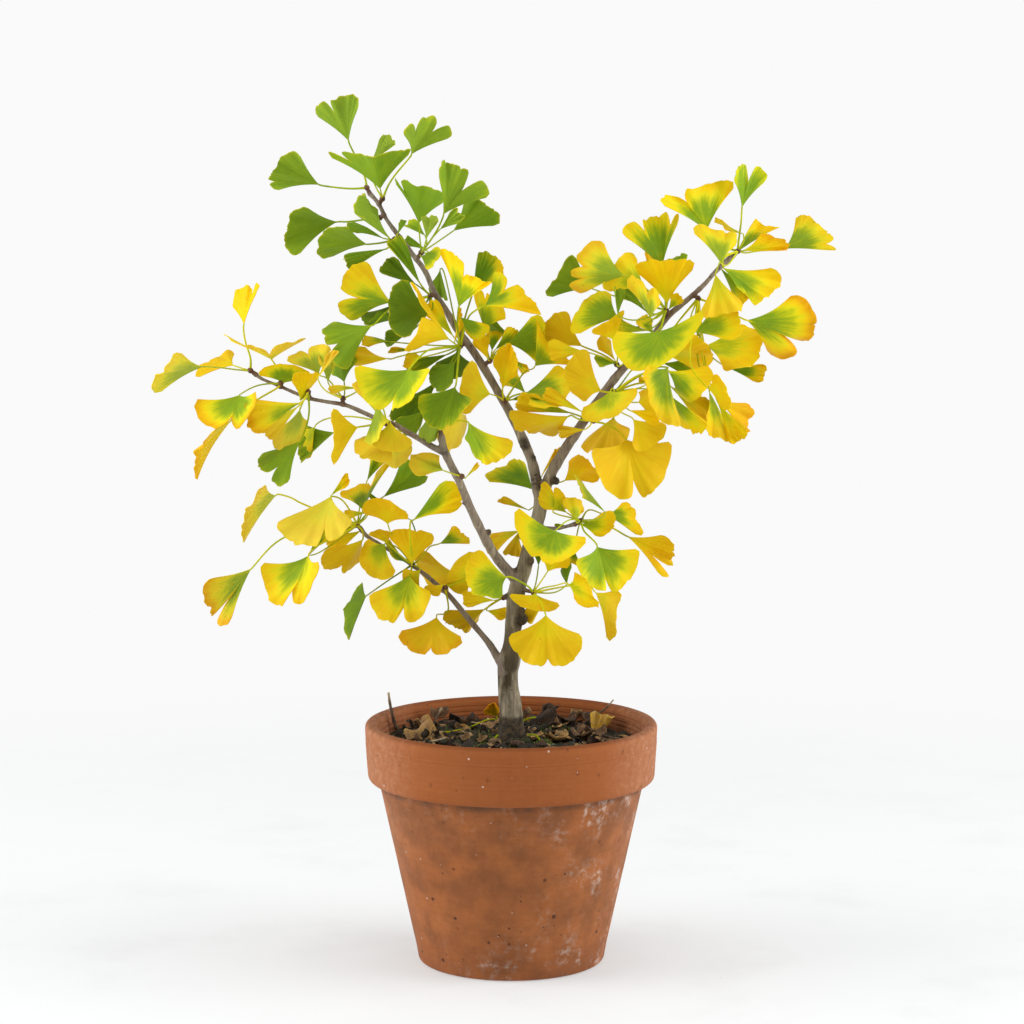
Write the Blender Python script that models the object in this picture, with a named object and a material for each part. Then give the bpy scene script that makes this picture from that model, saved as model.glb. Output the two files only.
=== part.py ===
"""A young ginkgo grown as a bonsai in a clay pot. Metres, +Z up, with the pot's foot on z = 0."""

import math

import bmesh
import bpy
from mathutils import Vector
from mathutils.bvhtree import BVHTree

MM = 0.001

# The clay pot, a plain 20 cm one.
RIM_RADIUS = 100 * MM
RIM_FOOT_RADIUS = 98.5 * MM
POT_HEIGHT = 165.7 * MM
RIM_HEIGHT = 40.5 * MM
BODY_TOP_RADIUS = 91.0 * MM
FOOT_RADIUS = 64.6 * MM
WALL = 7.7 * MM
FLOOR = 9 * MM
DRAIN_RADIUS = 12 * MM
POT_SIDES = 36

# The soil, its uneven top and the plain hole that the stem stands in.
CLEARANCE = 0.3 * MM
SOIL_GAP = 0.6 * MM
LITTER_THICKNESS = 0.8 * MM
LITTER_LIFT = 0.8 * MM
SOIL_LEVEL = 148.5 * MM
SOIL_SIDES = 30
SOIL_RINGS = (18, 32, 50, 70)
STEM_FOOT_DEPTH = 45 * MM
STEM_SIDES = 10

# Leaves: a fan-shaped blade on a thin stalk.
BLADE_THICKNESS = 0.7 * MM
STALK_WIDTH = 1.2 * MM
STALK_THICKNESS = 0.9 * MM
HUB_RADIUS = 2.1 * MM
SPUR_RADIUS = 1.7 * MM
SPUR_TIP_RADIUS = 1.5 * MM
SPUR_ROOT = 1.2 * MM
SMALL_REACH = 28 * MM
STALK_BEND = 5 * MM
LONG_STALK = 48 * MM
FLAT_ANGLE = math.radians(0.5)

# The crown was measured from this point, on the upright plane through the pot's axis.
# A piece's x and z are those readings in mm. Its own depth y then moves it along its sight line,
# with -y towards that point.
SIGHT_DISTANCE = 2000.0
SIGHT_HEIGHT = 545.0

# Each branch: its parent's name, sides, then points of x, z, depth and radius in mm.
BRANCHES = {
    "stem": (
        None,
        STEM_SIDES,
        (
            (0, 103, 0, 9.5), (0, 150, 0, 9.5), (0, 158, 0, 9.3), (0, 167, 0, 8.5), (-0.6, 176, 0, 7.9),
            (-2, 188, 0, 7.2), (-2.4, 200, 0, 7.2), (-1, 209, 0, 7.5), (0.6, 219, 0, 6.3),
            (1.2, 229, 0, 5.9), (2.6, 240, 0, 6.4), (3.2, 251, 0, 6.4), (5, 261, 0, 5.7),
            (8.4, 270, 0, 5.4), (11, 281, 0, 5.0), (14, 292, 0, 4.8), (17.5, 303, 0, 4.8),
            (19.8, 313, 0, 4.9), (20.4, 325, 0, 5.4),
        ),
    ),
    "leader_left": (
        "stem",
        6,
        (
            (20, 318, 0, 4.6), (17, 331, 0.5, 3.9), (14, 344, 1, 3.6), (7.5, 360, 1.5, 3.4),
            (1, 374, 2, 3.2), (-7, 388, 2.5, 3.0), (-15, 402, 3, 2.8), (-25, 418, 3.5, 2.8),
            (-36, 433, 4, 2.6), (-43, 445, 4.5, 2.4), (-52, 459, 5, 2.1), (-58, 473, 6, 1.9),
            (-67, 485, 7.5, 1.8), (-76, 497, 9, 1.7), (-84, 508, 11, 1.5), (-89, 518, 12, 1.5),
            (-95, 525, 14, 1.7),
        ),
    ),
    "leader_right": (
        "stem",
        6,
        (
            (21, 318, 0, 4.4), (26, 334, -1, 3.9), (35, 350, -2, 3.7), (46, 367, -3.5, 3.4),
            (57, 383, -4, 3.1), (69.5, 400, -5, 2.9), (81, 413, -5.5, 2.6), (96, 430, -6.5, 2.3),
            (106, 443, -7, 2.2), (119, 454, -6, 1.9), (130, 464, -4, 1.7), (136, 471, -3, 1.6),
            (143, 478, -1.5, 2.0), (149, 483, 0, 2.2),
        ),
    ),
    "branch_left": (
        "stem",
        6,
        (
            (5, 262, 0, 4.0), (-3, 270, -1, 3.7), (-11, 280, -3, 3.4), (-17, 290, -5, 3.3),
            (-22, 300, -7, 3.1), (-29, 315, -10, 2.9), (-35, 330, -13, 2.8), (-41, 342, -15, 2.7),
            (-45.5, 352, -16, 2.7), (-47.5, 362, -16, 2.4),
        ),
    ),
    "side_branch": (
        "branch_left",
        5,
        (
            (-44.5, 350, -16, 2.4), (-53, 354, -16, 2.2), (-61, 359, -15.5, 2.1), (-70, 364, -14.5, 1.9),
            (-78, 369, -13.5, 1.8), (-88, 372, -12.5, 1.7), (-99, 377, -11, 1.6), (-112, 382.5, -9.5, 1.5),
            (-126, 385, -8, 1.4), (-138, 387.5, -6.5, 1.3), (-149, 392, -5.5, 1.3), (-158, 396, -4.5, 1.2),
            (-168, 400, -3.5, 1.2), (-173, 403.5, -3, 1.4),
        ),
    ),
    "branch_low": (
        "stem",
        6,
        (
            (-3, 200, 0, 3.6), (-9, 209, 1, 2.9), (-15, 219, 2, 2.4), (-24, 230, 3.5, 2.1),
            (-33, 241, 5, 2.0), (-43, 253, 7, 1.9), (-52, 261, 8, 1.7), (-61, 268.5, 9, 1.6),
            (-70, 275, 10.5, 1.5), (-80, 281.5, 12, 1.4), (-90, 288, 13, 1.3), (-98, 293, 14, 1.5), (-102, 297.5, 14, 1.7),
        ),
    ),
    "twig_right": (
        "stem",
        5,
        (
            (15, 300, 0, 2.2), (24, 298.5, -1, 1.6), (33, 298.8, -2.5, 1.3), (40, 300.5, -3.5, 1.4),
            (43.5, 301.5, -4, 1.7),
        ),
    ),
}

# Old scars and cut stubs on the bark: branch, x, z, depth, radius in mm.
SCARS = (
    ("stem", 7.0, 236, -1.3, 4.3),
    ("stem", 6.5, 241, -1.2, 3.2),
    ("stem", 13.0, 276, -1.0, 2.9),
    ("stem", -3.2, 252, -0.4, 2.2),
    ("stem", 3.0, 269.5, -0.4, 2.2),
    ("branch_left", -15.5, 296, -5.5, 2.2),
    ("branch_left", -31.8, 316, -10.0, 1.7),
    ("leader_left", 15.2, 347, 0.5, 1.9),
    ("leader_left", 8.5, 356, 0.5, 3.3),
    ("leader_right", 30, 331, -2.0, 2.9),
)

# Each leaf cluster's hub: the branch it sits on, then x, z and depth in mm.
HUBS = {
    "top": ("leader_left", -96.5, 528, 14),
    "high": ("leader_left", -86.5, 521.5, 10),
    "bud": ("leader_left", -88, 509, 12),
    "upper": ("leader_left", -78.5, 494.5, 7),
    "upper_right": ("leader_left", -60.5, 485.5, 4),
    "left_side": ("leader_left", -54.5, 456.5, 2),
    "left_mid": ("leader_left", -34.5, 422.5, 0),
    "centre_high": ("leader_left", -14.5, 412.5, 1),
    "centre": ("leader_left", -4.5, 385.5, -1),
    "right_low": ("leader_right", 54.5, 372.5, -5),
    "right_mid": ("leader_right", 70, 391.5, -6.5),
    "right_bud": ("leader_right", 73, 408.5, -5),
    "right_high": ("leader_right", 104.5, 446.5, -8),
    "right_upper": ("leader_right", 125, 455.5, -6),
    "right_tip": ("leader_right", 150.5, 484.5, 0),
    "left_inner": ("branch_left", -33.5, 334, -17),
    "stub": ("branch_left", -48, 365, -16),
    "side_inner": ("side_branch", -84, 369.5, -15),
    "side_mid": ("side_branch", -114, 385, -9.5),
    "side_outer": ("side_branch", -137.5, 391.5, -8.5),
    "side_far": ("side_branch", -156, 397.5, -6),
    "side_tip": ("side_branch", -175, 405, -3),
    "low_tip": ("branch_low", -103.5, 299.5, 14),
    "low_mid": ("branch_low", -67.5, 273.5, 7),
    "low_bud": ("branch_low", -45, 258, 5),
    "stem_right": ("stem", 15, 254.5, -3),
    "twig": ("twig_right", 45.9, 303, -4.3),
    "stem_left": ("stem", -5.5, 251, 3),
    "fork": ("stem", 21, 328, 8),
    "stem_high": ("stem", 7, 292.5, 2),
}

# Each leaf by cluster: its neck as x, z and depth, its two corners and the middle of its margin as
# x and z, which way the corners tip (n near, f far, o even), its reach or 0 for the length seen,
# its slits as place along the margin and depth, points of its stalk, and 0 green to 1 yellow.
LEAVES = {
    "top": (
        (
            (-109, 560, 12), (-132, 579), (-102, 585.5), (-116, 587),
            "fn", 0, ((0.33, 0.45),), ((-98, 536), (-104, 549)), 0.05,
        ),
        (
            (-129, 531, 16), (-145, 550), (-161, 526), (-157, 541),
            "nf", 0, ((0.8, 0.3),), ((-108, 528),), 0.05,
        ),
    ),
    "high": (
        ((-88, 528, 6), (-119, 549), (-71, 550), (-93, 547), "fn", 0, ((0.15, 0.3),), (), 0.1),
        (
            (-67, 551, 12), (-70, 565.5), (-40, 564.5), (-56, 574),
            "nf", 0, ((0.25, 0.35), (0.75, 0.3)), ((-81, 534),), 0.15,
        ),
        ((-94, 546, 16), (-88, 561), (-80, 555.5), None, "ff", 24, (), (), 0.1),
    ),
    "bud": (
        (
            (-117, 506, 14), (-141, 517.5), (-147, 487.5), (-149, 502),
            "nf", 0, (), ((-96, 508), (-110, 506)), 0.05,
        ),
    ),
    "upper": (
        ((-97, 491, 3), (-113, 507), (-124, 484), (-127, 494), "nf", 0, (), (), 0.05),
        ((-82, 495, 2), (-104, 509), (-94, 516), (-101, 521), "nf", 0, (), (), 0.05),
        ((-86, 495, 10), (-103, 504.5), (-104.5, 498.5), None, "fn", 24, (), (), 0.0),
        ((-76.5, 498, 6), (-75, 505), (-71, 504), None, "of", 12, (), (), 0.1),
        ((-84, 488, 12), (-110, 486), (-106, 476.5), None, "on", 0, (), (), 0.1),
    ),
    "upper_right": (
        (
            (-62, 505, 8), (-77, 531), (-46, 520), (-62, 526),
            "nf", 0, ((0.15, 0.3),), ((-61.5, 495),), 0.05,
        ),
        (
            (-45.5, 511, 0), (-49, 538), (-15, 526.5), (-38, 542),
            "nf", 0, ((0.75, 0.4),), ((-57, 490), (-50, 500)), 0.1,
        ),
        ((-39, 500, 9), (-31, 518), (-12, 504.5), (-20, 514), "nf", 0, (), (), 0.0),
        ((-48, 501, 2), (-40, 513), (-35, 506), None, "nn", 20, (), (), 0.1),
        ((-58, 497, 14), (-71, 501.5), (-62, 505), None, "ff", 20, (), (), 0.2),
        ((-57, 495, 6), (-60, 506), (-50, 505), None, "ff", 18, (), (), 0.1),
        ((-61, 483, 9), (-50, 488), (-57, 475), None, "ff", 18, (), (), 0.3),
        ((-57, 487, 13), (-70, 491), (-66, 495), None, "of", 14, (), (), 0.0),
    ),
    "left_side": (
        ((-81, 452, -2), (-98, 481), (-107, 442), (-113, 461), "nf", 0, ((0.6, 0.4),), (), 0.5),
        ((-80, 450, 4), (-100, 446), (-91, 441), None, "of", 24, (), (), 0.1),
        ((-70, 441, 2), (-80, 446), (-94, 437), None, "fo", 0, (), (), 0.0),
        ((-55, 445, 0), (-71, 464), (-70, 429), (-78, 446), "fn", 0, (), (), 0.05),
        ((-64, 464, 14), (-77, 479), (-84, 469), None, "fo", 0, (), (), 0.1),
        ((-61, 464, 10), (-82, 488), (-71, 494), None, "of", 0, (), (), 0.2),
        (
            (-94, 436.5, -6), (-122, 439.5), (-113, 408), (-123, 424),
            "fn", 0, ((0.55, 0.2),), ((-70, 452), (-82, 448)), 0.15,
        ),
        ((-68, 432, 6), (-80, 434), (-81, 424), None, "of", 20, (), (), 0.0),
        ((-66, 420, 4), (-77, 422), (-80, 418), None, "oo", 0, (), (), 0.6),
    ),
    "left_mid": (
        ((-69, 407, -24), (-106, 408), (-58, 409), (-82, 380), "on", 0, ((0.45, 0.3),), (), 0.45),
        ((-38, 395, -26), (-64, 389), (-30.5, 388), (-48, 369), "on", 0, (), ((-36, 412),), 0.2),
        ((-42, 427, -12), (-64, 461), (-66, 421), (-56, 443), "of", 0, ((0.5, 0.35),), (), 0.95),
        ((-83, 414, 4), (-99.5, 421.5), (-105, 410), None, "nf", 0, (), ((-55, 420), (-76, 415.5)), 0.9),
        ((-82, 425.5, 2), (-94, 431), (-97, 424.5), None, "fo", 0, (), (), 0.6),
        ((-60, 415, -8), (-70, 409), (-66, 419), None, "of", 14, (), (), 0.8),
        ((-38, 412, -2), (-50, 410), (-40, 397), None, "fn", 20, (), (), 0.1),
        ((-36, 419, 10), (-50, 412), (-26, 410), (-40, 405), "ff", 20, (), (), 0.0),
        ((-35.5, 449, -6), (-44, 490), (-13, 465), (-26, 470), "on", 0, ((0.4, 0.25),), (), 0.5),
        ((-26, 458, 2), (-22, 480), (-4, 468), (-13, 482), "fn", 0, (), (), 0.3),
        (
            (-18, 449.5, -4), (-10, 473), (18, 444), (8, 457),
            "fo", 0, ((0.25, 0.3),), ((-30, 441), (-25, 446)), 0.6,
        ),
        ((-38.5, 425, -2), (-36.5, 445), (-34.5, 436), None, "on", 0, (), (), 0.95),
        ((-48, 474, 10), (-54, 464), (-42, 458), None, "ff", 0, (), (), 0.1),
        ((-34, 442, 0), (-18.5, 437), (-31, 430), None, "nf", 0, (), (), 0.4),
    ),
    "centre_high": (
        ((-18, 433, 2), (-27, 452.5), (-7.5, 441.5), (-17, 454), "fn", 0, ((0.45, 0.2),), (), 0.55),
        ((1, 429, 6), (-12, 437), (-8, 427), None, "nf", 16, (), (), 0.1),
        ((-3, 424.5, -2), (14, 442.5), (16, 415), (18, 430), "nf", 0, (), (), 0.3),
        ((-2, 416, 8), (9, 407.5), (4, 406), None, "on", 14, (), (), 0.4),
        ((-16, 414, 9), (-25, 423), (-15, 426), None, "of", 14, (), (), 0.9),
        ((-13, 419.5, 5), (-17, 428), (-7, 429), None, "ff", 12, (), (), 0.4),
    ),
    "centre": (
        ((-6, 393, 9), (-12, 412), (4, 404), (-1, 421), "ff", 0, (), (), 0.9),
        ((-14, 390, 8), (-24, 411), (-28, 379), (-31, 392), "nf", 0, (), (), 0.85),
        ((9.5, 391, 0), (5, 403), (-4, 397.5), None, "fn", 16, (), (), 0.4),
        ((10, 391, -4), (33, 408), (15, 379), (36, 388), "fn", 0, (), (), 0.4),
        ((-1, 386, 0), (6, 389), (7, 385), None, "no", 0, (), (), 0.2),
        ((16, 409, -3), (17, 437), (39, 411), (24, 421), "nf", 0, (), ((6.5, 402), (10, 406)), 0.55),
    ),
    "right_low": (
        ((39, 375, -12), (0, 382), (32, 368.5), (13, 365), "of", 0, (), ((46, 372.5),), 0.9),
        ((69.5, 374.5, 6), (47, 359), (80, 365), (60, 353), "of", 0, (), (), 0.85),
        ((78, 359.5, -2), (55, 350), (110, 355), (84, 321), "no", 0, ((0.52, 0.3),), (), 0.95),
        ((50, 366, 6), (36, 368.5), (37, 361), None, "fo", 0, (), (), 0.9),
    ),
    "right_mid": (
        ((67, 392, -14), (50, 380), (84.5, 392), (64, 376), "on", 0, (), (), 0.6),
        ((61, 392, -9), (50, 420), (48, 385.5), (38.5, 403), "of", 0, (), (), 0.9),
        (
            (82.5, 373, -2), (84, 357.5), (103, 371.5), (95, 359),
            "nf", 0, (), ((71, 379.5), (80, 375.5)), 0.9,
        ),
        ((86, 384.5, -1), (88, 392.5), (97, 372), (97, 385), "fn", 0, (), ((77, 385),), 0.9),
        ((92, 398, 2), (88, 402), (88, 397), None, "fo", 0, (), (), 0.85),
        ((106, 408, -14), (91.5, 408), (113, 369), (95, 385), "no", 0, (), (), 0.45),
        ((106, 406, -12), (134, 406), (113, 386), (128, 391), "of", 0, (), (), 0.5),
        ((109, 388, -8), (129, 373), (113, 374), (122, 369), "of", 0, (), (), 0.5),
    ),
    "right_bud": (
        ((48, 422.5, -2), (37, 447.5), (19, 423), (22, 434), "nf", 0, (), ((64, 416),), 0.95),
        ((70.5, 426, -12), (56, 431.5), (75.5, 444), (66, 437), "on", 0, (), (), 0.85),
        ((70, 413, -6), (59.5, 421), (68, 419), (64, 427), "fn", 0, (), (), 0.8),
        ((72, 411, -4), (60, 416), (62, 409), None, "on", 0, (), (), 0.2),
        ((75, 410, 0), (77, 416), (84, 417), None, "ff", 0, (), (), 0.6),
    ),
    "right_high": (
        (
            (101.5, 475, -2), (74, 499.5), (111.5, 508.5), (95, 507),
            "nf", 0, ((0.3, 0.25), (0.8, 0.2)), (), 0.35,
        ),
        ((101, 433, -20), (73, 432), (128, 446), (96, 411.5), "no", 0, (), (), 0.35),
        ((94, 441, -12), (80, 463.5), (100, 451), (91, 461), "on", 0, ((0.6, 0.35),), (), 0.55),
        ((96, 431, -10), (86, 436), (95, 440), None, "of", 16, (), (), 0.55),
        ((92, 445, -4), (72.5, 458), (78, 465), None, "on", 0, (), (), 0.1),
        ((90, 461.5, -6), (84, 481), (66, 460), (74, 476), "fn", 0, (), (), 0.6),
        ((76, 470, -14), (59, 492.5), (46, 457), (44, 475), "of", 0, ((0.45, 0.15), (0.7, 0.2)), (), 0.5),
        ((55, 461, -4), (43, 482), (28, 458.5), (35, 468), "nf", 0, (), (), 0.1),
        ((72, 442, -7), (66, 459), (46.5, 433), (51, 448), "fo", 0, (), ((86, 434), (76, 438.5)), 0.35),
        ((72, 443, -4), (68, 458), (75, 455), None, "ff", 18, (), (), 0.0),
        ((95, 470, 4), (90, 481), (99, 479), (94, 484), "ff", 20, (), (), 0.8),
        ((105, 451, -4), (86, 472), (121, 474), (103, 475), "on", 0, (), (), 0.85),
        ((108, 465, 2), (106.5, 475), (119, 478), (113, 480), "fn", 18, (), (), 0.1),
        ((106, 447, 2), (108, 456.5), (115, 452), None, "ff", 16, (), (), 0.6),
    ),
    "right_upper": (
        ((123, 432, -12), (140, 449), (145, 425), (149, 437), "fn", 0, (), (), 0.5),
        (
            (159, 440, -6), (195, 450.5), (178, 411), (200, 428),
            "of", 0, ((0.68, 0.38),), ((136, 451),), 0.5,
        ),
        ((131.5, 423, -5), (155, 436.5), (147, 404.5), (166, 420), "fn", 0, (), (), 0.65),
        ((106, 416, 0), (121, 428), (127, 406.5), (134, 417), "nf", 0, (), (), 0.8),
        ((133, 394, -6), (137, 402), (143, 381), (145, 390), "no", 0, (), (), 0.85),
        ((134, 392, -10), (131.5, 374), (148, 364.5), (138, 367), "no", 0, (), (), 0.6),
        ((140, 386, -2), (160, 382), (156, 363.5), (160, 371), "fo", 0, (), (), 0.85),
    ),
    "right_tip": (
        (
            (131.5, 500, -2), (102, 517), (145, 528), (125, 523.5),
            "nf", 0, ((0.3, 0.25),), ((142, 489), (135, 494)), 0.45,
        ),
        (
            (155, 515.5, 4), (148.5, 536.5), (168.5, 536), (157, 542.5),
            "nf", 0, ((0.65, 0.35),), ((153, 495), (154.5, 505)), 0.25,
        ),
        ((141, 478.5, -6), (124.5, 499), (151, 491.5), (140, 497), "on", 0, (), (), 0.5),
        ((156, 498, 2), (141, 506.5), (146, 501), None, "of", 0, (), (), 0.7),
        ((152, 486, -2), (161.5, 505.5), (177, 500.5), (166, 501), "nf", 0, (), (), 0.5),
        ((155, 486.5, 6), (170, 497.5), (180, 486.5), (183, 491), "fo", 0, (), (), 0.75),
        (
            (184, 488, 6), (193, 507), (214, 487.5), (205, 499),
            "fo", 0, ((0.85, 0.2),), ((158, 485), (168, 487)), 0.4,
        ),
        ((143, 475, -12), (179, 471), (154, 456), (172, 457), "on", 0, ((0.85, 0.2),), (), 0.45),
        ((137.5, 471, -6), (153.5, 452.5), (128, 447), (142, 449), "fn", 0, (), (), 0.75),
    ),
    "left_inner": (
        ((-46, 338, -14), (-50, 349), (-60, 335.5), (-64, 345), "fo", 0, (), (), 0.65),
        ((-31, 333, -16), (-25, 341.5), (-23.5, 339), None, "oo", 0, (), (), 0.7),
    ),
    "stub": (
        ((-33, 380, -8), (-46, 364), (-28, 373), (-38, 356), "nf", 0, (), (), 0.9),
        ((-29, 371, -14), (-33, 356), (-2, 354), (-18, 344.5), "no", 0, (), (), 0.35),
        ((-60, 378, -10), (-75, 374), (-64, 365), None, "of", 18, (), (), 0.0),
        ((-55, 378, -8), (-62, 366), (-50, 366), (-56, 361), "ff", 0, (), (), 0.1),
    ),
    "side_inner": (
        ((-120, 364, -4), (-142, 368), (-139, 342), (-142, 355), "fo", 0, (), (), 0.15),
        ((-133, 368, 0), (-142, 366), (-137, 350), None, "fo", 0, (), ((-104, 375), (-124, 374)), 0.6),
        ((-104, 367.5, -12), (-119, 379), (-119, 345.5), (-117.5, 362), "no", 0, (), (), 0.95),
        ((-90, 385, -19), (-97, 370), (-88, 373), (-96, 362), "on", 0, (), (), 0.3),
        ((-78, 362, -15), (-101, 363), (-84, 347), (-102, 350), "fn", 0, (), (), 0.9),
        ((-82, 371, -20), (-94, 361), (-69, 359), (-82, 354.5), "on", 0, (), (), 0.9),
        ((-80, 362, -8), (-84, 347), (-68, 356), (-75, 345), "of", 0, (), (), 0.7),
    ),
    "side_mid": (
        (
            (-130, 404, -4), (-150, 410), (-124, 419), (-138, 417),
            "fn", 0, ((0.5, 0.2),), ((-124, 401),), 0.45,
        ),
        ((-131, 401, -8), (-123, 415.5), (-118.5, 414.5), None, "on", 0, (), (), 0.85),
        ((-113, 398, 2), (-122, 404), (-107, 412), None, "fo", 0, (), (), 0.2),
        ((-103, 394, -10), (-118, 397), (-119, 393), None, "no", 0, (), (), 0.6),
    ),
    "side_outer": (
        ((-143, 384, -14), (-174, 386), (-170, 363), (-177, 375), "on", 0, (), (), 0.8),
        ((-143, 386, -10), (-146, 397), (-130, 397), (-137, 401), "nf", 0, (), (), 0.85),
        ((-143, 358, 0), (-170, 350), (-153, 329), (-166, 338), "fn", 0, ((0.6, 0.3),), (), 0.1),
        ((-143, 380, -4), (-161, 362), (-138, 369), (-151, 352), "of", 0, (), (), 0.55),
    ),
    "side_far": (
        ((-154, 397.5, 0), (-169, 403), (-137, 400), (-152, 408), "nf", 18, (), (), 0.4),
        ((-162, 413.5, -9), (-190, 425), (-142, 425), (-166, 416), "no", 0, (), (), 0.8),
        ((-184, 389.5, -10), (-213, 387), (-175, 391), (-192, 370), "on", 0, ((0.55, 0.25),), (), 0.55),
        (
            (-190, 372, -4), (-205, 362), (-212.5, 333), (-213, 348),
            "no", 0, (), ((-158, 394), (-173, 386)), 0.9,
        ),
    ),
    "side_tip": (
        (
            (-180.5, 437, -3), (-189, 452), (-170, 460), (-177, 462),
            "fo", 0, ((0.6, 0.25),), ((-176, 415), (-179.5, 424)), 0.95,
        ),
        ((-188, 409.5, 2), (-188.5, 419), (-211, 405), (-199, 414), "fo", 0, (), (), 0.9),
        (
            (-209, 408.5, -6), (-223, 416), (-237.5, 394), (-232, 406),
            "no", 0, (), ((-186, 406.5), (-196, 408)), 0.6,
        ),
    ),
    "low_tip": (
        (
            (-160, 321, 14), (-171.5, 330), (-184, 292), (-180, 308),
            "no", 0, (), ((-142, 315), (-148, 319)), 0.8,
        ),
        ((-122.5, 320.5, 4), (-159, 302), (-110.5, 304), (-134, 290), "on", 0, ((0.6, 0.35),), (), 0.85),
        ((-122.5, 321, 6), (-114, 334), (-112.5, 327), None, "oo", 0, (), (), 0.6),
        (
            (-138, 280, 0), (-169.5, 270), (-131.5, 272), (-152, 246),
            "on", 0, ((0.55, 0.25),), ((-118, 293), (-130, 288)), 0.4,
        ),
        ((-138, 280, 10), (-131, 298), (-126, 291), None, "fo", 0, (), (), 0.4),
        (
            (-177, 271, 14), (-207.5, 263), (-194, 234), (-204, 245),
            "nf", 0, ((0.7, 0.45),), ((-140, 297), (-160, 290)), 0.6,
        ),
        ((-101, 291, 14), (-129, 283), (-101, 280), (-119, 270), "of", 0, ((0.55, 0.2),), (), 0.9),
        ((-98, 309, 10), (-109, 311.5), (-110, 306), None, "no", 0, (), (), 0.6),
        ((-101, 311, 10), (-114, 320.5), (-83, 343), (-97, 329), "no", 0, ((0.5, 0.2),), (), 0.5),
        ((-87, 320, 14), (-74, 341), (-62, 327.5), (-66, 334), "of", 0, (), ((-92, 316),), 0.1),
        ((-103, 299, 12), (-112, 302), (-111.5, 298.5), None, "on", 0, (), (), 0.3),
    ),
    "low_mid": (
        (
            (-84, 301.5, 6), (-98.5, 309), (-71, 306), (-88, 316),
            "fn", 0, (), ((-80, 291), (-82, 295)), 0.9,
        ),
        ((-68, 304, 10), (-92, 316.5), (-85, 313), None, "of", 0, (), (), 0.0),
        ((-67, 304, 4), (-48, 329.5), (-38, 311), (-37, 323), "fo", 0, (), ((-68.5, 285),), 0.5),
        ((-68, 274, 14), (-82, 291), (-55, 288), (-66, 293), "fo", 0, (), (), 0.9),
        ((-71, 275, 16), (-83, 289), (-79, 277), None, "of", 0, (), (), 0.3),
        ((-84, 288, 6), (-95, 292), (-82, 294), None, "of", 0, (), (), 0.8),
        ((-86, 288, 4), (-97, 290), (-79.5, 269), (-97, 272.5), "fn", 0, (), (), 0.6),
        ((-69, 266.5, 4), (-100, 254), (-58.5, 255), (-78, 236), "on", 0, ((0.55, 0.3),), (), 0.5),
        ((-99, 252, 10), (-101.5, 260), (-109, 225.5), (-110, 243), "fo", 0, (), (), 0.3),
        (
            (-49, 288, 10), (-40, 297), (-31, 287.5), (-36, 293),
            "fo", 0, (), ((-61, 278), (-56, 286)), 0.5,
        ),
    ),
    "low_bud": (
        ((-39, 268, 14), (-56, 282), (-44, 256), (-61, 272), "of", 0, (), (), 0.9),
        ((-46, 260, 12), (-57, 259), (-49, 253), None, "fo", 0, (), (), 0.9),
        ((-24, 268, 14), (-27, 280), (-31, 254.5), (-40, 265), "of", 0, (), (), 0.7),
        (
            (-51, 237.5, 2), (-74, 227), (-36.5, 224), (-55, 216),
            "on", 0, ((0.5, 0.2),), ((-42, 240), (-47, 239.5)), 0.9,
        ),
    ),
    "stem_right": (
        (
            (-3, 265, -12), (-22, 284.5), (-8, 251), (-28, 262),
            "on", 0, (), ((12, 258.5), (5, 262.5)), 0.4,
        ),
        ((24.5, 268.5, -4), (20.5, 279), (38, 272), (32, 281), "no", 0, (), (), 0.85),
        ((18.5, 272.5, 0), (15.5, 281), (21.5, 280), None, "fo", 0, (), (), 0.2),
        ((38, 260, 2), (33, 267), (40, 272), None, "fo", 0, (), (), 0.1),
        ((39, 260, -2), (45, 268), (45, 251), (56, 249), "no", 0, (), ((22, 258), (30, 259)), 0.7),
        ((57.5, 254.5, -6), (70.5, 255), (66, 224.5), (70, 243), "no", 0, (), ((50, 261),), 0.8),
        ((17, 253, -14), (1, 253), (31, 247), (16, 244), "on", 0, (), (), 0.85),
        ((20, 245, -8), (12, 241), (19, 238), (14, 235), "of", 0, (), (), 0.85),
        ((23.5, 239, -12), (-1, 222), (49, 222), (25, 205), "on", 0, ((0.5, 0.15),), (), 0.9),
    ),
    "twig": (
        ((29.5, 311.5, -2), (29, 325), (37, 312), (36, 318), "of", 0, (), ((40, 306), (33, 307.5)), 0.65),
        ((44, 303, -4), (37, 315), (50, 311), None, "of", 0, (), (), 0.6),
        ((47, 301, -8), (63, 308), (58, 292.5), (66, 301), "no", 0, (), (), 0.6),
        ((65, 308, 0), (75.5, 315), (84.5, 294.5), (82, 305), "fo", 0, (), ((52, 312), (60, 309)), 0.5),
        (
            (79, 293, 2), (106, 292), (103.5, 266), (108, 279),
            "of", 0, ((0.78, 0.45),), ((66, 300), (72, 297)), 0.9,
        ),
        (
            (58.5, 286, -10), (46, 276), (87.5, 282), (67, 257),
            "no", 0, ((0.5, 0.4),), ((49, 297), (53, 293)), 0.35,
        ),
        ((43, 284, 4), (38, 280), (46.5, 275.5), None, "fo", 0, (), (), 0.5),
        ((30, 297, -20), (6, 310), (49, 292), (22, 280), "on", 0, ((0.45, 0.12),), (), 0.4),
        ((41, 300, -7), (32, 301.5), (33, 297.5), None, "oo", 0, (), (), 0.2),
        ((64, 309.5, 2), (45, 334), (47, 330), (52, 319), "of", 0, (), (), 0.3),
    ),
    "stem_left": (
        ((-18, 243, 12), (-46, 240), (-24, 232.5), (-36, 230.5), "of", 0, (), (), 0.9),
        ((-17, 242, 8), (-4, 244), (-9, 236), None, "fo", 0, (), (), 0.85),
    ),
    "fork": (
        ((36, 331, 10), (40, 345.5), (55.5, 330.5), (51, 341), "fo", 0, (), (), 0.85),
        ((20, 333, 10), (24, 344), (33, 353), None, "of", 0, (), (), 0.8),
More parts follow.
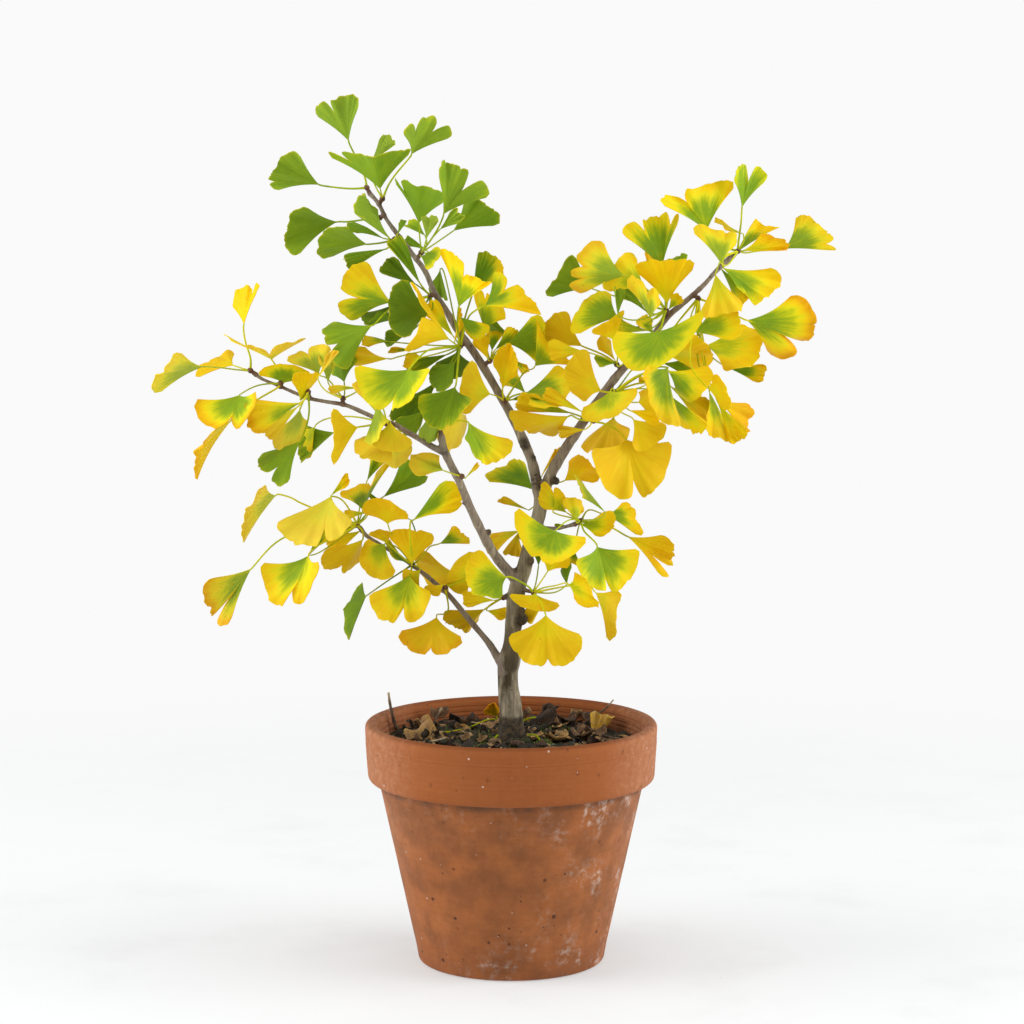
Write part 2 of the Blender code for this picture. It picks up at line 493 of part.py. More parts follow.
        ((15, 325, 12), (-14, 332), (11, 341), (0, 340), "of", 0, (), (), 0.3),
        ((12, 311, 8), (-2, 318), (-5, 315), None, "of", 0, (), (), 0.7),
    ),
    "stem_high": (
        ((6, 297, 6), (-10, 297), (-12, 284.5), (-13, 291), "fo", 0, (), (), 0.75),
        ((5, 296, 10), (-5, 285), (7, 284), (1, 283), "of", 0, (), (), 0.85),
    ),
}

# Dead leaves on the soil: neck x and y, the way they point in degrees, reach and half spread in
# degrees, how far the sides and the margin rise, how far the neck is raised, and 0 brown to 1 yellow.
DEAD_LEAVES = {
    "dead_leaf_left": (-50, 36, 163, 21, 38, 7, 3, 0, 0.5),
    "dead_leaf_front": (27, 9, 22, 14, 42, 3.5, 2.5, 0.3, 0.6),
    "dead_leaf_curled": (44.5, 27, 30, 14, 45, 6, 2, 0, 0.2),
    "dead_leaf_back": (14, 60, 25, 19, 24, 1, 14, 0, 0.1),
    "dead_leaf_olive": (36, 60, 8, 15, 38, 2, 9, 0, 0.35),
    "dead_leaf_yellow": (57, 34, 58, 17, 40, 2, 11, 0, 0.9),
    "dead_leaf_strip": (9, 52, 12, 12, 22, 0.5, 1, 0, 0.5),
}

# Twigs on the soil: x, y, height above the soil's mean level and radius in mm.
TWIGS = {
    "twig_pale": ((-78, 29, 4.0, 1.3), (-81, 30, 9, 1.2), (-84, 31, 21, 1.1), (-85.5, 32, 31, 0.8)),
    "twig_brown": ((-55, 54, 3.2, 1.0), (-53, 56, 8, 0.9), (-49, 58, 15, 0.7)),
    "twig_back": ((47, 50, 3.4, 0.9), (58, 54, 10, 0.8), (66.5, 55, 15.5, 0.7), (72, 56.5, 21.5, 0.5)),
    "twig_root": ((11, 4, 10.5, 0.9), (17, 2, 6, 0.9), (23, -2, 3.4, 0.7)),
}

# A fallen amber leaf on its long stalk, in readings like the crown's: the stalk's end on the soil,
# then a row like those above.
FALLEN_END = (-48, 156.9, 36)
FALLEN_LEAF = (
    (-10, 168, 40), (-19, 172), (-8, 174), (-13, 177), "nn", 14, (),
    ((-36, 159), (-26, 162), (-16, 166.8)), 0.8,
)

# Depths are spread by this much: those of the branches and hubs, and of the necks from their hub.
# A blade tips by a share of what its reach allows.
BRANCH_SPREAD = 2.4
NECK_SPREAD = 2.2
TIP_SHARE = 0.85

# The blade's form: its growth over the readings, how straight its sides leave the neck, its bend and
# its wave as shares of its reach, the waves along its margin and the half width of a slit.
BLADE_GROWTH = 1.07
SIDE_STRAIGHTNESS = 0.84
AXIS_SHARE = 0.9
BLADE_BEND = 0.09
BLADE_WAVE = 0.05
WAVES = 1.5
SLIT_WIDTH = 0.045

# How far in mm a leaf may shift in depth, and how flat it may turn, to lie clear of the rest, with
# the cost of turning and of touching another cluster.
SHIFTS = (0, 3, -3, 6, -6, 9, -9, 13, -13, 17, -17, 22, -22, 28, -28)
FLATNESS = (1.0, 0.6, 0.25, -0.6)
TURN_COST = 9
TOUCH_COST = 10
CLEAR_THICKNESS = 2.4 * MM
CLEAR_STALK = 2.2 * MM
CLEAR_BRANCH = 1.1 * MM
CLEAR_START = 2.2 * MM


def seen(x, z, depth=0.0):
    """The point in metres at a reading, moved along its sight line by its depth in mm."""
    scale = (SIGHT_DISTANCE + depth) / SIGHT_DISTANCE
    return Vector((x * scale, depth, SIGHT_HEIGHT + (z - SIGHT_HEIGHT) * scale)) * MM


def material(name, colour, roughness, metallic=0.0):
    made = bpy.data.materials.new(name)
    made.use_nodes = True
    shader = made.node_tree.nodes["Principled BSDF"]
    shader.inputs["Base Color"].default_value = (*colour, 1.0)
    shader.inputs["Roughness"].default_value = roughness
    shader.inputs["Metallic"].default_value = metallic
    made.diffuse_color = (*colour, 1.0)
    return made


def new_object(name, points, faces, surface=None, smooth_angle=None):
    mesh = bpy.data.meshes.new(name)
    mesh.from_pydata([tuple(point) for point in points], [], faces)
    tidy = bmesh.new()
    tidy.from_mesh(mesh)
    bmesh.ops.triangulate(tidy, faces=tidy.faces)
    bmesh.ops.recalc_face_normals(tidy, faces=tidy.faces)
    if tidy.calc_volume(signed=True) < 0:
        bmesh.ops.reverse_faces(tidy, faces=tidy.faces)
    tidy.to_mesh(mesh)
    tidy.free()
    if surface:
        mesh.materials.append(surface)
    if smooth_angle is not None:
        mesh.shade_smooth()
        mesh.set_sharp_from_angle(angle=math.radians(smooth_angle))
    made = bpy.data.objects.new(name, mesh)
    bpy.context.scene.collection.objects.link(made)
    return made


def fuse(base, others, solver="EXACT"):
    """Unites the other objects with the base and removes them."""
    operands = bpy.data.collections.new(base.name + "_operands")
    bpy.context.scene.collection.children.link(operands)
    for other in others:
        bpy.context.scene.collection.objects.unlink(other)
        operands.objects.link(other)
    union = base.modifiers.new("union", "BOOLEAN")
    union.operation = "UNION"
    union.operand_type = "COLLECTION"
    union.collection = operands
    union.solver = solver
    bpy.context.view_layer.update()
    joined = bpy.data.meshes.new_from_object(base.evaluated_get(bpy.context.evaluated_depsgraph_get()))
    base.modifiers.clear()
    tidy = bmesh.new()
    tidy.from_mesh(joined)
    bmesh.ops.dissolve_limit(tidy, angle_limit=FLAT_ANGLE, verts=tidy.verts, edges=tidy.edges)
    bmesh.ops.triangulate(tidy, faces=tidy.faces)
    tidy.to_mesh(joined)
    tidy.free()
    base.data = joined
    for other in others:
        bpy.data.objects.remove(other)
    bpy.data.collections.remove(operands)
    return base


def rings_to_faces(rings, sides, closed_loop=False):
    """Quads between rings of points that follow one another."""
    faces = []
    last = rings if closed_loop else rings - 1
    for ring in range(last):
        start = ring * sides
        after = ((ring + 1) % rings) * sides
        for side in range(sides):
            beside = (side + 1) % sides
            faces.append((start + side, start + beside, after + beside, after + side))
    return faces


def turned(name, profile, sides, surface):
    """A closed profile of radius and height turned about the Z axis."""
    points = []
    for radius, height in profile:
        for side in range(sides):
            angle = 2 * math.pi * side / sides
            points.append((radius * math.cos(angle), radius * math.sin(angle), height))
    return new_object(name, points, rings_to_faces(len(profile), sides, closed_loop=True), surface, 35)


def wall_radius(height):
    """The pot's inner radius at a height above its floor."""
    top = RIM_RADIUS - WALL
    return FOOT_RADIUS - WALL + (top - FOOT_RADIUS + WALL) * (height - FLOOR) / (POT_HEIGHT - FLOOR)


def make_pot(surface):
    rim_foot = POT_HEIGHT - RIM_HEIGHT
    profile = (
        (DRAIN_RADIUS, 0),
        (FOOT_RADIUS - 2 * MM, 0),
        (FOOT_RADIUS - 0.4 * MM, 1.5 * MM),
        (FOOT_RADIUS + 0.6 * MM, 12 * MM),
        (BODY_TOP_RADIUS, rim_foot + 0.5 * MM),
        (RIM_FOOT_RADIUS - 4.5 * MM, rim_foot),
        (RIM_FOOT_RADIUS - 1.3 * MM, rim_foot + 1.4 * MM),
        (RIM_FOOT_RADIUS, rim_foot + 4.6 * MM),
        (RIM_RADIUS, POT_HEIGHT - 5 * MM),
        (RIM_RADIUS - 1.1 * MM, POT_HEIGHT - 1.4 * MM),
        (RIM_RADIUS - 3.4 * MM, POT_HEIGHT),
        (RIM_RADIUS - 6 * MM, POT_HEIGHT - 0.8 * MM),
        (wall_radius(POT_HEIGHT - 3 * MM), POT_HEIGHT - 3 * MM),
        (wall_radius(FLOOR + 4 * MM), FLOOR + 4 * MM),
        (wall_radius(FLOOR) - 4 * MM, FLOOR),
        (DRAIN_RADIUS, FLOOR),
    )
    return turned("pot", profile, POT_SIDES, surface)


def soil_height(x, y):
    """The soil's uneven top, raised round the stem and a little towards the pot's wall."""
    away = math.hypot(x, y)
    mound = 4.5 * MM * math.exp(-((away / (24 * MM)) ** 2))
    lumps = 1.1 * math.sin(x / (9 * MM) + 0.6) * math.cos(y / (11 * MM) - 0.4)
    lumps += 0.8 * math.sin((x - 0.8 * y) / (15 * MM) + 1.7)
    rise = 2.2 * MM * (away / RIM_RADIUS) ** 2
    return SOIL_LEVEL + mound + rise + lumps * MM


def make_soil(surface):
    """A body of soil with a bumpy top and a plain blind hole for the stem's foot."""
    hole_radius = BRANCHES["stem"][2][0][3] * MM + CLEARANCE
    hole_floor = BRANCHES["stem"][2][0][1] * MM - CLEARANCE
    bottom = FLOOR + CLEARANCE
    edge_height = SOIL_LEVEL + 1.5 * MM
    rings = [(0.6 * MM, hole_floor), (hole_radius, hole_floor), (hole_radius, None)]
    rings += [(radius * MM, None) for radius in SOIL_RINGS]
    rings.append((wall_radius(edge_height) - SOIL_GAP, None))
    rings.append((wall_radius(FLOOR + 4 * MM) - SOIL_GAP, FLOOR + 4 * MM))
    rings.append((wall_radius(FLOOR) - 4 * MM - SOIL_GAP, bottom))
    points = []
    for radius, height in rings:
        for side in range(SOIL_SIDES):
            angle = 2 * math.pi * side / SOIL_SIDES
            level = height
            if height is None:
                level = soil_height(radius * math.cos(angle), radius * math.sin(angle))
            reach = min(radius, wall_radius(level) - SOIL_GAP)
            points.append((reach * math.cos(angle), reach * math.sin(angle), level))
    faces = rings_to_faces(len(rings), SOIL_SIDES)
    faces.append(tuple(range(SOIL_SIDES)))
    faces.append(tuple(range(len(points) - SOIL_SIDES, len(points))))
    return new_object("soil", points, faces, surface, 50)


def tube(points, radii, sides):
    """Points and faces of a closed tube along a path."""
    made = []
    side_way = None
    for at, point in enumerate(points):
        before = points[max(at - 1, 0)]
        after = points[min(at + 1, len(points) - 1)]
        along = (after - before).normalized()
        if side_way is None:
            side_way = along.orthogonal()
            if abs(along.z) > 0.9:
                side_way = Vector((1, 0, 0))
        side_way = (side_way - along * side_way.dot(along)).normalized()
        other_way = along.cross(side_way)
        for side in range(sides):
            angle = 2 * math.pi * side / sides
            made.append(point + (side_way * math.cos(angle) + other_way * math.sin(angle)) * radii[at])
    faces = rings_to_faces(len(points), sides)
    faces.append(tuple(range(sides)))
    faces.append(tuple(range(len(made) - sides, len(made))))
    return made, faces


def branch_path(name):
    return [seen(x, z, depth * BRANCH_SPREAD) for x, z, depth, _ in BRANCHES[name][2]]


def branch_radii(name):
    return [radius * MM for _, _, _, radius in BRANCHES[name][2]]


def nearest_on_branch(name, point):
    """The nearest point on a branch's line, with the branch's radius there."""
    path = branch_path(name)
    radii = branch_radii(name)
    best = None
    for at in range(len(path) - 1):
        step = path[at + 1] - path[at]
        share = min(max((point - path[at]).dot(step) / step.length_squared, 0), 1)
        place = path[at] + step * share
        away = (point - place).length
        if best is None or away < best[0]:
            best = (away, place, radii[at] + (radii[at + 1] - radii[at]) * share)
    return best[1], best[2]


def hub_place(name):
    """Where a hub lies, the branch point under it, the way out from there and the depth listed."""
    branch, x, z, depth = HUBS[name]
    wanted = seen(x, z, depth * BRANCH_SPREAD)
    root, radius = nearest_on_branch(branch, wanted)
    out = (wanted - root).normalized()
    least = radius + HUB_RADIUS + 2 * CLEARANCE
    return root + out * max((wanted - root).length, least), root, out, depth


def spur(name, wider=0):
    """The short spur under a cluster's hub."""
    centre, root, out, _ = hub_place(name)
    end = centre - out * (HUB_RADIUS + CLEARANCE)
    return tube([root - out * SPUR_ROOT, end], [SPUR_RADIUS + wider, SPUR_TIP_RADIUS + wider], 5)


def make_tree(surface):
    """The stem, its branches, old scars and the short spurs that carry the leaf clusters."""
    pieces = []
    for name, (_, sides, _) in BRANCHES.items():
        points, faces = tube(branch_path(name), branch_radii(name), sides)
        pieces.append(new_object(name, points, faces, surface))
    for at, (_, x, z, depth, radius) in enumerate(SCARS):
        ball = bmesh.new()
        bmesh.ops.create_icosphere(ball, subdivisions=1, radius=radius * MM)
        bmesh.ops.translate(ball, vec=seen(x, z, depth * BRANCH_SPREAD), verts=ball.verts)
        mesh = bpy.data.meshes.new("scar")
        ball.to_mesh(mesh)
        ball.free()
        scar = bpy.data.objects.new("scar_" + str(at), mesh)
        bpy.context.scene.collection.objects.link(scar)
        pieces.append(scar)
    for name in HUBS:
        points, faces = spur(name)
        pieces.append(new_object("spur_" + name, points, faces, surface))
    tree = fuse(pieces[0], pieces[1:])
    tree.name = "tree"
    tree.data.shade_smooth()
    tree.data.set_sharp_from_angle(angle=math.radians(60))
    return tree


class Leaf:
    """One leaf: a waved fan-shaped blade on a thin stalk that starts in its cluster's hub."""

    def __init__(self, row, hub, shift=0, flatness=1.0):
        (x, z, depth), first, second, middle, codes, reach, slits, stalk, self.hue = row
        depth = hub[0].y / MM + (depth - hub[3]) * NECK_SPREAD + shift
        self.slits = slits
        lengths = [math.dist((x, z), first), math.dist((x, z), second)]
        if middle:
            lengths.append(math.dist((x, z), middle))
        reach = max(reach, 1.02 * max(lengths))
        tips = []
        for code, length in zip(codes, lengths):
            way = {"n": -1, "f": 1, "o": 0}[code]
            tips.append(way * TIP_SHARE * flatness * math.sqrt(reach**2 - length**2))
        self.neck = seen(x, z, depth)
        self.first = (seen(*first, depth + tips[0]) - self.neck) * BLADE_GROWTH
        self.second = (seen(*second, depth + tips[1]) - self.neck) * BLADE_GROWTH
        mean = (self.first + self.second) / 2
        if middle:
            bend = BLADE_BEND * reach * (1 if depth > hub[0].y / MM else -1)
            self.middle = (seen(*middle, depth + sum(tips) / 2 + bend) - self.neck) * BLADE_GROWTH
        else:
            size = 1.04 * (self.first.length + self.second.length) / 2
            self.middle = mean.normalized() * size
        self.across = (self.second - self.first).normalized()
        self.facing = self.across.cross(self.middle).normalized()
        self.reach = self.middle.length
        self.phase = x * 0.7 + z * 0.3
        self.centre = hub[0]
        marks = [seen(px, pz, hub[0].y / MM + (depth - hub[0].y / MM) * (at + 1) / (len(stalk) + 1))
                 for at, (px, pz) in enumerate(stalk)]
        self.stalk = self.stalk_path(marks)

    def margin(self, along):
        """How far out the margin lies, as a share of the reach, with its slits."""
        share = 1.0
        for place, depth in self.slits:
            share -= depth * math.exp(-(((along - place) / SLIT_WIDTH) ** 2))
        return share

    def spot(self, along, out):
        """A point of the blade's middle surface: along its margin, and out from its neck."""
        lead = self.first * (1 - along) * (1 - 2 * along)
        lead += self.middle * 4 * along * (1 - along)
        lead += self.second * along * (2 * along - 1)
        width = SIDE_STRAIGHTNESS + (1 - SIDE_STRAIGHTNESS) * out
        point = lead * width + self.middle * AXIS_SHARE * (1 - width)
        wave = math.sin(2 * math.pi * WAVES * along + self.phase) * BLADE_WAVE * self.reach * out**2
        return self.neck + point * out + self.facing * wave

    def stalk_path(self, marks):
        """Points from the hub to the neck, bending into the blade's own direction."""
        span = (self.neck - self.centre).length
        start = self.centre + (self.neck - self.centre).normalized() * HUB_RADIUS * 0.4
        lean = self.middle.normalized() * -1
        if marks:
            marks = [mark for mark in marks if (mark - self.neck).length > STALK_BEND]
            return [start, *marks, self.neck + lean * STALK_BEND / 2, self.neck]
        inner = start + (self.neck - start) * 0.3
        outer = self.neck + lean * span * 0.45
        path = []
        steps = 3 if span > LONG_STALK else 2
        for step in range(steps + 1):
            at = step / steps
            point = start * (1 - at) ** 3 + inner * 3 * at * (1 - at) ** 2
            point += outer * 3 * at**2 * (1 - at) + self.neck * at**3
            path.append(point)
        return path

    def margin_places(self):
        """Places along the margin where the blade has points, closer at a slit."""
        places = [0, 1]
        for place, _ in self.slits:
            places += [place - 0.07, place, place + 0.07]
        shares = (0.2, 0.4, 0.6, 0.8) if self.reach > SMALL_REACH else (0.33, 0.67)
        for place in shares:
            if all(abs(place - other) > 0.1 for other in places):
                places.append(place)
        return sorted(places)

    def solid(self, thickness, stalk_width, stalk_thickness, skipped=0.0):
        """Points and faces of the leaf as one closed body. Its stalk starts at the skipped length."""
        outer = self.margin_places()
        inner = [0, self.slits[0][0] if self.slits else 0.5, 1]
        if self.reach < SMALL_REACH and not self.slits:
            inner = [0, 1]
        sheet = [(along, self.margin(along)) for along in outer]
        sheet += [(along, 0.5 * self.margin(along)) for along in inner]
        half = self.facing * thickness / 2
        side = self.across * stalk_width / 2
        middle = [self.spot(along, out) for along, out in sheet]
        middle += [self.neck - side, self.neck + side]
        count = len(middle)
        points = [point + half for point in middle] + [point - half for point in middle]
        rows = [list(range(len(outer))), list(range(len(outer), count - 2)), [count - 2, count - 1]]
        top = strip(rows[0], rows[1], outer, inner) + strip(rows[1], rows[2], inner, [0, 1])
        faces = list(top)
        faces += [tuple(corner + count for corner in reversed(face)) for face in top]
        border = rows[0] + [rows[1][-1], rows[2][1]]
        for first, second in zip(border, border[1:]):
            faces.append((first, second, second + count, first + count))
        border = [rows[2][0], rows[1][0], rows[0][0]]
        for first, second in zip(border, border[1:]):
            faces.append((first, second, second + count, first + count))
        ring = [count - 2, count - 1, 2 * count - 1, 2 * count - 2]
        path = shortened(self.stalk, skipped)
        across = self.across
        for at in range(len(path) - 2, -1, -1):
            before = path[max(at - 1, 0)]
            along = (path[at + 1] - before).normalized()
            across = (across - along * across.dot(along)).normalized()
            up = across.cross(along)
            start = len(points)
            wide = across * stalk_width / 2
            high = up * stalk_thickness / 2
            points += [path[at] - wide + high, path[at] + wide + high]
            points += [path[at] + wide - high, path[at] - wide - high]
            fresh = [start, start + 1, start + 2, start + 3]
            for corner in range(4):
                beside = (corner + 1) % 4
                faces.append((ring[corner], ring[beside], fresh[beside], fresh[corner]))
            ring = fresh
        faces.append(tuple(ring))
        return points, faces


def strip(first, second, first_places, second_places):
    """Triangles between two rows of points, matched by their places."""
    faces = []
    at = 0
    beside = 0
    while at < len(first) - 1 or beside < len(second) - 1:
        ahead = first_places[at + 1] if at < len(first) - 1 else 2
        other = second_places[beside + 1] if beside < len(second) - 1 else 2
        if ahead <= other:
            faces.append((first[at], first[at + 1], second[beside]))
            at += 1
        else:
            faces.append((first[at], second[beside + 1], second[beside]))
            beside += 1
    return faces


def shortened(path, skipped):
    """The path without its first stretch."""
    path = list(path)
    while skipped > 0 and len(path) > 2 and (path[1] - path[0]).length <= skipped:
        skipped -= (path[1] - path[0]).length
        path.pop(0)
    step = path[1] - path[0]
    path[0] = path[0] + step * min(skipped / step.length, 0.9)
    return path


def tree_of(points, faces):
    return BVHTree.FromPolygons([tuple(point) for point in points], faces)


def box_of(points):
    low = [min(point[axis] for point in points) for axis in range(3)]
    high = [max(point[axis] for point in points) for axis in range(3)]
    return low, high


def boxes_meet(first, second):
    return all(first[0][axis] < second[1][axis] and second[0][axis] < first[1][axis] for axis in range(3))


def crossings(leaf, cluster, settled):
    """Adds up the settled shapes that the leaf comes too near. Its own cluster's count less."""
    points, faces = leaf.solid(CLEAR_THICKNESS, CLEAR_STALK, CLEAR_STALK, CLEAR_START)
    shape = tree_of(points, faces)
    box = box_of(points)
    count = 0
    for other, other_box, owner in settled:
        if boxes_meet(box, other_box) and shape.overlap(other):
            count += 1 if owner == cluster else TOUCH_COST
    return count, shape, box


def settle_leaves():
    """Places every leaf clear of the branches and of the leaves before it."""
    settled = []
    for name, (_, sides, _) in BRANCHES.items():
        radii = [radius + CLEAR_BRANCH for radius in branch_radii(name)]
        points, faces = tube(branch_path(name), radii, sides)
        settled.append((tree_of(points, faces), box_of(points), name))
    for cluster in HUBS:
        points, faces = spur(cluster, CLEARANCE)
        settled.append((tree_of(points, faces), box_of(points), "spur"))
    leaves = {}
    for cluster, rows in LEAVES.items():
        hub = hub_place(cluster)
        leaves[cluster] = []
        for row in rows:
            best = None
            for flatness in FLATNESS:
                for shift in SHIFTS:
                    cost = abs(shift) + TURN_COST * (1 - flatness)
                    if best and best[0] == 0 and cost >= best[1]:
                        continue
                    leaf = Leaf(row, hub, shift, flatness)
                    count, shape, box = crossings(leaf, cluster, settled)
                    if best is None or (count, cost) < best[:2]:
                        best = (count, cost, leaf, shape, box)
            settled.append((best[3], best[4], cluster))
            leaves[cluster].append(best[2])
    return leaves


def make_cluster(name, leaves, surface):
    """One spray of leaves fused at its hub."""
    ball = bmesh.new()
    bmesh.ops.create_icosphere(ball, subdivisions=1, radius=HUB_RADIUS)
    bmesh.ops.translate(ball, vec=leaves[0].centre, verts=ball.verts)
    mesh = bpy.data.meshes.new("leaves_" + name)
    ball.to_mesh(mesh)
    ball.free()
    mesh.materials.append(surface)
    hub = bpy.data.objects.new("leaves_" + name, mesh)
    bpy.context.scene.collection.objects.link(hub)
    pieces = []
    for at, leaf in enumerate(leaves):
        points, faces = leaf.solid(BLADE_THICKNESS, STALK_WIDTH, STALK_THICKNESS)
        pieces.append(new_object(name + "_leaf_" + str(at), points, faces, surface))
    return fuse(hub, pieces, "MANIFOLD")


def soil_top(soil_shape, x, y):
    """The height of the soil's facets at a place."""
    hit = soil_shape.ray_cast(Vector((x, y, 2 * POT_HEIGHT)), Vector((0, 0, -1)))[0]
    return hit.z


def make_dead_leaf(name, soil_shape, surface):
    """A curled dead leaf that lies on the soil, a closed sheet of four by three points."""
    x, y, heading, reach, spread, side_rise, margin_rise, neck_rise, _ = DEAD_LEAVES[name]
    across = (-1, -0.35, 0.35, 1)
    outward = (0.14, 0.6, 1)
    middle = []
    for out in outward:
        for side in across:
            angle = math.radians(heading + spread * side)
            place_x = (x + reach * out * math.cos(angle)) * MM
            place_y = (y + reach * out * math.sin(angle)) * MM
            rise = side_rise * side**2 * out + margin_rise * out**2 + neck_rise
            level = soil_top(soil_shape, place_x, place_y) + LITTER_LIFT + rise * MM
            middle.append(Vector((place_x, place_y, level)))
    half = Vector((0, 0, LITTER_THICKNESS / 2))
    points = [point + half for point in middle] + [point - half for point in middle]
    count = len(middle)
    wide = len(across)
    faces = []
    for row in range(len(outward) - 1):
        for column in range(wide - 1):
            at = row * wide + column
            quad = (at, at + 1, at + wide + 1, at + wide)
            faces.append(quad)
            faces.append(tuple(corner + count for corner in reversed(quad)))
    border = list(range(wide)) + [2 * wide - 1]
    border += list(range(count - 1, count - 1 - wide, -1)) + [wide, 0]
    for first, second in zip(border, border[1:]):
        faces.append((first, second, second + count, first + count))
    return new_object(name, points, faces, surface)


def make_twig(name, surface):
    path = [Vector((x, y, SOIL_LEVEL / MM + z)) * MM for x, y, z, _ in TWIGS[name]]
    points, faces = tube(path, [radius * MM for _, _, _, radius in TWIGS[name]], 5)
    return new_object(name, points, faces, surface)


def make_litter():
    soil = bpy.data.objects["soil"]
    soil_shape = BVHTree.FromObject(soil, bpy.context.evaluated_depsgraph_get())
    for name, values in DEAD_LEAVES.items():
        share = values[-1]
        colour = [brown + (yellow - brown) * share for brown, yellow in zip(BROWN, YELLOW)]
        make_dead_leaf(name, soil_shape, material(name, colour, 0.8))
    for name in TWIGS:
        make_twig(name, material(name, (0.2, 0.13, 0.07), 0.9))
    end = seen(*FALLEN_END)
    leaf = Leaf(FALLEN_LEAF, (end, end, Vector((0, 0, 1)), FALLEN_END[2]))
    points, faces = leaf.solid(BLADE_THICKNESS, STALK_WIDTH, STALK_THICKNESS)
    new_object("dead_leaf_amber", points, faces, material("dead_leaf_amber", (0.62, 0.36, 0.05), 0.7))


def centre_all():
    """Moves the whole model so that its box is centred on the Z axis."""
    bpy.context.view_layer.update()
    corners = []
    for thing in bpy.context.scene.objects:
        corners += [thing.matrix_world @ Vector(corner) for corner in thing.bound_box]
    low, high = box_of(corners)
    for thing in bpy.context.scene.objects:
        thing.location.x -= (low[0] + high[0]) / 2
        thing.location.y -= (low[1] + high[1]) / 2


BROWN = (0.16, 0.08, 0.03)
GREEN = (0.13, 0.24, 0.04)
YELLOW = (0.78, 0.56, 0.06)


def main():
    for thing in list(bpy.context.scene.objects):
        bpy.data.objects.remove(thing)
    make_pot(material("terracotta", (0.45, 0.16, 0.07), 0.9))
    make_soil(material("soil", (0.05, 0.035, 0.022), 1.0))
    make_tree(material("bark", (0.24, 0.16, 0.09), 0.95))
    leaves = settle_leaves()
    for name, group in leaves.items():
        share = sum(leaf.hue for leaf in group) / len(group)
        colour = [green + (yellow - green) * share for green, yellow in zip(GREEN, YELLOW)]
        make_cluster(name, group, material("leaves_" + name, colour, 0.6))
    make_litter()
    centre_all()


if __name__ == "__main__":
    main()
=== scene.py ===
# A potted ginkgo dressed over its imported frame. Lengths are metres unless a name ends in Mm.

import math
import random

import bmesh
import bpy
from mathutils import Matrix, Vector, kdtree, noise
from mathutils.bvhtree import BVHTree


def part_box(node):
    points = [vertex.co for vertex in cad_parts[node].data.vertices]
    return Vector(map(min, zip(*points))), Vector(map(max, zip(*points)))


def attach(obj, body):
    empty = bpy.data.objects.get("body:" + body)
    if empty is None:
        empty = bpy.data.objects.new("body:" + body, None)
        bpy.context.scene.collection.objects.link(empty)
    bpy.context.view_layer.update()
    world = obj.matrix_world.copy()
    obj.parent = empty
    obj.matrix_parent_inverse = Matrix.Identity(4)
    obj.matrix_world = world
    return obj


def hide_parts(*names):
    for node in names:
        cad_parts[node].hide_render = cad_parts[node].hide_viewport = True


mm = 0.001

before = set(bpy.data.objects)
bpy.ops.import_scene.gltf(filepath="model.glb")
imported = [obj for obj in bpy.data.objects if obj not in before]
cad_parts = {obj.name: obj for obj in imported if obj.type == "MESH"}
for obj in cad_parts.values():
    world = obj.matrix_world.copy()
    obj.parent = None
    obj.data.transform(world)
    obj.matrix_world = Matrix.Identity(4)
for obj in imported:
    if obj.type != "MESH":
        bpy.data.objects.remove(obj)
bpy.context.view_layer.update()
potLow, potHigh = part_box("pot")
potAxis = Vector(((potLow.x + potHigh.x) / 2, (potLow.y + potHigh.y) / 2, 0))
print("frame loaded with", len(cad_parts), "nodes, pot axis at", round(potAxis.x / mm, 2), "mm")


def tint(red, green, blue):
    # screen values 0 to 255 turned into the linear colour a shader wants
    linear = []
    for value in (red, green, blue):
        share = value / 255
        linear.append(share / 12.92 if share <= 0.04045 else ((share + 0.055) / 1.055) ** 2.4)
    return (*linear, 1.0)


def blendNumber(first, second, share):
    return first + (second - first) * share


def smoothShare(low, high, value):
    share = min(max((value - low) / (high - low), 0), 1)
    return share * share * (3 - 2 * share)


def makePiece(name, mesh, materials, replaced, sharpAngle=50):
    # a bmesh becomes a piece that rides on the frame, standing round the pot's axis
    data = bpy.data.meshes.new(name)
    mesh.to_mesh(data)
    mesh.free()
    data.transform(Matrix.Translation(potAxis))
    for material in materials:
        data.materials.append(material)
    data.shade_smooth()
    data.set_sharp_from_angle(angle=math.radians(sharpAngle))
    piece = bpy.data.objects.new(name, data)
    bpy.context.scene.collection.objects.link(piece)
    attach(piece, "root")
    if replaced:
        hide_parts(*replaced)
    return piece


# ways to make a mesh

def smoothPath(points, steps):
    # a rounded path through the points, with the same number of steps in each stretch
    path = []
    for at in range(len(points) - 1):
        before = points[max(at - 1, 0)]
        start = points[at]
        end = points[at + 1]
        after = points[min(at + 2, len(points) - 1)]
        for step in range(steps):
            share = step / steps
            even = start * 2 + (end - before) * share
            square = (before * 2 - start * 5 + end * 4 - after) * share**2
            cube = (start * 3 - end * 3 + after - before) * share**3
            path.append((even + square + cube) / 2)
    path.append(points[-1].copy())
    return path


def smoothNumbers(values, steps):
    return [spot.x for spot in smoothPath([Vector((value, 0, 0)) for value in values], steps)]


def waysAcross(path):
    # two directions across a path at each of its points, which don't twist along it
    ways = []
    sideWay = None
    for at in range(len(path)):
        along = (path[min(at + 1, len(path) - 1)] - path[max(at - 1, 0)]).normalized()
        if sideWay is None:
            sideWay = Vector((1, 0, 0)) if abs(along.z) > 0.9 else along.orthogonal()
        sideWay = (sideWay - along * sideWay.dot(along)).normalized()
        ways.append((sideWay, along.cross(sideWay)))
    return ways


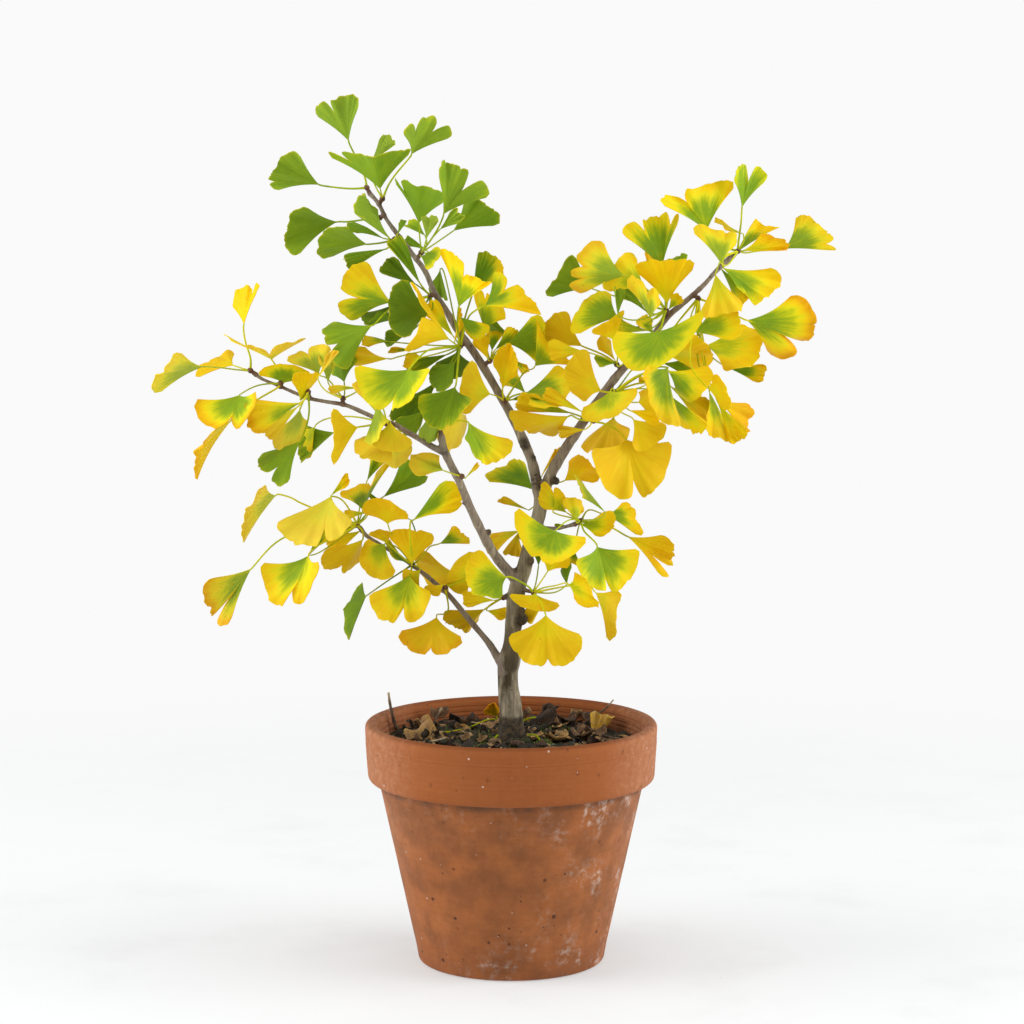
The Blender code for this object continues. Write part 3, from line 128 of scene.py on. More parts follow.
def addTube(mesh, path, radii, sides):
    # a capped cylinder is cut across once for each point, and its rings are moved on to the path
    count = len(mesh.verts)
    made = bmesh.ops.create_cone(mesh, cap_ends=True, segments=sides, radius1=1, radius2=1, depth=1)
    upright = []
    for edge in {edge for vert in made["verts"] for edge in vert.link_edges}:
        if abs(edge.verts[0].co.z - edge.verts[1].co.z) > 0.5:
            upright.append(edge)
    if len(path) > 2:
        bmesh.ops.subdivide_edges(mesh, edges=upright, cuts=len(path) - 2)
    verts = list(mesh.verts)[count:]
    ways = waysAcross(path)
    for vert in verts:
        ring = round((vert.co.z + 0.5) * (len(path) - 1))
        side, up = ways[ring]
        flat = Vector((vert.co.x, vert.co.y)).normalized()
        vert.co = path[ring] + (side * flat.x + up * flat.y) * radii[ring]
    return verts


def addSheet(mesh, columns, rows, place):
    # a grid whose corners are moved by place(column share, row share)
    made = bmesh.ops.create_grid(mesh, x_segments=len(columns) - 1, y_segments=len(rows) - 1, size=0.5)
    spots = {}
    for vert in made["verts"]:
        column = round((vert.co.x + 0.5) * (len(columns) - 1))
        row = round((vert.co.y + 0.5) * (len(rows) - 1))
        spots[vert] = (columns[column], rows[row])
        vert.co = place(columns[column], rows[row])
    return spots


def thicken(mesh, verts, thickness):
    # turns an open sheet into a closed one and says which points are its other side
    faces = list({face for vert in verts for face in vert.link_faces})
    for face in faces:
        face.normal_update()
    for vert in verts:
        vert.normal_update()
    for vert in verts:
        vert.co += vert.normal * thickness / 2
    made = bmesh.ops.solidify(mesh, geom=faces, thickness=thickness)
    under = {item for item in made["geom"] if isinstance(item, bmesh.types.BMVert)} - set(verts)
    shell = list({face for vert in set(verts) | under for face in vert.link_faces})
    bmesh.ops.recalc_face_normals(mesh, faces=shell)
    return under


def faceOutwards(mesh):
    bmesh.ops.recalc_face_normals(mesh, faces=mesh.faces)
    if mesh.calc_volume(signed=True) < 0:
        bmesh.ops.reverse_faces(mesh, faces=mesh.faces)
    return mesh


def addLayers(mesh, *names):
    # a number for each point under each name, apart from leafPlace: along, out and which side of a leaf
    layers = mesh.verts.layers
    return {name: (layers.float_vector if name == "leafPlace" else layers.float).new(name) for name in names}


def lumpy(place, scaleMm, seed):
    # smooth noise about zero at a size in mm
    return noise.noise(place / (scaleMm * mm) + Vector((seed, seed * 1.7, seed * 0.3)))


# ways to make a material

def addNode(tree, kind, **settings):
    node = tree.nodes.new(kind)
    for name, value in settings.items():
        setattr(node, name, value)
    return node


def feed(tree, socket, value):
    # a value is another node's output, or a plain number or colour
    if isinstance(value, bpy.types.NodeSocket):
        tree.links.new(value, socket)
    else:
        socket.default_value = value


def mathNode(tree, operation, *values):
    node = addNode(tree, "ShaderNodeMath", operation=operation)
    for socket, value in zip(node.inputs, values):
        feed(tree, socket, value)
    return node.outputs[0]


def times(tree, first, second):
    return mathNode(tree, "MULTIPLY", first, second)


def plus(tree, first, second):
    return mathNode(tree, "ADD", first, second)


def aboutZero(tree, mask, width):
    # a mask turned into a value that swings about zero
    return times(tree, mathNode(tree, "SUBTRACT", mask, 0.5), width)


def vectorNode(tree, operation, first, second):
    node = addNode(tree, "ShaderNodeVectorMath", operation=operation)
    feed(tree, node.inputs[0], first)
    feed(tree, node.inputs[1], second)
    return node.outputs["Value" if operation == "DISTANCE" else "Vector"]


def rangeNode(tree, value, low, high, newLow=0.0, newHigh=1.0):
    node = addNode(tree, "ShaderNodeMapRange", interpolation_type="SMOOTHSTEP")
    names = ("Value", "From Min", "From Max", "To Min", "To Max")
    for name, given in zip(names, (value, low, high, newLow, newHigh)):
        feed(tree, node.inputs[name], given)
    return node.outputs["Result"]


def band(tree, value, rise, fall):
    # 1 from the end of the rise to the start of the fall
    return times(tree, rangeNode(tree, value, *rise), rangeNode(tree, value, *fall, 1.0, 0.0))


def mixNode(tree, factor, first, second, blend="MIX"):
    node = addNode(tree, "ShaderNodeMix", data_type="RGBA", blend_type=blend)
    feed(tree, node.inputs[0], factor)
    feed(tree, node.inputs[6], first)
    feed(tree, node.inputs[7], second)
    return node.outputs[2]


def layOver(tree, colour, mask, share, over):
    # another colour laid over the first where a mask says, at a share of its strength
    return mixNode(tree, times(tree, mask, share), colour, over)


def rampNode(tree, value, stops):
    node = addNode(tree, "ShaderNodeValToRGB")
    ramp = node.color_ramp
    while len(ramp.elements) < len(stops):
        ramp.elements.new(0.5)
    for element, (place, colour) in zip(ramp.elements, stops):
        element.position = place
        element.color = colour
    feed(tree, node.inputs[0], value)
    return node.outputs[0]


def noiseNode(tree, place, stretch, size, detail, roughness):
    # clouds in a space that may be stretched
    node = addNode(tree, "ShaderNodeTexNoise")
    feed(tree, node.inputs["Vector"], vectorNode(tree, "MULTIPLY", place, stretch))
    for name, value in (("Scale", size), ("Detail", detail), ("Roughness", roughness)):
        feed(tree, node.inputs[name], value)
    return node.outputs["Fac"]


def bumpNode(tree, height, depth):
    node = addNode(tree, "ShaderNodeBump")
    for name, value in (("Strength", 1.0), ("Distance", depth), ("Height", height)):
        feed(tree, node.inputs[name], value)
    return node.outputs["Normal"]


def forkNode(tree, factor, first, second):
    # one number turns into another
    node = addNode(tree, "ShaderNodeMix", data_type="FLOAT")
    feed(tree, node.inputs[0], factor)
    feed(tree, node.inputs[2], first)
    feed(tree, node.inputs[3], second)
    return node.outputs[0]


def newGroup(name, inputs, outputs):
    # a node group with named sockets: a list of name, kind and starting value, then of name and kind
    made = bpy.data.node_groups.new(name, "ShaderNodeTree")
    for title, kind, value in inputs:
        socket = made.interface.new_socket(name=title, in_out="INPUT", socket_type="NodeSocket" + kind)
        if value is not None:
            socket.default_value = value
    for title, kind in outputs:
        made.interface.new_socket(name=title, in_out="OUTPUT", socket_type="NodeSocket" + kind)
    return made, addNode(made, "NodeGroupInput").outputs, addNode(made, "NodeGroupOutput").inputs


def useGroup(tree, group, **values):
    node = addNode(tree, "ShaderNodeGroup", node_tree=group)
    for name, value in values.items():
        feed(tree, node.inputs[name], value)
    return node.outputs


def makeMottle():
    # cloudy patches between two limits, for stains, bloom, moss and tired spots
    group, given, result = newGroup(
        "mottle",
        [("Vector", "Vector", None), ("Size", "Float", 40.0), ("Detail", "Float", 4.0),
         ("Low", "Float", 0.45), ("High", "Float", 0.65), ("Stretch", "Vector", (1, 1, 1))],
        [("Mask", "Float")],
    )
    cloud = noiseNode(group, given["Vector"], given["Stretch"], given["Size"], given["Detail"], 0.6)
    feed(group, result["Mask"], rangeNode(group, cloud, given["Low"], given["High"]))
    return group


def makeSpecks():
    # scattered round specks: pits, grit, pores and fly spots
    group, given, result = newGroup(
        "specks",
        [("Vector", "Vector", None), ("Size", "Float", 300.0), ("Radius", "Float", 0.2),
         ("Share", "Float", 0.3)],
        [("Mask", "Float")],
    )
    cells = addNode(group, "ShaderNodeTexVoronoi")
    feed(group, cells.inputs["Vector"], given["Vector"])
    feed(group, cells.inputs["Scale"], given["Size"])
    cells.inputs["Randomness"].default_value = 1.0
    parts = addNode(group, "ShaderNodeSeparateColor")
    feed(group, parts.inputs[0], cells.outputs["Color"])
    chosen = mathNode(group, "LESS_THAN", parts.outputs[0], given["Share"])
    ownRadius = times(group, given["Radius"], plus(group, parts.outputs[1], 0.35))
    inside = rangeNode(group, cells.outputs["Distance"], times(group, ownRadius, 0.7), ownRadius, 1.0, 0.0)
    feed(group, result["Mask"], times(group, chosen, inside))
    return group


def makeGrain():
    # fine roughness of a surface, as a height to mix and a bumped normal
    group, given, result = newGroup(
        "grain",
        [("Vector", "Vector", None), ("Size", "Float", 400.0), ("Depth", "Float", 0.0003),
         ("Extra", "Float", 0.0), ("Stretch", "Vector", (1, 1, 1))],
        [("Height", "Float"), ("Normal", "Vector")],
    )
    fine = noiseNode(group, given["Vector"], given["Stretch"], given["Size"], 5.0, 0.65)
    feed(group, result["Height"], fine)
    feed(group, result["Normal"], bumpNode(group, plus(group, fine, given["Extra"]), given["Depth"]))
    return group


def makeVeins():
    # veins that fan out from a leaf's neck and fork twice on the way to its margin
    group, given, result = newGroup(
        "fanVeins",
        [("Along", "Float", 0.5), ("Out", "Float", 0.5), ("Veins", "Float", 11.0),
         ("Depth", "Float", 0.0002)],
        [("Line", "Float"), ("Normal", "Vector")],
    )
    lines = []
    for fork in (1, 2, 4):
        turns = times(group, times(group, given["Along"], given["Veins"]), fork * 2 * math.pi)
        wave = mathNode(group, "MULTIPLY_ADD", mathNode(group, "COSINE", turns), 0.5, 0.5)
        lines.append(mathNode(group, "POWER", wave, 3.0))
    nearLine = forkNode(group, rangeNode(group, given["Out"], 0.18, 0.4), lines[0], lines[1])
    line = forkNode(group, rangeNode(group, given["Out"], 0.45, 0.75), nearLine, lines[2])
    feed(group, result["Line"], line)
    feed(group, result["Normal"], bumpNode(group, line, given["Depth"]))
    return group


mottleGroup = makeMottle()
specksGroup = makeSpecks()
grainGroup = makeGrain()
veinsGroup = makeVeins()


def cloudMask(tree, place, size, low, high, detail=4.0, stretch=(1, 1, 1)):
    values = {"Vector": place, "Size": size, "Low": low, "High": high, "Detail": detail, "Stretch": stretch}
    return useGroup(tree, mottleGroup, **values)[0]


def speckMask(tree, place, size, radius, share):
    return useGroup(tree, specksGroup, Vector=place, Size=size, Radius=radius, Share=share)[0]


def grainNormal(tree, place, size, depth, **more):
    return useGroup(tree, grainGroup, Vector=place, Size=size, Depth=depth, **more)["Normal"]


def splitPlace(tree, vector):
    node = addNode(tree, "ShaderNodeSeparateXYZ")
    feed(tree, node.inputs[0], vector)
    return tuple(node.outputs)


def movedPlace(tree, vector, amount):
    # the same place moved aside, so that two patterns don't fall together
    return vectorNode(tree, "ADD", vector, (amount, amount * 0.6, amount * 0.3))


def attribute(tree, name, output="Fac"):
    return addNode(tree, "ShaderNodeAttribute", attribute_name=name).outputs[output]


def newMaterial(name):
    # a material with its nodes and a place in the object's own space
    made = bpy.data.materials.new(name)
    made.use_nodes = True
    tree = made.node_tree
    return made, tree, addNode(tree, "ShaderNodeTexCoord").outputs["Object"]


def dress(made, colour, roughness, normal=None, specular=0.5):
    # the surface's finished values; the specular level is always a plain number
    shader = made.node_tree.nodes["Principled BSDF"]
    feed(made.node_tree, shader.inputs["Base Color"], colour)
    feed(made.node_tree, shader.inputs["Roughness"], roughness)
    if normal:
        feed(made.node_tree, shader.inputs["Normal"], normal)
    shader.inputs["Specular IOR Level"].default_value = specular
    return made


def cloudyMaterial(name, colours, clouds, roughness, grainSize):
    # two colours in clouds: their size, low and high limits and detail
    made, tree, place = newMaterial(name)
    colour = mixNode(tree, cloudMask(tree, place, *clouds), *colours)
    return dress(made, colour, roughness, grainNormal(tree, place, grainSize, 0.0003))


print("node groups made")


# the clay pot

pot = {
    "rimRadius": 0.1,
    "rimFootRadius": 0.0985,
    "height": 0.1657,
    "rimHeight": 0.0405,
    "bodyTopRadius": 0.091,
    "footRadius": 0.0646,
    "wall": 0.0077,
    "floor": 0.009,
    "drainRadius": 0.012,
    "turns": 160,
    "unevenness": 0.00022,
    "clay": tint(170, 100, 52),
    "paleClay": tint(190, 120, 70),
    "darkClay": tint(138, 76, 38),
    "rimShade": (0.79, 0.7, 0.58, 1),
    # painted shade for the top of the lip
    "paintedLipShade": (0.66, 0.62, 0.53, 1),
    # paler flanks: partly dust, partly painted side light
    "flankDustAndSideLight": tint(204, 156, 124),
    "grooves": (0.0102, 0.0126),
    "innerGrooves": (0.0062, 0.0098, 0.0128),
    "grooveDepth": 0.00035,
    "grooveWidth": 0.0018,
    "grooveInset": 0.0002,
    "cornerSteps": 5,
    "longestEdge": 0.012,
    "edgeCuts": 9,
    "bloom": tint(226, 206, 190),
    # sooty colour and painted shade for the rim's corner
    "sootAndShade": tint(74, 60, 50),
    "pit": tint(72, 36, 22),
    "finePit": tint(98, 52, 30),
    "soilStain": tint(82, 52, 34),
    "roughness": 0.86,
}


def wallRadius(height):
    top = pot["rimRadius"] - pot["wall"]
    foot = pot["footRadius"] - pot["wall"]
    return foot + (top - foot) * (height - pot["floor"]) / (pot["height"] - pot["floor"])


def makePotMesh():
    # half of the pot's section is drawn corner by corner, its corners are rounded, and it is spun
    rimFoot = pot["height"] - pot["rimHeight"]
    innerFoot = pot["floor"] + 0.004
    half = pot["grooveWidth"] / 2
    face = pot["rimRadius"] - pot["grooveInset"]
    lines = []
    for drop in reversed(pot["grooves"]):
        level = pot["height"] - drop
        bottom = pot["rimRadius"] - pot["grooveDepth"] - pot["grooveInset"]
        lines += [(face, level - half, 0.2), (bottom, level, 0.2), (face, level + half, 0.2)]
    innerLines = []
    for drop in pot["innerGrooves"]:
        level = pot["height"] - drop
        innerLines += [(wallRadius(level + half), level + half, 0.2),
                       (wallRadius(level) + pot["grooveDepth"], level, 0.2),
                       (wallRadius(level - half), level - half, 0.2)]
    # each corner: its radius, its height and how far it is rounded in mm
    corners = (
        (pot["drainRadius"], 0, 0.8), (pot["footRadius"] - 0.001, 0, 2.2),
        (pot["footRadius"] + 0.0012, 0.012, 0), (pot["bodyTopRadius"], rimFoot + 0.0004, 0.7),
        (pot["rimFootRadius"] - 0.0004, rimFoot, 4.4),
        *lines, (pot["rimRadius"], pot["height"] - 0.006, 0),
        (pot["rimRadius"], pot["height"], 3.6), (wallRadius(pot["height"]), pot["height"] - 0.0006, 3.2),
        *innerLines,
        (wallRadius(innerFoot), innerFoot, 0), (wallRadius(pot["floor"]) - 0.004, pot["floor"], 0),
        (pot["drainRadius"], pot["floor"], 0.8),
    )
    mesh = bmesh.new()
    verts = [mesh.verts.new((radius, 0, height)) for radius, height, _ in corners]
    edges = [mesh.edges.new((verts[at], verts[(at + 1) % len(verts)])) for at in range(len(verts))]
    for vert, (_, _, rounding) in zip(verts, corners):
        if rounding:
            bmesh.ops.bevel(mesh, geom=[vert], offset=rounding * mm, offset_type="OFFSET",
                            segments=pot["cornerSteps"], profile=0.5, affect="VERTICES", material=-1)
    longEdges = [edge for edge in mesh.edges if edge.calc_length() > pot["longestEdge"]]
    bmesh.ops.subdivide_edges(mesh, edges=longEdges, cuts=pot["edgeCuts"])
    bmesh.ops.spin(mesh, geom=list(mesh.verts) + list(mesh.edges), cent=(0, 0, 0), axis=(0, 0, 1),
                   dvec=(0, 0, 0), angle=2 * math.pi, steps=pot["turns"], use_merge=True)
    bmesh.ops.remove_doubles(mesh, verts=mesh.verts, dist=1e-6)
    for vert in mesh.verts:
        away = Vector((vert.co.x, vert.co.y, 0))
        push = lumpy(vert.co, 45, 3) + 0.4 * lumpy(vert.co, 14, 8)
        if vert.co.z > 0.002:
            vert.co += away.normalized() * push * pot["unevenness"]
    return faceOutwards(mesh)


def clayMaterial():
    made, tree, place = newMaterial("firedClay")
    across, depth, height = splitPlace(tree, place)
    fromAxis = mathNode(tree, "SUBTRACT", across, potAxis.x)
    rimFoot = pot["height"] - pot["rimHeight"]
    paler = cloudMask(tree, place, 13.0, 0.35, 0.75, detail=3.0)
    darker = cloudMask(tree, place, 24.0, 0.42, 0.85, detail=6.0)
    colour = layOver(tree, pot["clay"], paler, 0.22, pot["paleClay"])
    colour = layOver(tree, colour, darker, 0.06, pot["darkClay"])
    # faint runs where water dried on the way down, fine dust, and turning rings left by the mould
    runs = cloudMask(tree, place, 150.0, 0.45, 0.72, stretch=(1, 1, 0.1))
    dusty = cloudMask(tree, movedPlace(tree, place, 5.1), 230.0, 0.4, 0.7, detail=5.0)
    rings = cloudMask(tree, place, 60.0, 0.42, 0.62, detail=3.0, stretch=(0.02, 0.02, 5.0))
    colour = layOver(tree, colour, runs, 0.14, pot["darkClay"])
    colour = layOver(tree, colour, dusty, 0.16, pot["paleClay"])
    colour = layOver(tree, colour, rings, 0.1, pot["darkClay"])
    # the rim band is coloured a little darker and the lip's top has painted shade; both flanks, left and
    # right of the axis, are painted paler, partly dust and partly painted side light
    onRim = rangeNode(tree, height, rimFoot - 0.0004, rimFoot + 0.0006)
    # painted shade: the top of the lip is darkened as if less light reached it
    lipTopForShade = rangeNode(tree, height, pot["height"] - 0.003, pot["height"] - 0.0006)
    colour = mixNode(tree, onRim, colour, pot["rimShade"], "MULTIPLY")
    colour = mixNode(tree, lipTopForShade, colour, pot["paintedLipShade"], "MULTIPLY")
    # painted side light mixed with dust on the flanks left and right of the axis
    litFlank = rangeNode(tree, mathNode(tree, "ABSOLUTE", fromAxis), 0.055, 0.098)
    dustAndLightShare = plus(tree, times(tree, dusty, 0.25), 0.2)
    colour = layOver(tree, colour, litFlank, dustAndLightShare, pot["flankDustAndSideLight"])
    # painted shade in a dark band under the rim's overhang, a colour that grows darker towards the foot, and
    # a line in the rim's corner that is partly sooty and partly painted shade
    rimEdge = (rimFoot - 0.0005, rimFoot + 0.0012)
    # painted shade under the rim's overhang
    under = band(tree, height, (rimFoot - 0.02, rimFoot - 0.001), rimEdge)
    colour = layOver(tree, colour, under, 0.25, pot["darkClay"])
    colour = mixNode(tree, rangeNode(tree, height, 0.04, 0.004, 0.0, 0.3), colour, pot["darkClay"])
    # partly sooty, partly painted shade in the rim's corner
    cornerSootAndShade = band(tree, height, (rimFoot - 0.006, rimFoot - 0.001), rimEdge)
    cornerSootAndShade = times(tree, cornerSootAndShade, cloudMask(tree, place, 55.0, 0.3, 0.6))
    colour = layOver(tree, colour, cornerSootAndShade, 0.7, pot["sootAndShade"])
    # pale lime bloom: low down, under the rim and most of all on the right-hand side
    cloud = cloudMask(tree, place, 56.0, 0.46, 0.74, detail=9.0, stretch=(1, 1, 0.6))
    fineCloud = cloudMask(tree, place, 230.0, 0.42, 0.7, detail=7.0)
    rightSide = rangeNode(tree, across, potAxis.x + 0.005, potAxis.x + 0.07)
    lowRight = times(tree, rightSide, rangeNode(tree, height, 0.105, 0.055))
    lowDown = rangeNode(tree, height, 0.05, 0.012)
    nearRim = band(tree, height, (0.085, 0.118), (0.124, 0.1275))
    onRight = rangeNode(tree, across, potAxis.x + 0.004, potAxis.x + 0.04, 0.3, 1.5)
    footLine = rangeNode(tree, height, 0.0085, 0.0105)
    footLine = times(tree, footLine, rangeNode(tree, height, 0.0125, 0.0105))
    where = plus(tree, times(tree, lowRight, 1.5), times(tree, lowDown, 0.5))
    where = plus(tree, where, times(tree, nearRim, onRight))
    where = plus(tree, where, times(tree, footLine, 0.9))
    where = times(tree, where, rangeNode(tree, height, rimFoot - 0.0005, rimFoot + 0.0005, 1.0, 0.12))
    bloom = times(tree, times(tree, cloud, fineCloud), where)
    colour = mixNode(tree, mathNode(tree, "MINIMUM", bloom, 0.62), colour, pot["bloom"])
    # burnt pits and pale grit
    pits = speckMask(tree, place, 135.0, 0.2, 0.26)
    finePits = speckMask(tree, place, 260.0, 0.16, 0.07)
    grit = speckMask(tree, movedPlace(tree, place, 3.7), 210.0, 0.15, 0.09)
    lowerPits = times(tree, pits, rangeNode(tree, height, 0.115, 0.05, 0.25, 1.0))
    colour = layOver(tree, colour, lowerPits, 0.85, pot["pit"])
    colour = layOver(tree, colour, finePits, 0.5, pot["finePit"])
    colour = layOver(tree, colour, grit, 0.6, pot["bloom"])
    # soil stains on the inner wall
    squares = [mathNode(tree, "POWER", way, 2.0) for way in (fromAxis, depth)]
    radius = mathNode(tree, "SQRT", plus(tree, *squares))
    innerRadius = pot["rimRadius"] - pot["wall"]
    inner = rangeNode(tree, radius, innerRadius + 0.0002, innerRadius - 0.0006)
    stained = times(tree, inner, rangeNode(tree, height, pot["height"] - 0.001, pot["height"] - 0.018))
    stained = times(tree, stained, plus(tree, cloudMask(tree, place, 50.0, 0.3, 0.7), 0.35))
    colour = layOver(tree, colour, stained, 0.4, pot["soilStain"])
    roughness = rangeNode(tree, cloud, 0.0, 1.0, pot["roughness"] - 0.08, pot["roughness"] + 0.06)
    lift = plus(tree, times(tree, plus(tree, pits, finePits), -1.6), times(tree, rings, 0.5))
    return dress(made, colour, roughness, grainNormal(tree, place, 900.0, 0.00022, Extra=lift), 0.25)


makePiece("clayPot", makePotMesh(), [clayMaterial()], ["pot"], 40)
print("pot turned")


# the soil, its crumbs, bark chips, grit and moss

soil = {
    "level": 0.1485,
    "gap": 0.0006,
    "bottom": 0.0093,
    "wallShare": 0.8,
    "bottomShare": 0.95,
    "wallFoot": 0.014,
    "wallSteps": (0.85, 0.9, 0.949, 0.95, 1.0),
    "rings": 64,
    "turns": 180,
    "spread": 86,
    "stemSpace": 11 * mm,
    "crumbs": 1000,
    "crumbSizes": (0.6, 3.2, 1.0),
    "clods": 105,
    "clodSizes": (2.4, 5.6, 3.2),
    "chips": 64,
    "grit": 22,
    "gritSizes": (0.6, 1.7, 1.0),
    "mossTufts": 1700,
    "dark": tint(27, 23, 13),
    "light": tint(66, 54, 34),
    "moss": tint(50, 62, 15),
    "freshMoss": tint(112, 126, 34),
    "fibre": tint(150, 118, 78),
    "chipStages": ((0.0, tint(62, 46, 34)), (0.45, tint(112, 84, 58)), (0.8, tint(168, 134, 92)),
                   (1.0, tint(192, 160, 112))),
    "chipStreak": tint(48, 36, 26),
    "whiteGrit": tint(232, 228, 218),
    "dustyGrit": tint(150, 138, 120),
}


def soilHeight(x, y):
    away = math.hypot(x, y)
    mound = 4.5 * mm * math.exp(-((away / (24 * mm)) ** 2))
    lumps = 1.1 * math.sin(x / (9 * mm) + 0.6) * math.cos(y / (11 * mm) - 0.4)
    lumps += 0.8 * math.sin((x - 0.8 * y) / (15 * mm) + 1.7)
    rise = 2.2 * mm * (away / pot["rimRadius"]) ** 2
    return soil["level"] + mound + rise + lumps * mm


def roughHeight(x, y):
    # the same ground with its clods and crumbs
    place = Vector((x, y, 0))
    clods = 3.4 * max(lumpy(place, 8, 5), -0.25) + 0.9 * lumpy(place, 3, 9) + 0.45 * lumpy(place, 1.4, 2)
    edge = smoothShare(0.0925, 0.084, math.hypot(x, y))
    return soilHeight(x, y) + clods * mm * edge


def makeSoilMesh():
    # a grid wrapped round the pot's axis, down the wall and across the bottom
    mesh = bmesh.new()
    wallShare = soil["wallShare"]
    bottomShare = soil["bottomShare"]
    rim = wallRadius(soil["level"] + 0.0015) - soil["gap"]

    def place(turn, out):
        angle = 2 * math.pi * turn
        if out <= wallShare:
            radius = rim * (out / wallShare) ** 0.75
            x, y = radius * math.cos(angle), radius * math.sin(angle)
            return Vector((x, y, roughHeight(x, y)))
        if out < bottomShare:
            top = roughHeight(rim * math.cos(angle), rim * math.sin(angle))
            height = blendNumber(top, soil["wallFoot"], (out - wallShare) / (bottomShare - wallShare))
            radius = wallRadius(height) - soil["gap"]
        else:
            height = soil["bottom"]
            radius = (wallRadius(height) - 0.0046) * (1 - out) / (1 - bottomShare)
        return Vector((radius * math.cos(angle), radius * math.sin(angle), height))

    turns = [at / soil["turns"] for at in range(soil["turns"] + 1)]
    rings = [wallShare * at / soil["rings"] for at in range(soil["rings"] + 1)]
    rings += soil["wallSteps"]
    addSheet(mesh, turns, rings, place)
    bmesh.ops.remove_doubles(mesh, verts=mesh.verts, dist=1e-6)
    return faceOutwards(mesh)


def onSoil(dice, most=soil["spread"]):
    # a random place on the ground clear of the stem
    while True:
        x, y = dice.uniform(-most, most) * mm, dice.uniform(-most, most) * mm
        if soil["stemSpace"] < math.hypot(x, y) < most * mm:
            return Vector((x, y, roughHeight(x, y)))


def turnRandomly(dice, tilt, axis):
    heading = Matrix.Rotation(dice.uniform(0, 6.3), 3, "Z")
    return heading @ Matrix.Rotation(dice.uniform(-tilt, tilt), 3, axis)


def makeCrumbMesh(count, sizes, seed, detail=1):
    # rounded lumps: sizes are the least, the most and the usual radius in mm
    dice = random.Random(seed)
    mesh = bmesh.new()
    for _ in range(count):
        size = dice.triangular(*sizes) * mm
        made = bmesh.ops.create_icosphere(mesh, subdivisions=detail, radius=size)["verts"]
        stretch = Vector((dice.uniform(0.7, 1.3), dice.uniform(0.6, 1.1), dice.uniform(0.5, 1.0)))
        turn = turnRandomly(dice, 1.2, "X")
        place = onSoil(dice)
        lift = Vector((0, 0, size * 0.25))
        for vert in made:
            knock = 1 + 0.5 * lumpy(vert.co, size / mm * 0.9, dice.randrange(90) if vert is made[0] else 7)
            stretched = Vector(a * b for a, b in zip(vert.co, stretch))
            vert.co = turn @ stretched * knock + place + lift
    return mesh


def makeChipMesh():
    # split bits of bark: a thin block, roughened and bent a little
    dice = random.Random(21)
    mesh = bmesh.new()
    tone = addLayers(mesh, "chipTone")["chipTone"]
    for _ in range(soil["chips"]):
        count = len(mesh.verts)
        made = bmesh.ops.create_cube(mesh, size=1)["verts"]
        edges = list({edge for vert in made for edge in vert.link_edges})
        bmesh.ops.subdivide_edges(mesh, edges=edges, cuts=2, use_grid_fill=True)
        verts = list(mesh.verts)[count:]
        size = Vector((dice.uniform(4, 12), dice.uniform(2, 6), dice.uniform(0.8, 1.8))) * mm
        turn = turnRandomly(dice, 0.5, "Y")
        place = onSoil(dice, 80)
        shade = dice.random()
        for vert in verts:
            taper = 1 - 0.5 * abs(vert.co.x) * 2 * dice.uniform(0.6, 1)
            spot = Vector((vert.co.x * size.x, vert.co.y * size.y * taper, vert.co.z * size.z))
            spot.z += size.z * 0.8 * math.cos(vert.co.x * 3)
            vert.co = turn @ spot + place + Vector((0, 0, size.z * 0.9))
            vert[tone] = shade
    return mesh


def makeMossMesh():
    # cushions of short blunt shoots, thickest in front of the stem
    dice = random.Random(4)
    mesh = bmesh.new()
    # each bed: x, y, width and depth in mm, and its share of the tufts
    beds = ((-22, 4, 9, 16, 0.26), (-28, -30, 14, 12, 0.1), (22, -3, 12, 10, 0.1), (-38, 40, 20, 16, 0.16),
            (10, -30, 20, 10, 0.06), (44, 34, 16, 14, 0.1), (-14, 2, 7, 8, 0.14), (26, 40, 18, 12, 0.08))
    chances = [bed[4] for bed in beds]
    for _ in range(soil["mossTufts"]):
        x, y, wide, deep, _ = dice.choices(beds, chances)[0]
        x, y = (dice.gauss(x, wide * 0.5)) * mm, (dice.gauss(y, deep * 0.5)) * mm
        away = math.hypot(x, y)
        if not 9.5 * mm < away < 84 * mm:
            continue
        foot = Vector((x, y, roughHeight(x, y) - 0.0006))
        tall = dice.uniform(1.0, 3.2) * mm
        lean = Vector((dice.uniform(-0.6, 0.6), dice.uniform(-0.6, 0.6), 1)).normalized()
        path = [foot, foot + lean * tall * 0.55, foot + lean * tall]
        addTube(mesh, path, [0.5 * mm, 0.6 * mm, 0.14 * mm], 5)
    return mesh


def groundMaterial():
    made, tree, place = newMaterial("pottingSoil")
    clods = cloudMask(tree, place, 160.0, 0.42, 0.72, detail=6.0)
    mossy = cloudMask(tree, place, 38.0, 0.5, 0.62, detail=5.0)
    fibres = speckMask(tree, place, 420.0, 0.3, 0.12)
    colour = mixNode(tree, clods, soil["dark"], soil["light"])
    colour = layOver(tree, colour, mossy, 0.5, soil["moss"])
    colour = layOver(tree, colour, fibres, 0.6, soil["fibre"])
    roughness = rangeNode(tree, clods, 0.0, 1.0, 0.78, 1.0)
    return dress(made, colour, roughness, grainNormal(tree, place, 1100.0, 0.0006))


def mossMaterial():
    colours = (soil["moss"], soil["freshMoss"])
    return cloudyMaterial("moss", colours, (140.0, 0.4, 0.62, 3.0), 0.75, 1800.0)


def gritMaterial():
    colours = (soil["whiteGrit"], soil["dustyGrit"])
    return cloudyMaterial("whiteGrit", colours, (500.0, 0.45, 0.7), 0.8, 1600.0)


def chipMaterial():
    made, tree, place = newMaterial("barkChips")
    colour = rampNode(tree, attribute(tree, "chipTone"), soil["chipStages"])
    colour = layOver(tree, colour, cloudMask(tree, place, 420.0, 0.4, 0.65), 0.5, soil["chipStreak"])
    return dress(made, colour, 0.85, grainNormal(tree, place, 1500.0, 0.0004))


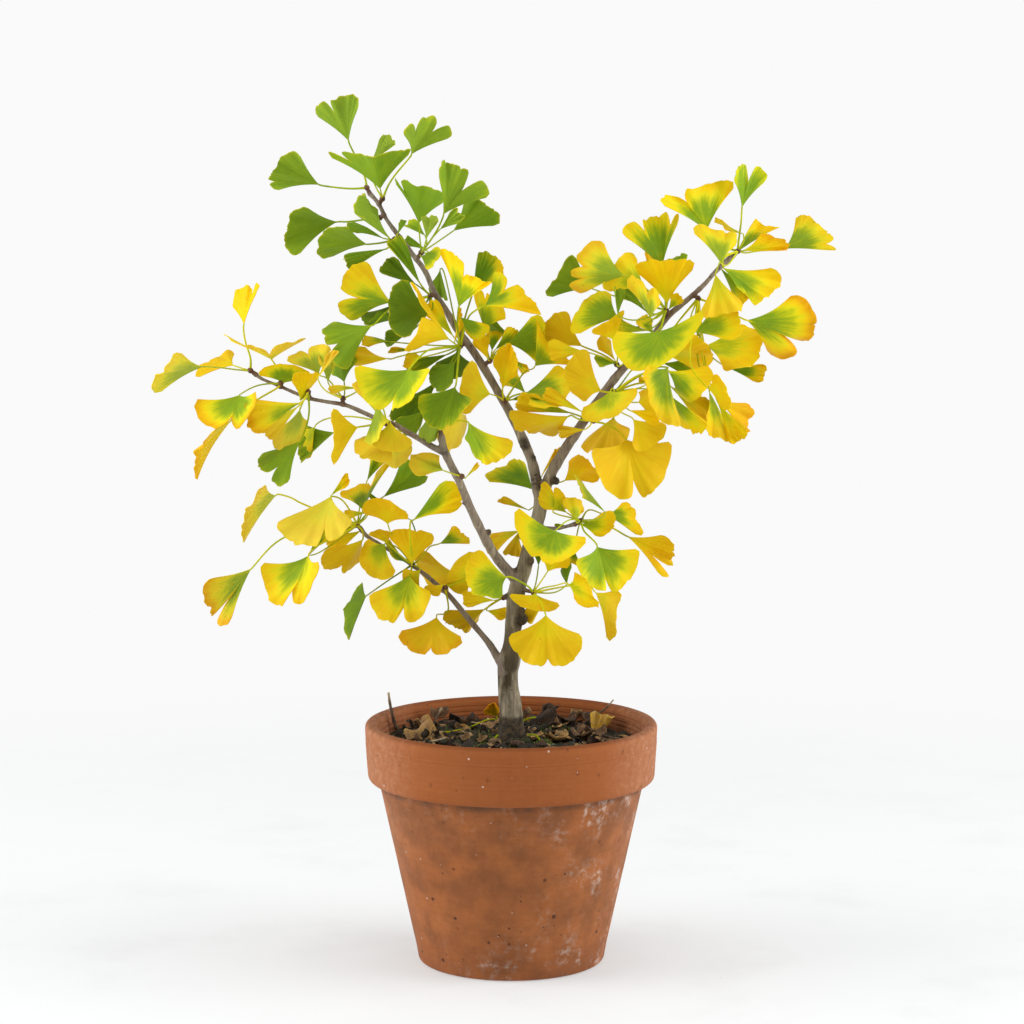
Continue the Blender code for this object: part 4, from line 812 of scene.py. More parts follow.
earth = groundMaterial()
makePiece("pottingSoil", makeSoilMesh(), [earth], ["soil"], 70)
makePiece("soilCrumbs", makeCrumbMesh(soil["crumbs"], soil["crumbSizes"], 12), [earth], [], 35)
makePiece("soilClods", makeCrumbMesh(soil["clods"], soil["clodSizes"], 31, 3), [earth], [], 60)
makePiece("barkChips", makeChipMesh(), [chipMaterial()], [], 40)
whiteGrit = makeCrumbMesh(soil["grit"], soil["gritSizes"], 77, 2)
makePiece("whiteGrit", whiteGrit, [gritMaterial()], [], 40)
makePiece("mossCushions", makeMossMesh(), [mossMaterial()], [], 80)
print("soil filled in")


# the tree: its stem, branches, scars and the short spurs that carry the leaves

wood = {
    "sightDistance": 2000.0,
    "sightHeight": 545.0,
    "branchSpread": 2.4,
    "clearance": 0.3 * mm,
    "hubRadius": 2.1 * mm,
    "spurRadius": 1.7 * mm,
    "spurTipRadius": 1.5 * mm,
    "spurRoot": 1.2 * mm,
    "stemSides": 24,
    "branchSides": 16,
    "spurSides": 14,
    "spurSteps": 12,
    "scaleRing": 0.14 * mm,
    "scaleSpacing": 0.55 * mm,
    "gridSize": 0.00062,
    "barkRelief": 0.00030,
    "collarRelief": 0.00065,
    "collarTop": 0.1695,
    "lowBark": tint(76, 65, 43),
    "bark": tint(150, 138, 108),
    "paleBark": tint(186, 174, 146),
    "darkBark": tint(56, 44, 31),
    "youngBark": tint(152, 134, 118),
    "budBark": tint(92, 56, 36),
    "scabDark": tint(22, 16, 8),
    "scabLight": tint(80, 62, 38),
    "budShade": tint(70, 42, 26),
    "budScale": tint(126, 84, 52),
}

# each branch: the sides of its solid, then points of x, z, depth and radius in mm
branches = {
    "stem": (10, (
        (0, 103, 0, 9.5), (0, 150, 0, 9.5), (0, 158, 0, 9.3), (0, 167, 0, 8.5), (-0.6, 176, 0, 7.9),
        (-2, 188, 0, 7.2), (-2.4, 200, 0, 7.2), (-1, 209, 0, 7.5), (0.6, 219, 0, 6.3), (1.2, 229, 0, 5.9),
        (2.6, 240, 0, 6.4), (3.2, 251, 0, 6.4), (5, 261, 0, 5.7), (8.4, 270, 0, 5.4), (11, 281, 0, 5.0),
        (14, 292, 0, 4.8), (17.5, 303, 0, 4.8), (19.8, 313, 0, 4.9), (20.4, 325, 0, 5.4),
    )),
    "leader_left": (6, (
        (20, 318, 0, 4.6), (17, 331, 0.5, 3.9), (14, 344, 1, 3.6), (7.5, 360, 1.5, 3.4), (1, 374, 2, 3.2),
        (-7, 388, 2.5, 3.0), (-15, 402, 3, 2.8), (-25, 418, 3.5, 2.8), (-36, 433, 4, 2.6),
        (-43, 445, 4.5, 2.4), (-52, 459, 5, 2.1), (-58, 473, 6, 1.9), (-67, 485, 7.5, 1.8),
        (-76, 497, 9, 1.7), (-84, 508, 11, 1.5), (-89, 518, 12, 1.5), (-95, 525, 14, 1.7),
    )),
    "leader_right": (6, (
        (21, 318, 0, 4.4), (26, 334, -1, 3.9), (35, 350, -2, 3.7), (46, 367, -3.5, 3.4),
        (57, 383, -4, 3.1), (69.5, 400, -5, 2.9), (81, 413, -5.5, 2.6), (96, 430, -6.5, 2.3),
        (106, 443, -7, 2.2), (119, 454, -6, 1.9), (130, 464, -4, 1.7), (136, 471, -3, 1.6),
        (143, 478, -1.5, 2.0), (149, 483, 0, 2.2),
    )),
    "branch_left": (6, (
        (5, 262, 0, 4.0), (-3, 270, -1, 3.7), (-11, 280, -3, 3.4), (-17, 290, -5, 3.3),
        (-22, 300, -7, 3.1), (-29, 315, -10, 2.9), (-35, 330, -13, 2.8), (-41, 342, -15, 2.7),
        (-45.5, 352, -16, 2.7), (-47.5, 362, -16, 2.4),
    )),
    "side_branch": (5, (
        (-44.5, 350, -16, 2.4), (-53, 354, -16, 2.2), (-61, 359, -15.5, 2.1), (-70, 364, -14.5, 1.9),
        (-78, 369, -13.5, 1.8), (-88, 372, -12.5, 1.7), (-99, 377, -11, 1.6), (-112, 382.5, -9.5, 1.5),
        (-126, 385, -8, 1.4), (-138, 387.5, -6.5, 1.3), (-149, 392, -5.5, 1.3), (-158, 396, -4.5, 1.2),
        (-168, 400, -3.5, 1.2), (-173, 403.5, -3, 1.4),
    )),
    "branch_low": (6, (
        (-3, 200, 0, 3.6), (-9, 209, 1, 2.9), (-15, 219, 2, 2.4), (-24, 230, 3.5, 2.1), (-33, 241, 5, 2.0),
        (-43, 253, 7, 1.9), (-52, 261, 8, 1.7), (-61, 268.5, 9, 1.6), (-70, 275, 10.5, 1.5),
        (-80, 281.5, 12, 1.4), (-90, 288, 13, 1.3), (-98, 293, 14, 1.5), (-102, 297.5, 14, 1.7),
    )),
    "twig_right": (5, (
        (15, 300, 0, 2.2), (24, 298.5, -1, 1.6), (33, 298.8, -2.5, 1.3), (40, 300.5, -3.5, 1.4),
        (43.5, 301.5, -4, 1.7),
    )),
}

# old scars and cut stubs: x, z, depth and radius in mm
scars = (
    (7.0, 236, -1.3, 4.3), (6.5, 241, -1.2, 3.2), (13.0, 276, -1.0, 2.9), (-3.2, 252, -0.4, 2.2),
    (3.0, 269.5, -0.4, 2.2), (-15.5, 296, -5.5, 2.2), (-31.8, 316, -10.0, 1.7), (15.2, 347, 0.5, 1.9),
    (8.5, 356, 0.5, 3.3), (30, 331, -2.0, 2.9),
)

# dark rough bark round the forks: x, z, depth and radius in mm
roughSpots = ((18, 331, 0, 9.0), (6, 257, 0, 7.0), (7, 238, 0, 7.0), (-2, 203, 0, 6.0), (-46, 351, -38, 5.0))

# each leaf cluster's hub: the branch it sits on, then x, z and depth in mm
hubs = {
    "top": ("leader_left", -96.5, 528, 14),
    "high": ("leader_left", -86.5, 521.5, 10),
    "bud": ("leader_left", -88, 509, 12),
    "upper": ("leader_left", -78.5, 494.5, 7),
    "upper_right": ("leader_left", -60.5, 485.5, 4),
    "left_side": ("leader_left", -54.5, 456.5, 2),
    "left_mid": ("leader_left", -34.5, 422.5, 0),
    "centre_high": ("leader_left", -14.5, 412.5, 1),
    "centre": ("leader_left", -4.5, 385.5, -1),
    "right_low": ("leader_right", 54.5, 372.5, -5),
    "right_mid": ("leader_right", 70, 391.5, -6.5),
    "right_bud": ("leader_right", 73, 408.5, -5),
    "right_high": ("leader_right", 104.5, 446.5, -8),
    "right_upper": ("leader_right", 125, 455.5, -6),
    "right_tip": ("leader_right", 150.5, 484.5, 0),
    "left_inner": ("branch_left", -33.5, 334, -17),
    "stub": ("branch_left", -48, 365, -16),
    "side_inner": ("side_branch", -84, 369.5, -15),
    "side_mid": ("side_branch", -114, 385, -9.5),
    "side_outer": ("side_branch", -137.5, 391.5, -8.5),
    "side_far": ("side_branch", -156, 397.5, -6),
    "side_tip": ("side_branch", -175, 405, -3),
    "low_tip": ("branch_low", -103.5, 299.5, 14),
    "low_mid": ("branch_low", -67.5, 273.5, 7),
    "low_bud": ("branch_low", -45, 258, 5),
    "stem_right": ("stem", 15, 254.5, -3),
    "twig": ("twig_right", 45.9, 303, -4.3),
    "stem_left": ("stem", -5.5, 251, 3),
    "fork": ("stem", 21, 328, 8),
    "stem_high": ("stem", 7, 292.5, 2),
}


def seen(x, z, depth=0.0):
    # a reading in mm moved along its sight line by its depth
    scale = (wood["sightDistance"] + depth) / wood["sightDistance"]
    return Vector((x * scale, depth, wood["sightHeight"] + (z - wood["sightHeight"]) * scale)) * mm


def plainTube(points, radii, sides):
    # corners and faces for the touch test alone
    made = []
    for point, radius, (sideWay, otherWay) in zip(points, radii, waysAcross(points)):
        for side in range(sides):
            angle = 2 * math.pi * side / sides
            made.append(point + (sideWay * math.cos(angle) + otherWay * math.sin(angle)) * radius)
    faces = []
    for start in range(0, len(made) - sides, sides):
        for side in range(sides):
            beside = (side + 1) % sides
            faces.append((start + side, start + beside, start + sides + beside, start + sides + side))
    faces.append(tuple(range(sides)))
    faces.append(tuple(range(len(made) - sides, len(made))))
    return made, faces


def branchPath(name):
    return [seen(x, z, depth * wood["branchSpread"]) for x, z, depth, _ in branches[name][1]]


def branchRadii(name):
    return [radius * mm for _, _, _, radius in branches[name][1]]


def nearestOnBranch(name, point):
    path = branchPath(name)
    radii = branchRadii(name)
    best = None
    for at in range(len(path) - 1):
        step = path[at + 1] - path[at]
        share = min(max((point - path[at]).dot(step) / step.length_squared, 0), 1)
        place = path[at] + step * share
        away = (point - place).length
        if best is None or away < best[0]:
            best = (away, place, radii[at] + (radii[at + 1] - radii[at]) * share)
    return best[1], best[2]


def hubPlace(name):
    # where a hub lies, the branch point under it, the way out from there and the depth listed
    branch, x, z, depth = hubs[name]
    wanted = seen(x, z, depth * wood["branchSpread"])
    root, radius = nearestOnBranch(branch, wanted)
    out = (wanted - root).normalized()
    least = radius + wood["hubRadius"] + 2 * wood["clearance"]
    return root + out * max((wanted - root).length, least), root, out, depth


def plainSpur(name, wider=0):
    centre, root, out, _ = hubPlace(name)
    end = centre - out * (wood["hubRadius"] + wood["clearance"])
    radii = [wood["spurRadius"] + wider, wood["spurTipRadius"] + wider]
    return plainTube([root - out * wood["spurRoot"], end], radii, 5)


def fineBranch(name):
    # the rounded centre line of a branch with its radius at each point
    steps = 5 if name == "stem" else 6
    return smoothPath(branchPath(name), steps), smoothNumbers(branchRadii(name), steps)


def makeTreeMesh():
    # rounded tubes run into one another, and a fine remesh welds them into one skin
    mesh = bmesh.new()
    marks = []
    for name in branches:
        path, radii = fineBranch(name)
        swollen = []
        for at, radius in enumerate(radii):
            ripple = 1 + 0.06 * lumpy(path[at], 9, 4)
            if name != "stem":
                # the knuckle where each year's growth began
                ripple += 0.12 * max(0, math.sin(at * 0.9 + len(name))) ** 8
            swollen.append(radius * ripple)
        addTube(mesh, path, swollen, wood["stemSides"] if name == "stem" else wood["branchSides"])
        marks += [(point, radius) for point, radius in zip(path, radii)]
    for x, z, depth, radius in scars:
        knob = bmesh.ops.create_icosphere(mesh, subdivisions=3, radius=radius * mm)["verts"]
        centre = seen(x, z, depth * wood["branchSpread"])
        for vert in knob:
            vert.co = vert.co * (1 + 0.25 * lumpy(vert.co + centre, 2.2, 6)) + centre
    for name in hubs:
        centre, root, out, _ = hubPlace(name)
        length = (centre - root).length + wood["spurRoot"] - wood["hubRadius"] * 0.5
        path = []
        radii = []
        for step in range(wood["spurSteps"] + 1):
            share = step / wood["spurSteps"]
            path.append(root + out * (length * share - wood["spurRoot"]))
            # stacked rings of old bud scales
            ring = wood["scaleRing"] * math.sin(share * length / wood["scaleSpacing"] * math.pi)
            radii.append(blendNumber(wood["spurRadius"] * 1.15, wood["spurTipRadius"], share) + ring)
        addTube(mesh, path, radii, wood["spurSides"])
    data = bpy.data.meshes.new("treeTubes")
    mesh.to_mesh(data)
    mesh.free()
    rough = bpy.data.objects.new("treeTubes", data)
    bpy.context.scene.collection.objects.link(rough)
    welded = rough.modifiers.new("weld", "REMESH")
    welded.mode = "VOXEL"
    welded.voxel_size = wood["gridSize"]
    bpy.context.view_layer.update()
    skin = bpy.data.meshes.new_from_object(rough.evaluated_get(bpy.context.evaluated_depsgraph_get()))
    bpy.data.objects.remove(rough)
    mesh = bmesh.new()
    mesh.from_mesh(skin)
    for _ in range(3):
        bmesh.ops.smooth_vert(mesh, verts=mesh.verts, factor=0.5,
                              use_axis_x=True, use_axis_y=True, use_axis_z=True)
    carveBark(mesh, marks)
    return mesh


def findNearest(points):
    tree = kdtree.KDTree(len(points))
    for at, point in enumerate(points):
        tree.insert(point, at)
    tree.balance()
    return tree


def carveBark(mesh, marks):
    # furrows, pores and the rough collar, and what the bark's colours need to know
    near = findNearest([point for point, _ in marks])
    tips = findNearest([hubPlace(name)[0] for name in hubs])
    knots = findNearest([seen(x, z, depth * wood["branchSpread"]) for x, z, depth, _ in scars])
    layers = addLayers(mesh, "girth", "knot", "budWood", "furrow")
    mesh.normal_update()
    moves = []
    for vert in mesh.verts:
        radius = marks[near.find(vert.co)[1]][1]
        place = vert.co
        ragged = place.z + 0.0012 * lumpy(place, 5, 2)
        collar = smoothShare(wood["collarTop"] + 0.001, wood["collarTop"] - 0.0015, ragged)
        long = Vector((place.x * 1.0, place.y * 1.0, place.z * 0.16))
        crack = noise.turbulence(long / (2.1 * mm), 3, False) - 0.55
        ridges = lumpy(long, 1.5, 12)
        scab = noise.turbulence(Vector((place.x, place.y, place.z * 1.6)) / (3.0 * mm), 4, True)
        stemShare = smoothShare(2.2 * mm, 6 * mm, radius)
        relief = wood["barkRelief"] * (0.25 + 0.75 * stemShare) * (0.5 * crack + 0.5 * ridges)
        away = knots.find(place)
        scarRadius = scars[away[1]][3] * mm
        knotted = smoothShare(scarRadius * 1.9, scarRadius * 0.8, away[2])
        for x, z, depth, wide in roughSpots:
            reach = (place - seen(x, z, depth)).length / (wide * mm)
            if reach < 1.1:
                knotted = max(knotted, smoothShare(1.1, 0.3, reach) * smoothShare(0.1, 0.5, scab))
        relief += knotted * 0.00045 * (scab - 0.4)
        relief = blendNumber(relief, wood["collarRelief"] * (scab - 0.35), collar)
        moves.append(vert.normal * relief)
        vert[layers["girth"]] = stemShare
        vert[layers["knot"]] = max(knotted, collar)
        vert[layers["budWood"]] = smoothShare(7.5 * mm, 3.0 * mm, tips.find(place)[2])
        vert[layers["furrow"]] = crack
    for vert, move in zip(mesh.verts, moves):
        vert.co += move


def barkMaterial():
    made, tree, place = newMaterial("ginkgoBark")
    girth, knot, bud, furrow = [attribute(tree, name) for name in ("girth", "knot", "budWood", "furrow")]
    lowDown = rangeNode(tree, splitPlace(tree, place)[2], 0.19, 0.28)
    colour = mixNode(tree, lowDown, wood["lowBark"], wood["bark"])
    colour = mixNode(tree, girth, wood["youngBark"], colour)
    pale = cloudMask(tree, place, 110.0, 0.42, 0.66, detail=5.0, stretch=(1, 1, 0.3))
    paleShare = mathNode(tree, "MULTIPLY_ADD", girth, 0.55, 0.5)
    colour = layOver(tree, colour, pale, paleShare, wood["paleBark"])
    streaks = cloudMask(tree, place, 520.0, 0.45, 0.68, stretch=(1, 1, 0.12))
    pores = speckMask(tree, place, 330.0, 0.26, 0.16)
    for mask, share in ((streaks, 0.45), (rangeNode(tree, furrow, 0.05, -0.25), 0.28), (pores, 0.5)):
        colour = layOver(tree, colour, mask, share, wood["darkBark"])
    colour = layOver(tree, colour, bud, 0.8, wood["budBark"])
    scabs = cloudMask(tree, place, 260.0, 0.38, 0.66, detail=6.0)
    colour = layOver(tree, colour, knot, 0.85, mixNode(tree, scabs, wood["scabDark"], wood["scabLight"]))
    roughness = rangeNode(tree, girth, 0.0, 1.0, 0.62, 0.82)
    hollow = times(tree, pores, -1.0)
    normal = grainNormal(tree, place, 1500.0, 0.00035, Stretch=(1, 1, 0.35), Extra=hollow)
    return dress(made, colour, roughness, normal, 0.35)


makePiece("ginkgoWood", makeTreeMesh(), [barkMaterial()], ["tree"], 75)
print("tree grown")


# the leaves: how each was read, and how a blade is shaped

foliage = {
    "neckSpread": 2.2,
    "tipShare": 0.85,
    "growth": 1.07,
    "sideStraightness": 0.84,
    "axisShare": 0.9,
    "bend": 0.09,
    "wave": 0.05,
    "waves": 1.5,
    "slitWidth": 0.045,
    "smallReach": 28 * mm,
    "stalkBend": 5 * mm,
    "longStalk": 48 * mm,
    "shifts": (0, 3, -3, 6, -6, 9, -9, 13, -13, 17, -17, 22, -22, 28, -28),
    "flatness": (1.0, 0.6, 0.25, -0.6),
    "turnCost": 9,
    "touchCost": 10,
    "clearThickness": 2.4 * mm,
    "clearStalk": 2.2 * mm,
    "clearBranch": 1.1 * mm,
    "clearStart": 2.2 * mm,
    "thickness": 0.42 * mm,
    "flare": (0.92, 0.2),
    "swell": (1.0, 1.14),
    "lobe": 0.035,
    "columns": 48,
    "rows": 11,
    "smallColumns": 18,
    "smallRows": 8,
    "cornerWidth": 0.2,
    "cornerDrop": 0.2,
    "frill": 0.026,
    "pleat": 0.0026,
    "slitReach": 0.095,
    "slitColumns": (0, 0.007, 0.018, 0.034, 0.055, 0.08, 0.11),
    "leastColumn": 0.0045,
    "firstRow": 0.035,
    "mostCurl": 0.13,
    "mostFold": 0.12,
    "mostNicks": 3,
    "nickPlace": (0.14, 0.86),
    "nickDepth": (0.012, 0.04),
    "nickWidth": (0.022, 0.05),
    "scorchStart": 0.78,
    # the depths over which painted shade grows towards the back of the crown
    "crownShadeDepths": (-22 * mm, 26 * mm),
    "stalkSteps": 5,
    "stalkRipeness": (0.28, 0.5),
    "stalkRadius": 0.67 * mm,
    "stalkFoot": 1.05 * mm,
    "stalkSides": 8,
}

# each leaf by cluster: neck as x, z and depth, then two corners and the middle of its margin as x and z,
# how the corners tip (n near, f far, o even), reach or 0, slits, points of its stalk, 0 green to 1 yellow
leafRows = {
    "top": (
        ((-109, 560, 12), (-132, 579), (-102, 585.5), (-116, 587), "fn", 0, ((0.33, 0.45),),
         ((-98, 536), (-104, 549)), 0.05),
        ((-129, 531, 16), (-145, 550), (-161, 526), (-157, 541), "nf", 0, ((0.8, 0.3),), ((-108, 528),),
         0.05),
    ),
    "high": (
        ((-88, 528, 6), (-119, 549), (-71, 550), (-93, 547), "fn", 0, ((0.15, 0.3),), (), 0.1),
        ((-67, 551, 12), (-70, 565.5), (-40, 564.5), (-56, 574), "nf", 0, ((0.25, 0.35), (0.75, 0.3)),
         ((-81, 534),), 0.15),
        ((-94, 546, 16), (-88, 561), (-80, 555.5), None, "ff", 24, (), (), 0.1),
    ),
    "bud": (
        ((-117, 506, 14), (-141, 517.5), (-147, 487.5), (-149, 502), "nf", 0, (),
         ((-96, 508), (-110, 506)), 0.05),
    ),
    "upper": (
        ((-97, 491, 3), (-113, 507), (-124, 484), (-127, 494), "nf", 0, (), (), 0.05),
        ((-82, 495, 2), (-104, 509), (-94, 516), (-101, 521), "nf", 0, (), (), 0.05),
        ((-86, 495, 10), (-103, 504.5), (-104.5, 498.5), None, "fn", 24, (), (), 0.0),
        ((-76.5, 498, 6), (-75, 505), (-71, 504), None, "of", 12, (), (), 0.1),
        ((-84, 488, 12), (-110, 486), (-106, 476.5), None, "on", 0, (), (), 0.1),
    ),
    "upper_right": (
        ((-62, 505, 8), (-77, 531), (-46, 520), (-62, 526), "nf", 0, ((0.15, 0.3),), ((-61.5, 495),),
         0.05),
        ((-45.5, 511, 0), (-49, 538), (-15, 526.5), (-38, 542), "nf", 0, ((0.75, 0.4),),
         ((-57, 490), (-50, 500)), 0.1),
        ((-39, 500, 9), (-31, 518), (-12, 504.5), (-20, 514), "nf", 0, (), (), 0.0),
        ((-48, 501, 2), (-40, 513), (-35, 506), None, "nn", 20, (), (), 0.1),
        ((-58, 497, 14), (-71, 501.5), (-62, 505), None, "ff", 20, (), (), 0.2),
        ((-57, 495, 6), (-60, 506), (-50, 505), None, "ff", 18, (), (), 0.1),
        ((-61, 483, 9), (-50, 488), (-57, 475), None, "ff", 18, (), (), 0.3),
        ((-57, 487, 13), (-70, 491), (-66, 495), None, "of", 14, (), (), 0.0),
    ),
    "left_side": (
        ((-81, 452, -2), (-98, 481), (-107, 442), (-113, 461), "nf", 0, ((0.6, 0.4),), (), 0.5),
        ((-80, 450, 4), (-100, 446), (-91, 441), None, "of", 24, (), (), 0.1),
        ((-70, 441, 2), (-80, 446), (-94, 437), None, "fo", 0, (), (), 0.0),
        ((-55, 445, 0), (-71, 464), (-70, 429), (-78, 446), "fn", 0, (), (), 0.05),
        ((-64, 464, 14), (-77, 479), (-84, 469), None, "fo", 0, (), (), 0.1),
        ((-61, 464, 10), (-82, 488), (-71, 494), None, "of", 0, (), (), 0.2),
        ((-94, 436.5, -6), (-122, 439.5), (-113, 408), (-123, 424), "fn", 0, ((0.55, 0.2),),
         ((-70, 452), (-82, 448)), 0.15),
        ((-68, 432, 6), (-80, 434), (-81, 424), None, "of", 20, (), (), 0.0),
        ((-66, 420, 4), (-77, 422), (-80, 418), None, "oo", 0, (), (), 0.6),
    ),
    "left_mid": (
        ((-69, 407, -24), (-106, 408), (-58, 409), (-82, 380), "on", 0, ((0.45, 0.3),), (), 0.33),
        ((-38, 395, -26), (-64, 389), (-30.5, 388), (-48, 369), "on", 0, (), ((-36, 412),), 0.2),
        ((-42, 427, -12), (-64, 461), (-66, 421), (-56, 443), "of", 0, ((0.5, 0.35),), (), 0.95),
        ((-83, 414, 4), (-99.5, 421.5), (-105, 410), None, "nf", 0, (), ((-55, 420), (-76, 415.5)), 0.9),
        ((-82, 425.5, 2), (-94, 431), (-97, 424.5), None, "fo", 0, (), (), 0.6),
        ((-60, 415, -8), (-70, 409), (-66, 419), None, "of", 14, (), (), 0.8),
        ((-38, 412, -2), (-50, 410), (-40, 397), None, "fn", 20, (), (), 0.1),
        ((-36, 419, 10), (-50, 412), (-26, 410), (-40, 405), "ff", 20, (), (), 0.0),
        ((-35.5, 449, -6), (-44, 490), (-13, 465), (-26, 470), "on", 0, ((0.4, 0.25),), (), 0.5),
        ((-26, 458, 2), (-22, 480), (-4, 468), (-13, 482), "fn", 0, (), (), 0.3),
        ((-18, 449.5, -4), (-10, 473), (18, 444), (8, 457), "fo", 0, ((0.25, 0.3),),
         ((-30, 441), (-25, 446)), 0.6),
        ((-38.5, 425, -2), (-36.5, 445), (-34.5, 436), None, "on", 0, (), (), 0.95),
        ((-48, 474, 10), (-54, 464), (-42, 458), None, "ff", 0, (), (), 0.1),
        ((-34, 442, 0), (-18.5, 437), (-31, 430), None, "nf", 0, (), (), 0.4),
    ),
    "centre_high": (
        ((-18, 433, 2), (-27, 452.5), (-7.5, 441.5), (-17, 454), "fn", 0, ((0.45, 0.2),), (), 0.55),
        ((1, 429, 6), (-12, 437), (-8, 427), None, "nf", 16, (), (), 0.1),
        ((-3, 424.5, -2), (14, 442.5), (16, 415), (18, 430), "nf", 0, (), (), 0.3),
        ((-2, 416, 8), (9, 407.5), (4, 406), None, "on", 14, (), (), 0.4),
        ((-16, 414, 9), (-25, 423), (-15, 426), None, "of", 14, (), (), 0.9),
        ((-13, 419.5, 5), (-17, 428), (-7, 429), None, "ff", 12, (), (), 0.4),
    ),
    "centre": (
        ((-6, 393, 9), (-12, 412), (4, 404), (-1, 421), "ff", 0, (), (), 0.9),
        ((-14, 390, 8), (-24, 411), (-28, 379), (-31, 392), "nf", 0, (), (), 0.85),
        ((9.5, 391, 0), (5, 403), (-4, 397.5), None, "fn", 16, (), (), 0.4),
        ((10, 391, -4), (33, 408), (15, 379), (36, 388), "fn", 0, (), (), 0.4),
        ((-1, 386, 0), (6, 389), (7, 385), None, "no", 0, (), (), 0.2),
        ((16, 409, -3), (17, 437), (39, 411), (24, 421), "nf", 0, (), ((6.5, 402), (10, 406)), 0.55),
    ),
    "right_low": (
        ((39, 375, -12), (0, 382), (32, 368.5), (13, 365), "of", 0, (), ((46, 372.5),), 0.9),
        ((69.5, 374.5, 6), (47, 359), (80, 365), (60, 353), "of", 0, (), (), 0.85),
        ((78, 359.5, -2), (55, 350), (110, 355), (84, 321), "no", 0, ((0.52, 0.3),), (), 0.95),
        ((50, 366, 6), (36, 368.5), (37, 361), None, "fo", 0, (), (), 0.9),
    ),
    "right_mid": (
        ((67, 392, -14), (50, 380), (84.5, 392), (64, 376), "on", 0, (), (), 0.6),
        ((61, 392, -9), (50, 420), (48, 385.5), (38.5, 403), "of", 0, (), (), 0.9),
        ((82.5, 373, -2), (84, 357.5), (103, 371.5), (95, 359), "nf", 0, (), ((71, 379.5), (80, 375.5)),
         0.9),
        ((86, 384.5, -1), (88, 392.5), (97, 372), (97, 385), "fn", 0, (), ((77, 385),), 0.9),
        ((92, 398, 2), (88, 402), (88, 397), None, "fo", 0, (), (), 0.85),
        ((106, 408, -14), (91.5, 408), (113, 369), (95, 385), "no", 0, (), (), 0.45),
        ((106, 406, -12), (134, 406), (113, 386), (128, 391), "of", 0, (), (), 0.5),
        ((109, 388, -8), (129, 373), (113, 374), (122, 369), "of", 0, (), (), 0.5),
    ),
    "right_bud": (
        ((48, 422.5, -2), (37, 447.5), (19, 423), (22, 434), "nf", 0, (), ((64, 416),), 0.95),
        ((70.5, 426, -12), (56, 431.5), (75.5, 444), (66, 437), "on", 0, (), (), 0.85),
        ((70, 413, -6), (59.5, 421), (68, 419), (64, 427), "fn", 0, (), (), 0.8),
        ((72, 411, -4), (60, 416), (62, 409), None, "on", 0, (), (), 0.2),
        ((75, 410, 0), (77, 416), (84, 417), None, "ff", 0, (), (), 0.6),
    ),
    "right_high": (
        ((101.5, 475, -2), (74, 499.5), (111.5, 508.5), (95, 507), "nf", 0, ((0.3, 0.25), (0.8, 0.2)), (),
         0.35),
        ((101, 433, -20), (73, 432), (128, 446), (96, 411.5), "no", 0, (), (), 0.35),
        ((94, 441, -12), (80, 463.5), (100, 451), (91, 461), "on", 0, ((0.6, 0.35),), (), 0.55),
        ((96, 431, -10), (86, 436), (95, 440), None, "of", 16, (), (), 0.55),
        ((92, 445, -4), (72.5, 458), (78, 465), None, "on", 0, (), (), 0.1),
        ((90, 461.5, -6), (84, 481), (66, 460), (74, 476), "fn", 0, (), (), 0.6),
        ((76, 470, -14), (59, 492.5), (46, 457), (44, 475), "of", 0, ((0.45, 0.15), (0.7, 0.2)), (), 0.5),
        ((55, 461, -4), (43, 482), (28, 458.5), (35, 468), "nf", 0, (), (), 0.1),
        ((72, 442, -7), (66, 459), (46.5, 433), (51, 448), "fo", 0, (), ((86, 434), (76, 438.5)), 0.35),
        ((72, 443, -4), (68, 458), (75, 455), None, "ff", 18, (), (), 0.0),
        ((95, 470, 4), (90, 481), (99, 479), (94, 484), "ff", 20, (), (), 0.8),
        ((105, 451, -4), (86, 472), (121, 474), (103, 475), "on", 0, (), (), 0.85),
        ((108, 465, 2), (106.5, 475), (119, 478), (113, 480), "fn", 18, (), (), 0.1),
        ((106, 447, 2), (108, 456.5), (115, 452), None, "ff", 16, (), (), 0.6),
    ),
    "right_upper": (
        ((123, 432, -12), (140, 449), (145, 425), (149, 437), "fn", 0, (), (), 0.5),
        ((159, 440, -6), (195, 450.5), (178, 411), (200, 428), "of", 0, ((0.68, 0.38),), ((136, 451),),
         0.5),
        ((131.5, 423, -5), (155, 436.5), (147, 404.5), (166, 420), "fn", 0, (), (), 0.65),
        ((106, 416, 0), (121, 428), (127, 406.5), (134, 417), "nf", 0, (), (), 0.8),
        ((133, 394, -6), (137, 402), (143, 381), (145, 390), "no", 0, (), (), 0.85),
        ((134, 392, -10), (131.5, 374), (148, 364.5), (138, 367), "no", 0, (), (), 0.6),
        ((140, 386, -2), (160, 382), (156, 363.5), (160, 371), "fo", 0, (), (), 0.85),
    ),
    "right_tip": (
        ((131.5, 500, -2), (102, 517), (145, 528), (125, 523.5), "nf", 0, ((0.3, 0.25),),
         ((142, 489), (135, 494)), 0.45),
        ((155, 515.5, 4), (148.5, 536.5), (168.5, 536), (157, 542.5), "nf", 0, ((0.65, 0.35),),
         ((153, 495), (154.5, 505)), 0.25),
        ((141, 478.5, -6), (124.5, 499), (151, 491.5), (140, 497), "on", 0, (), (), 0.5),
        ((156, 498, 2), (141, 506.5), (146, 501), None, "of", 0, (), (), 0.7),
        ((152, 486, -2), (161.5, 505.5), (177, 500.5), (166, 501), "nf", 0, (), (), 0.5),
        ((155, 486.5, 6), (170, 497.5), (180, 486.5), (183, 491), "fo", 0, (), (), 0.75),
        ((184, 488, 6), (193, 507), (214, 487.5), (205, 499), "fo", 0, ((0.85, 0.2),),
         ((158, 485), (168, 487)), 0.4),
        ((143, 475, -12), (179, 471), (154, 456), (172, 457), "on", 0, ((0.85, 0.2),), (), 0.45),
        ((137.5, 471, -6), (153.5, 452.5), (128, 447), (142, 449), "fn", 0, (), (), 0.75),
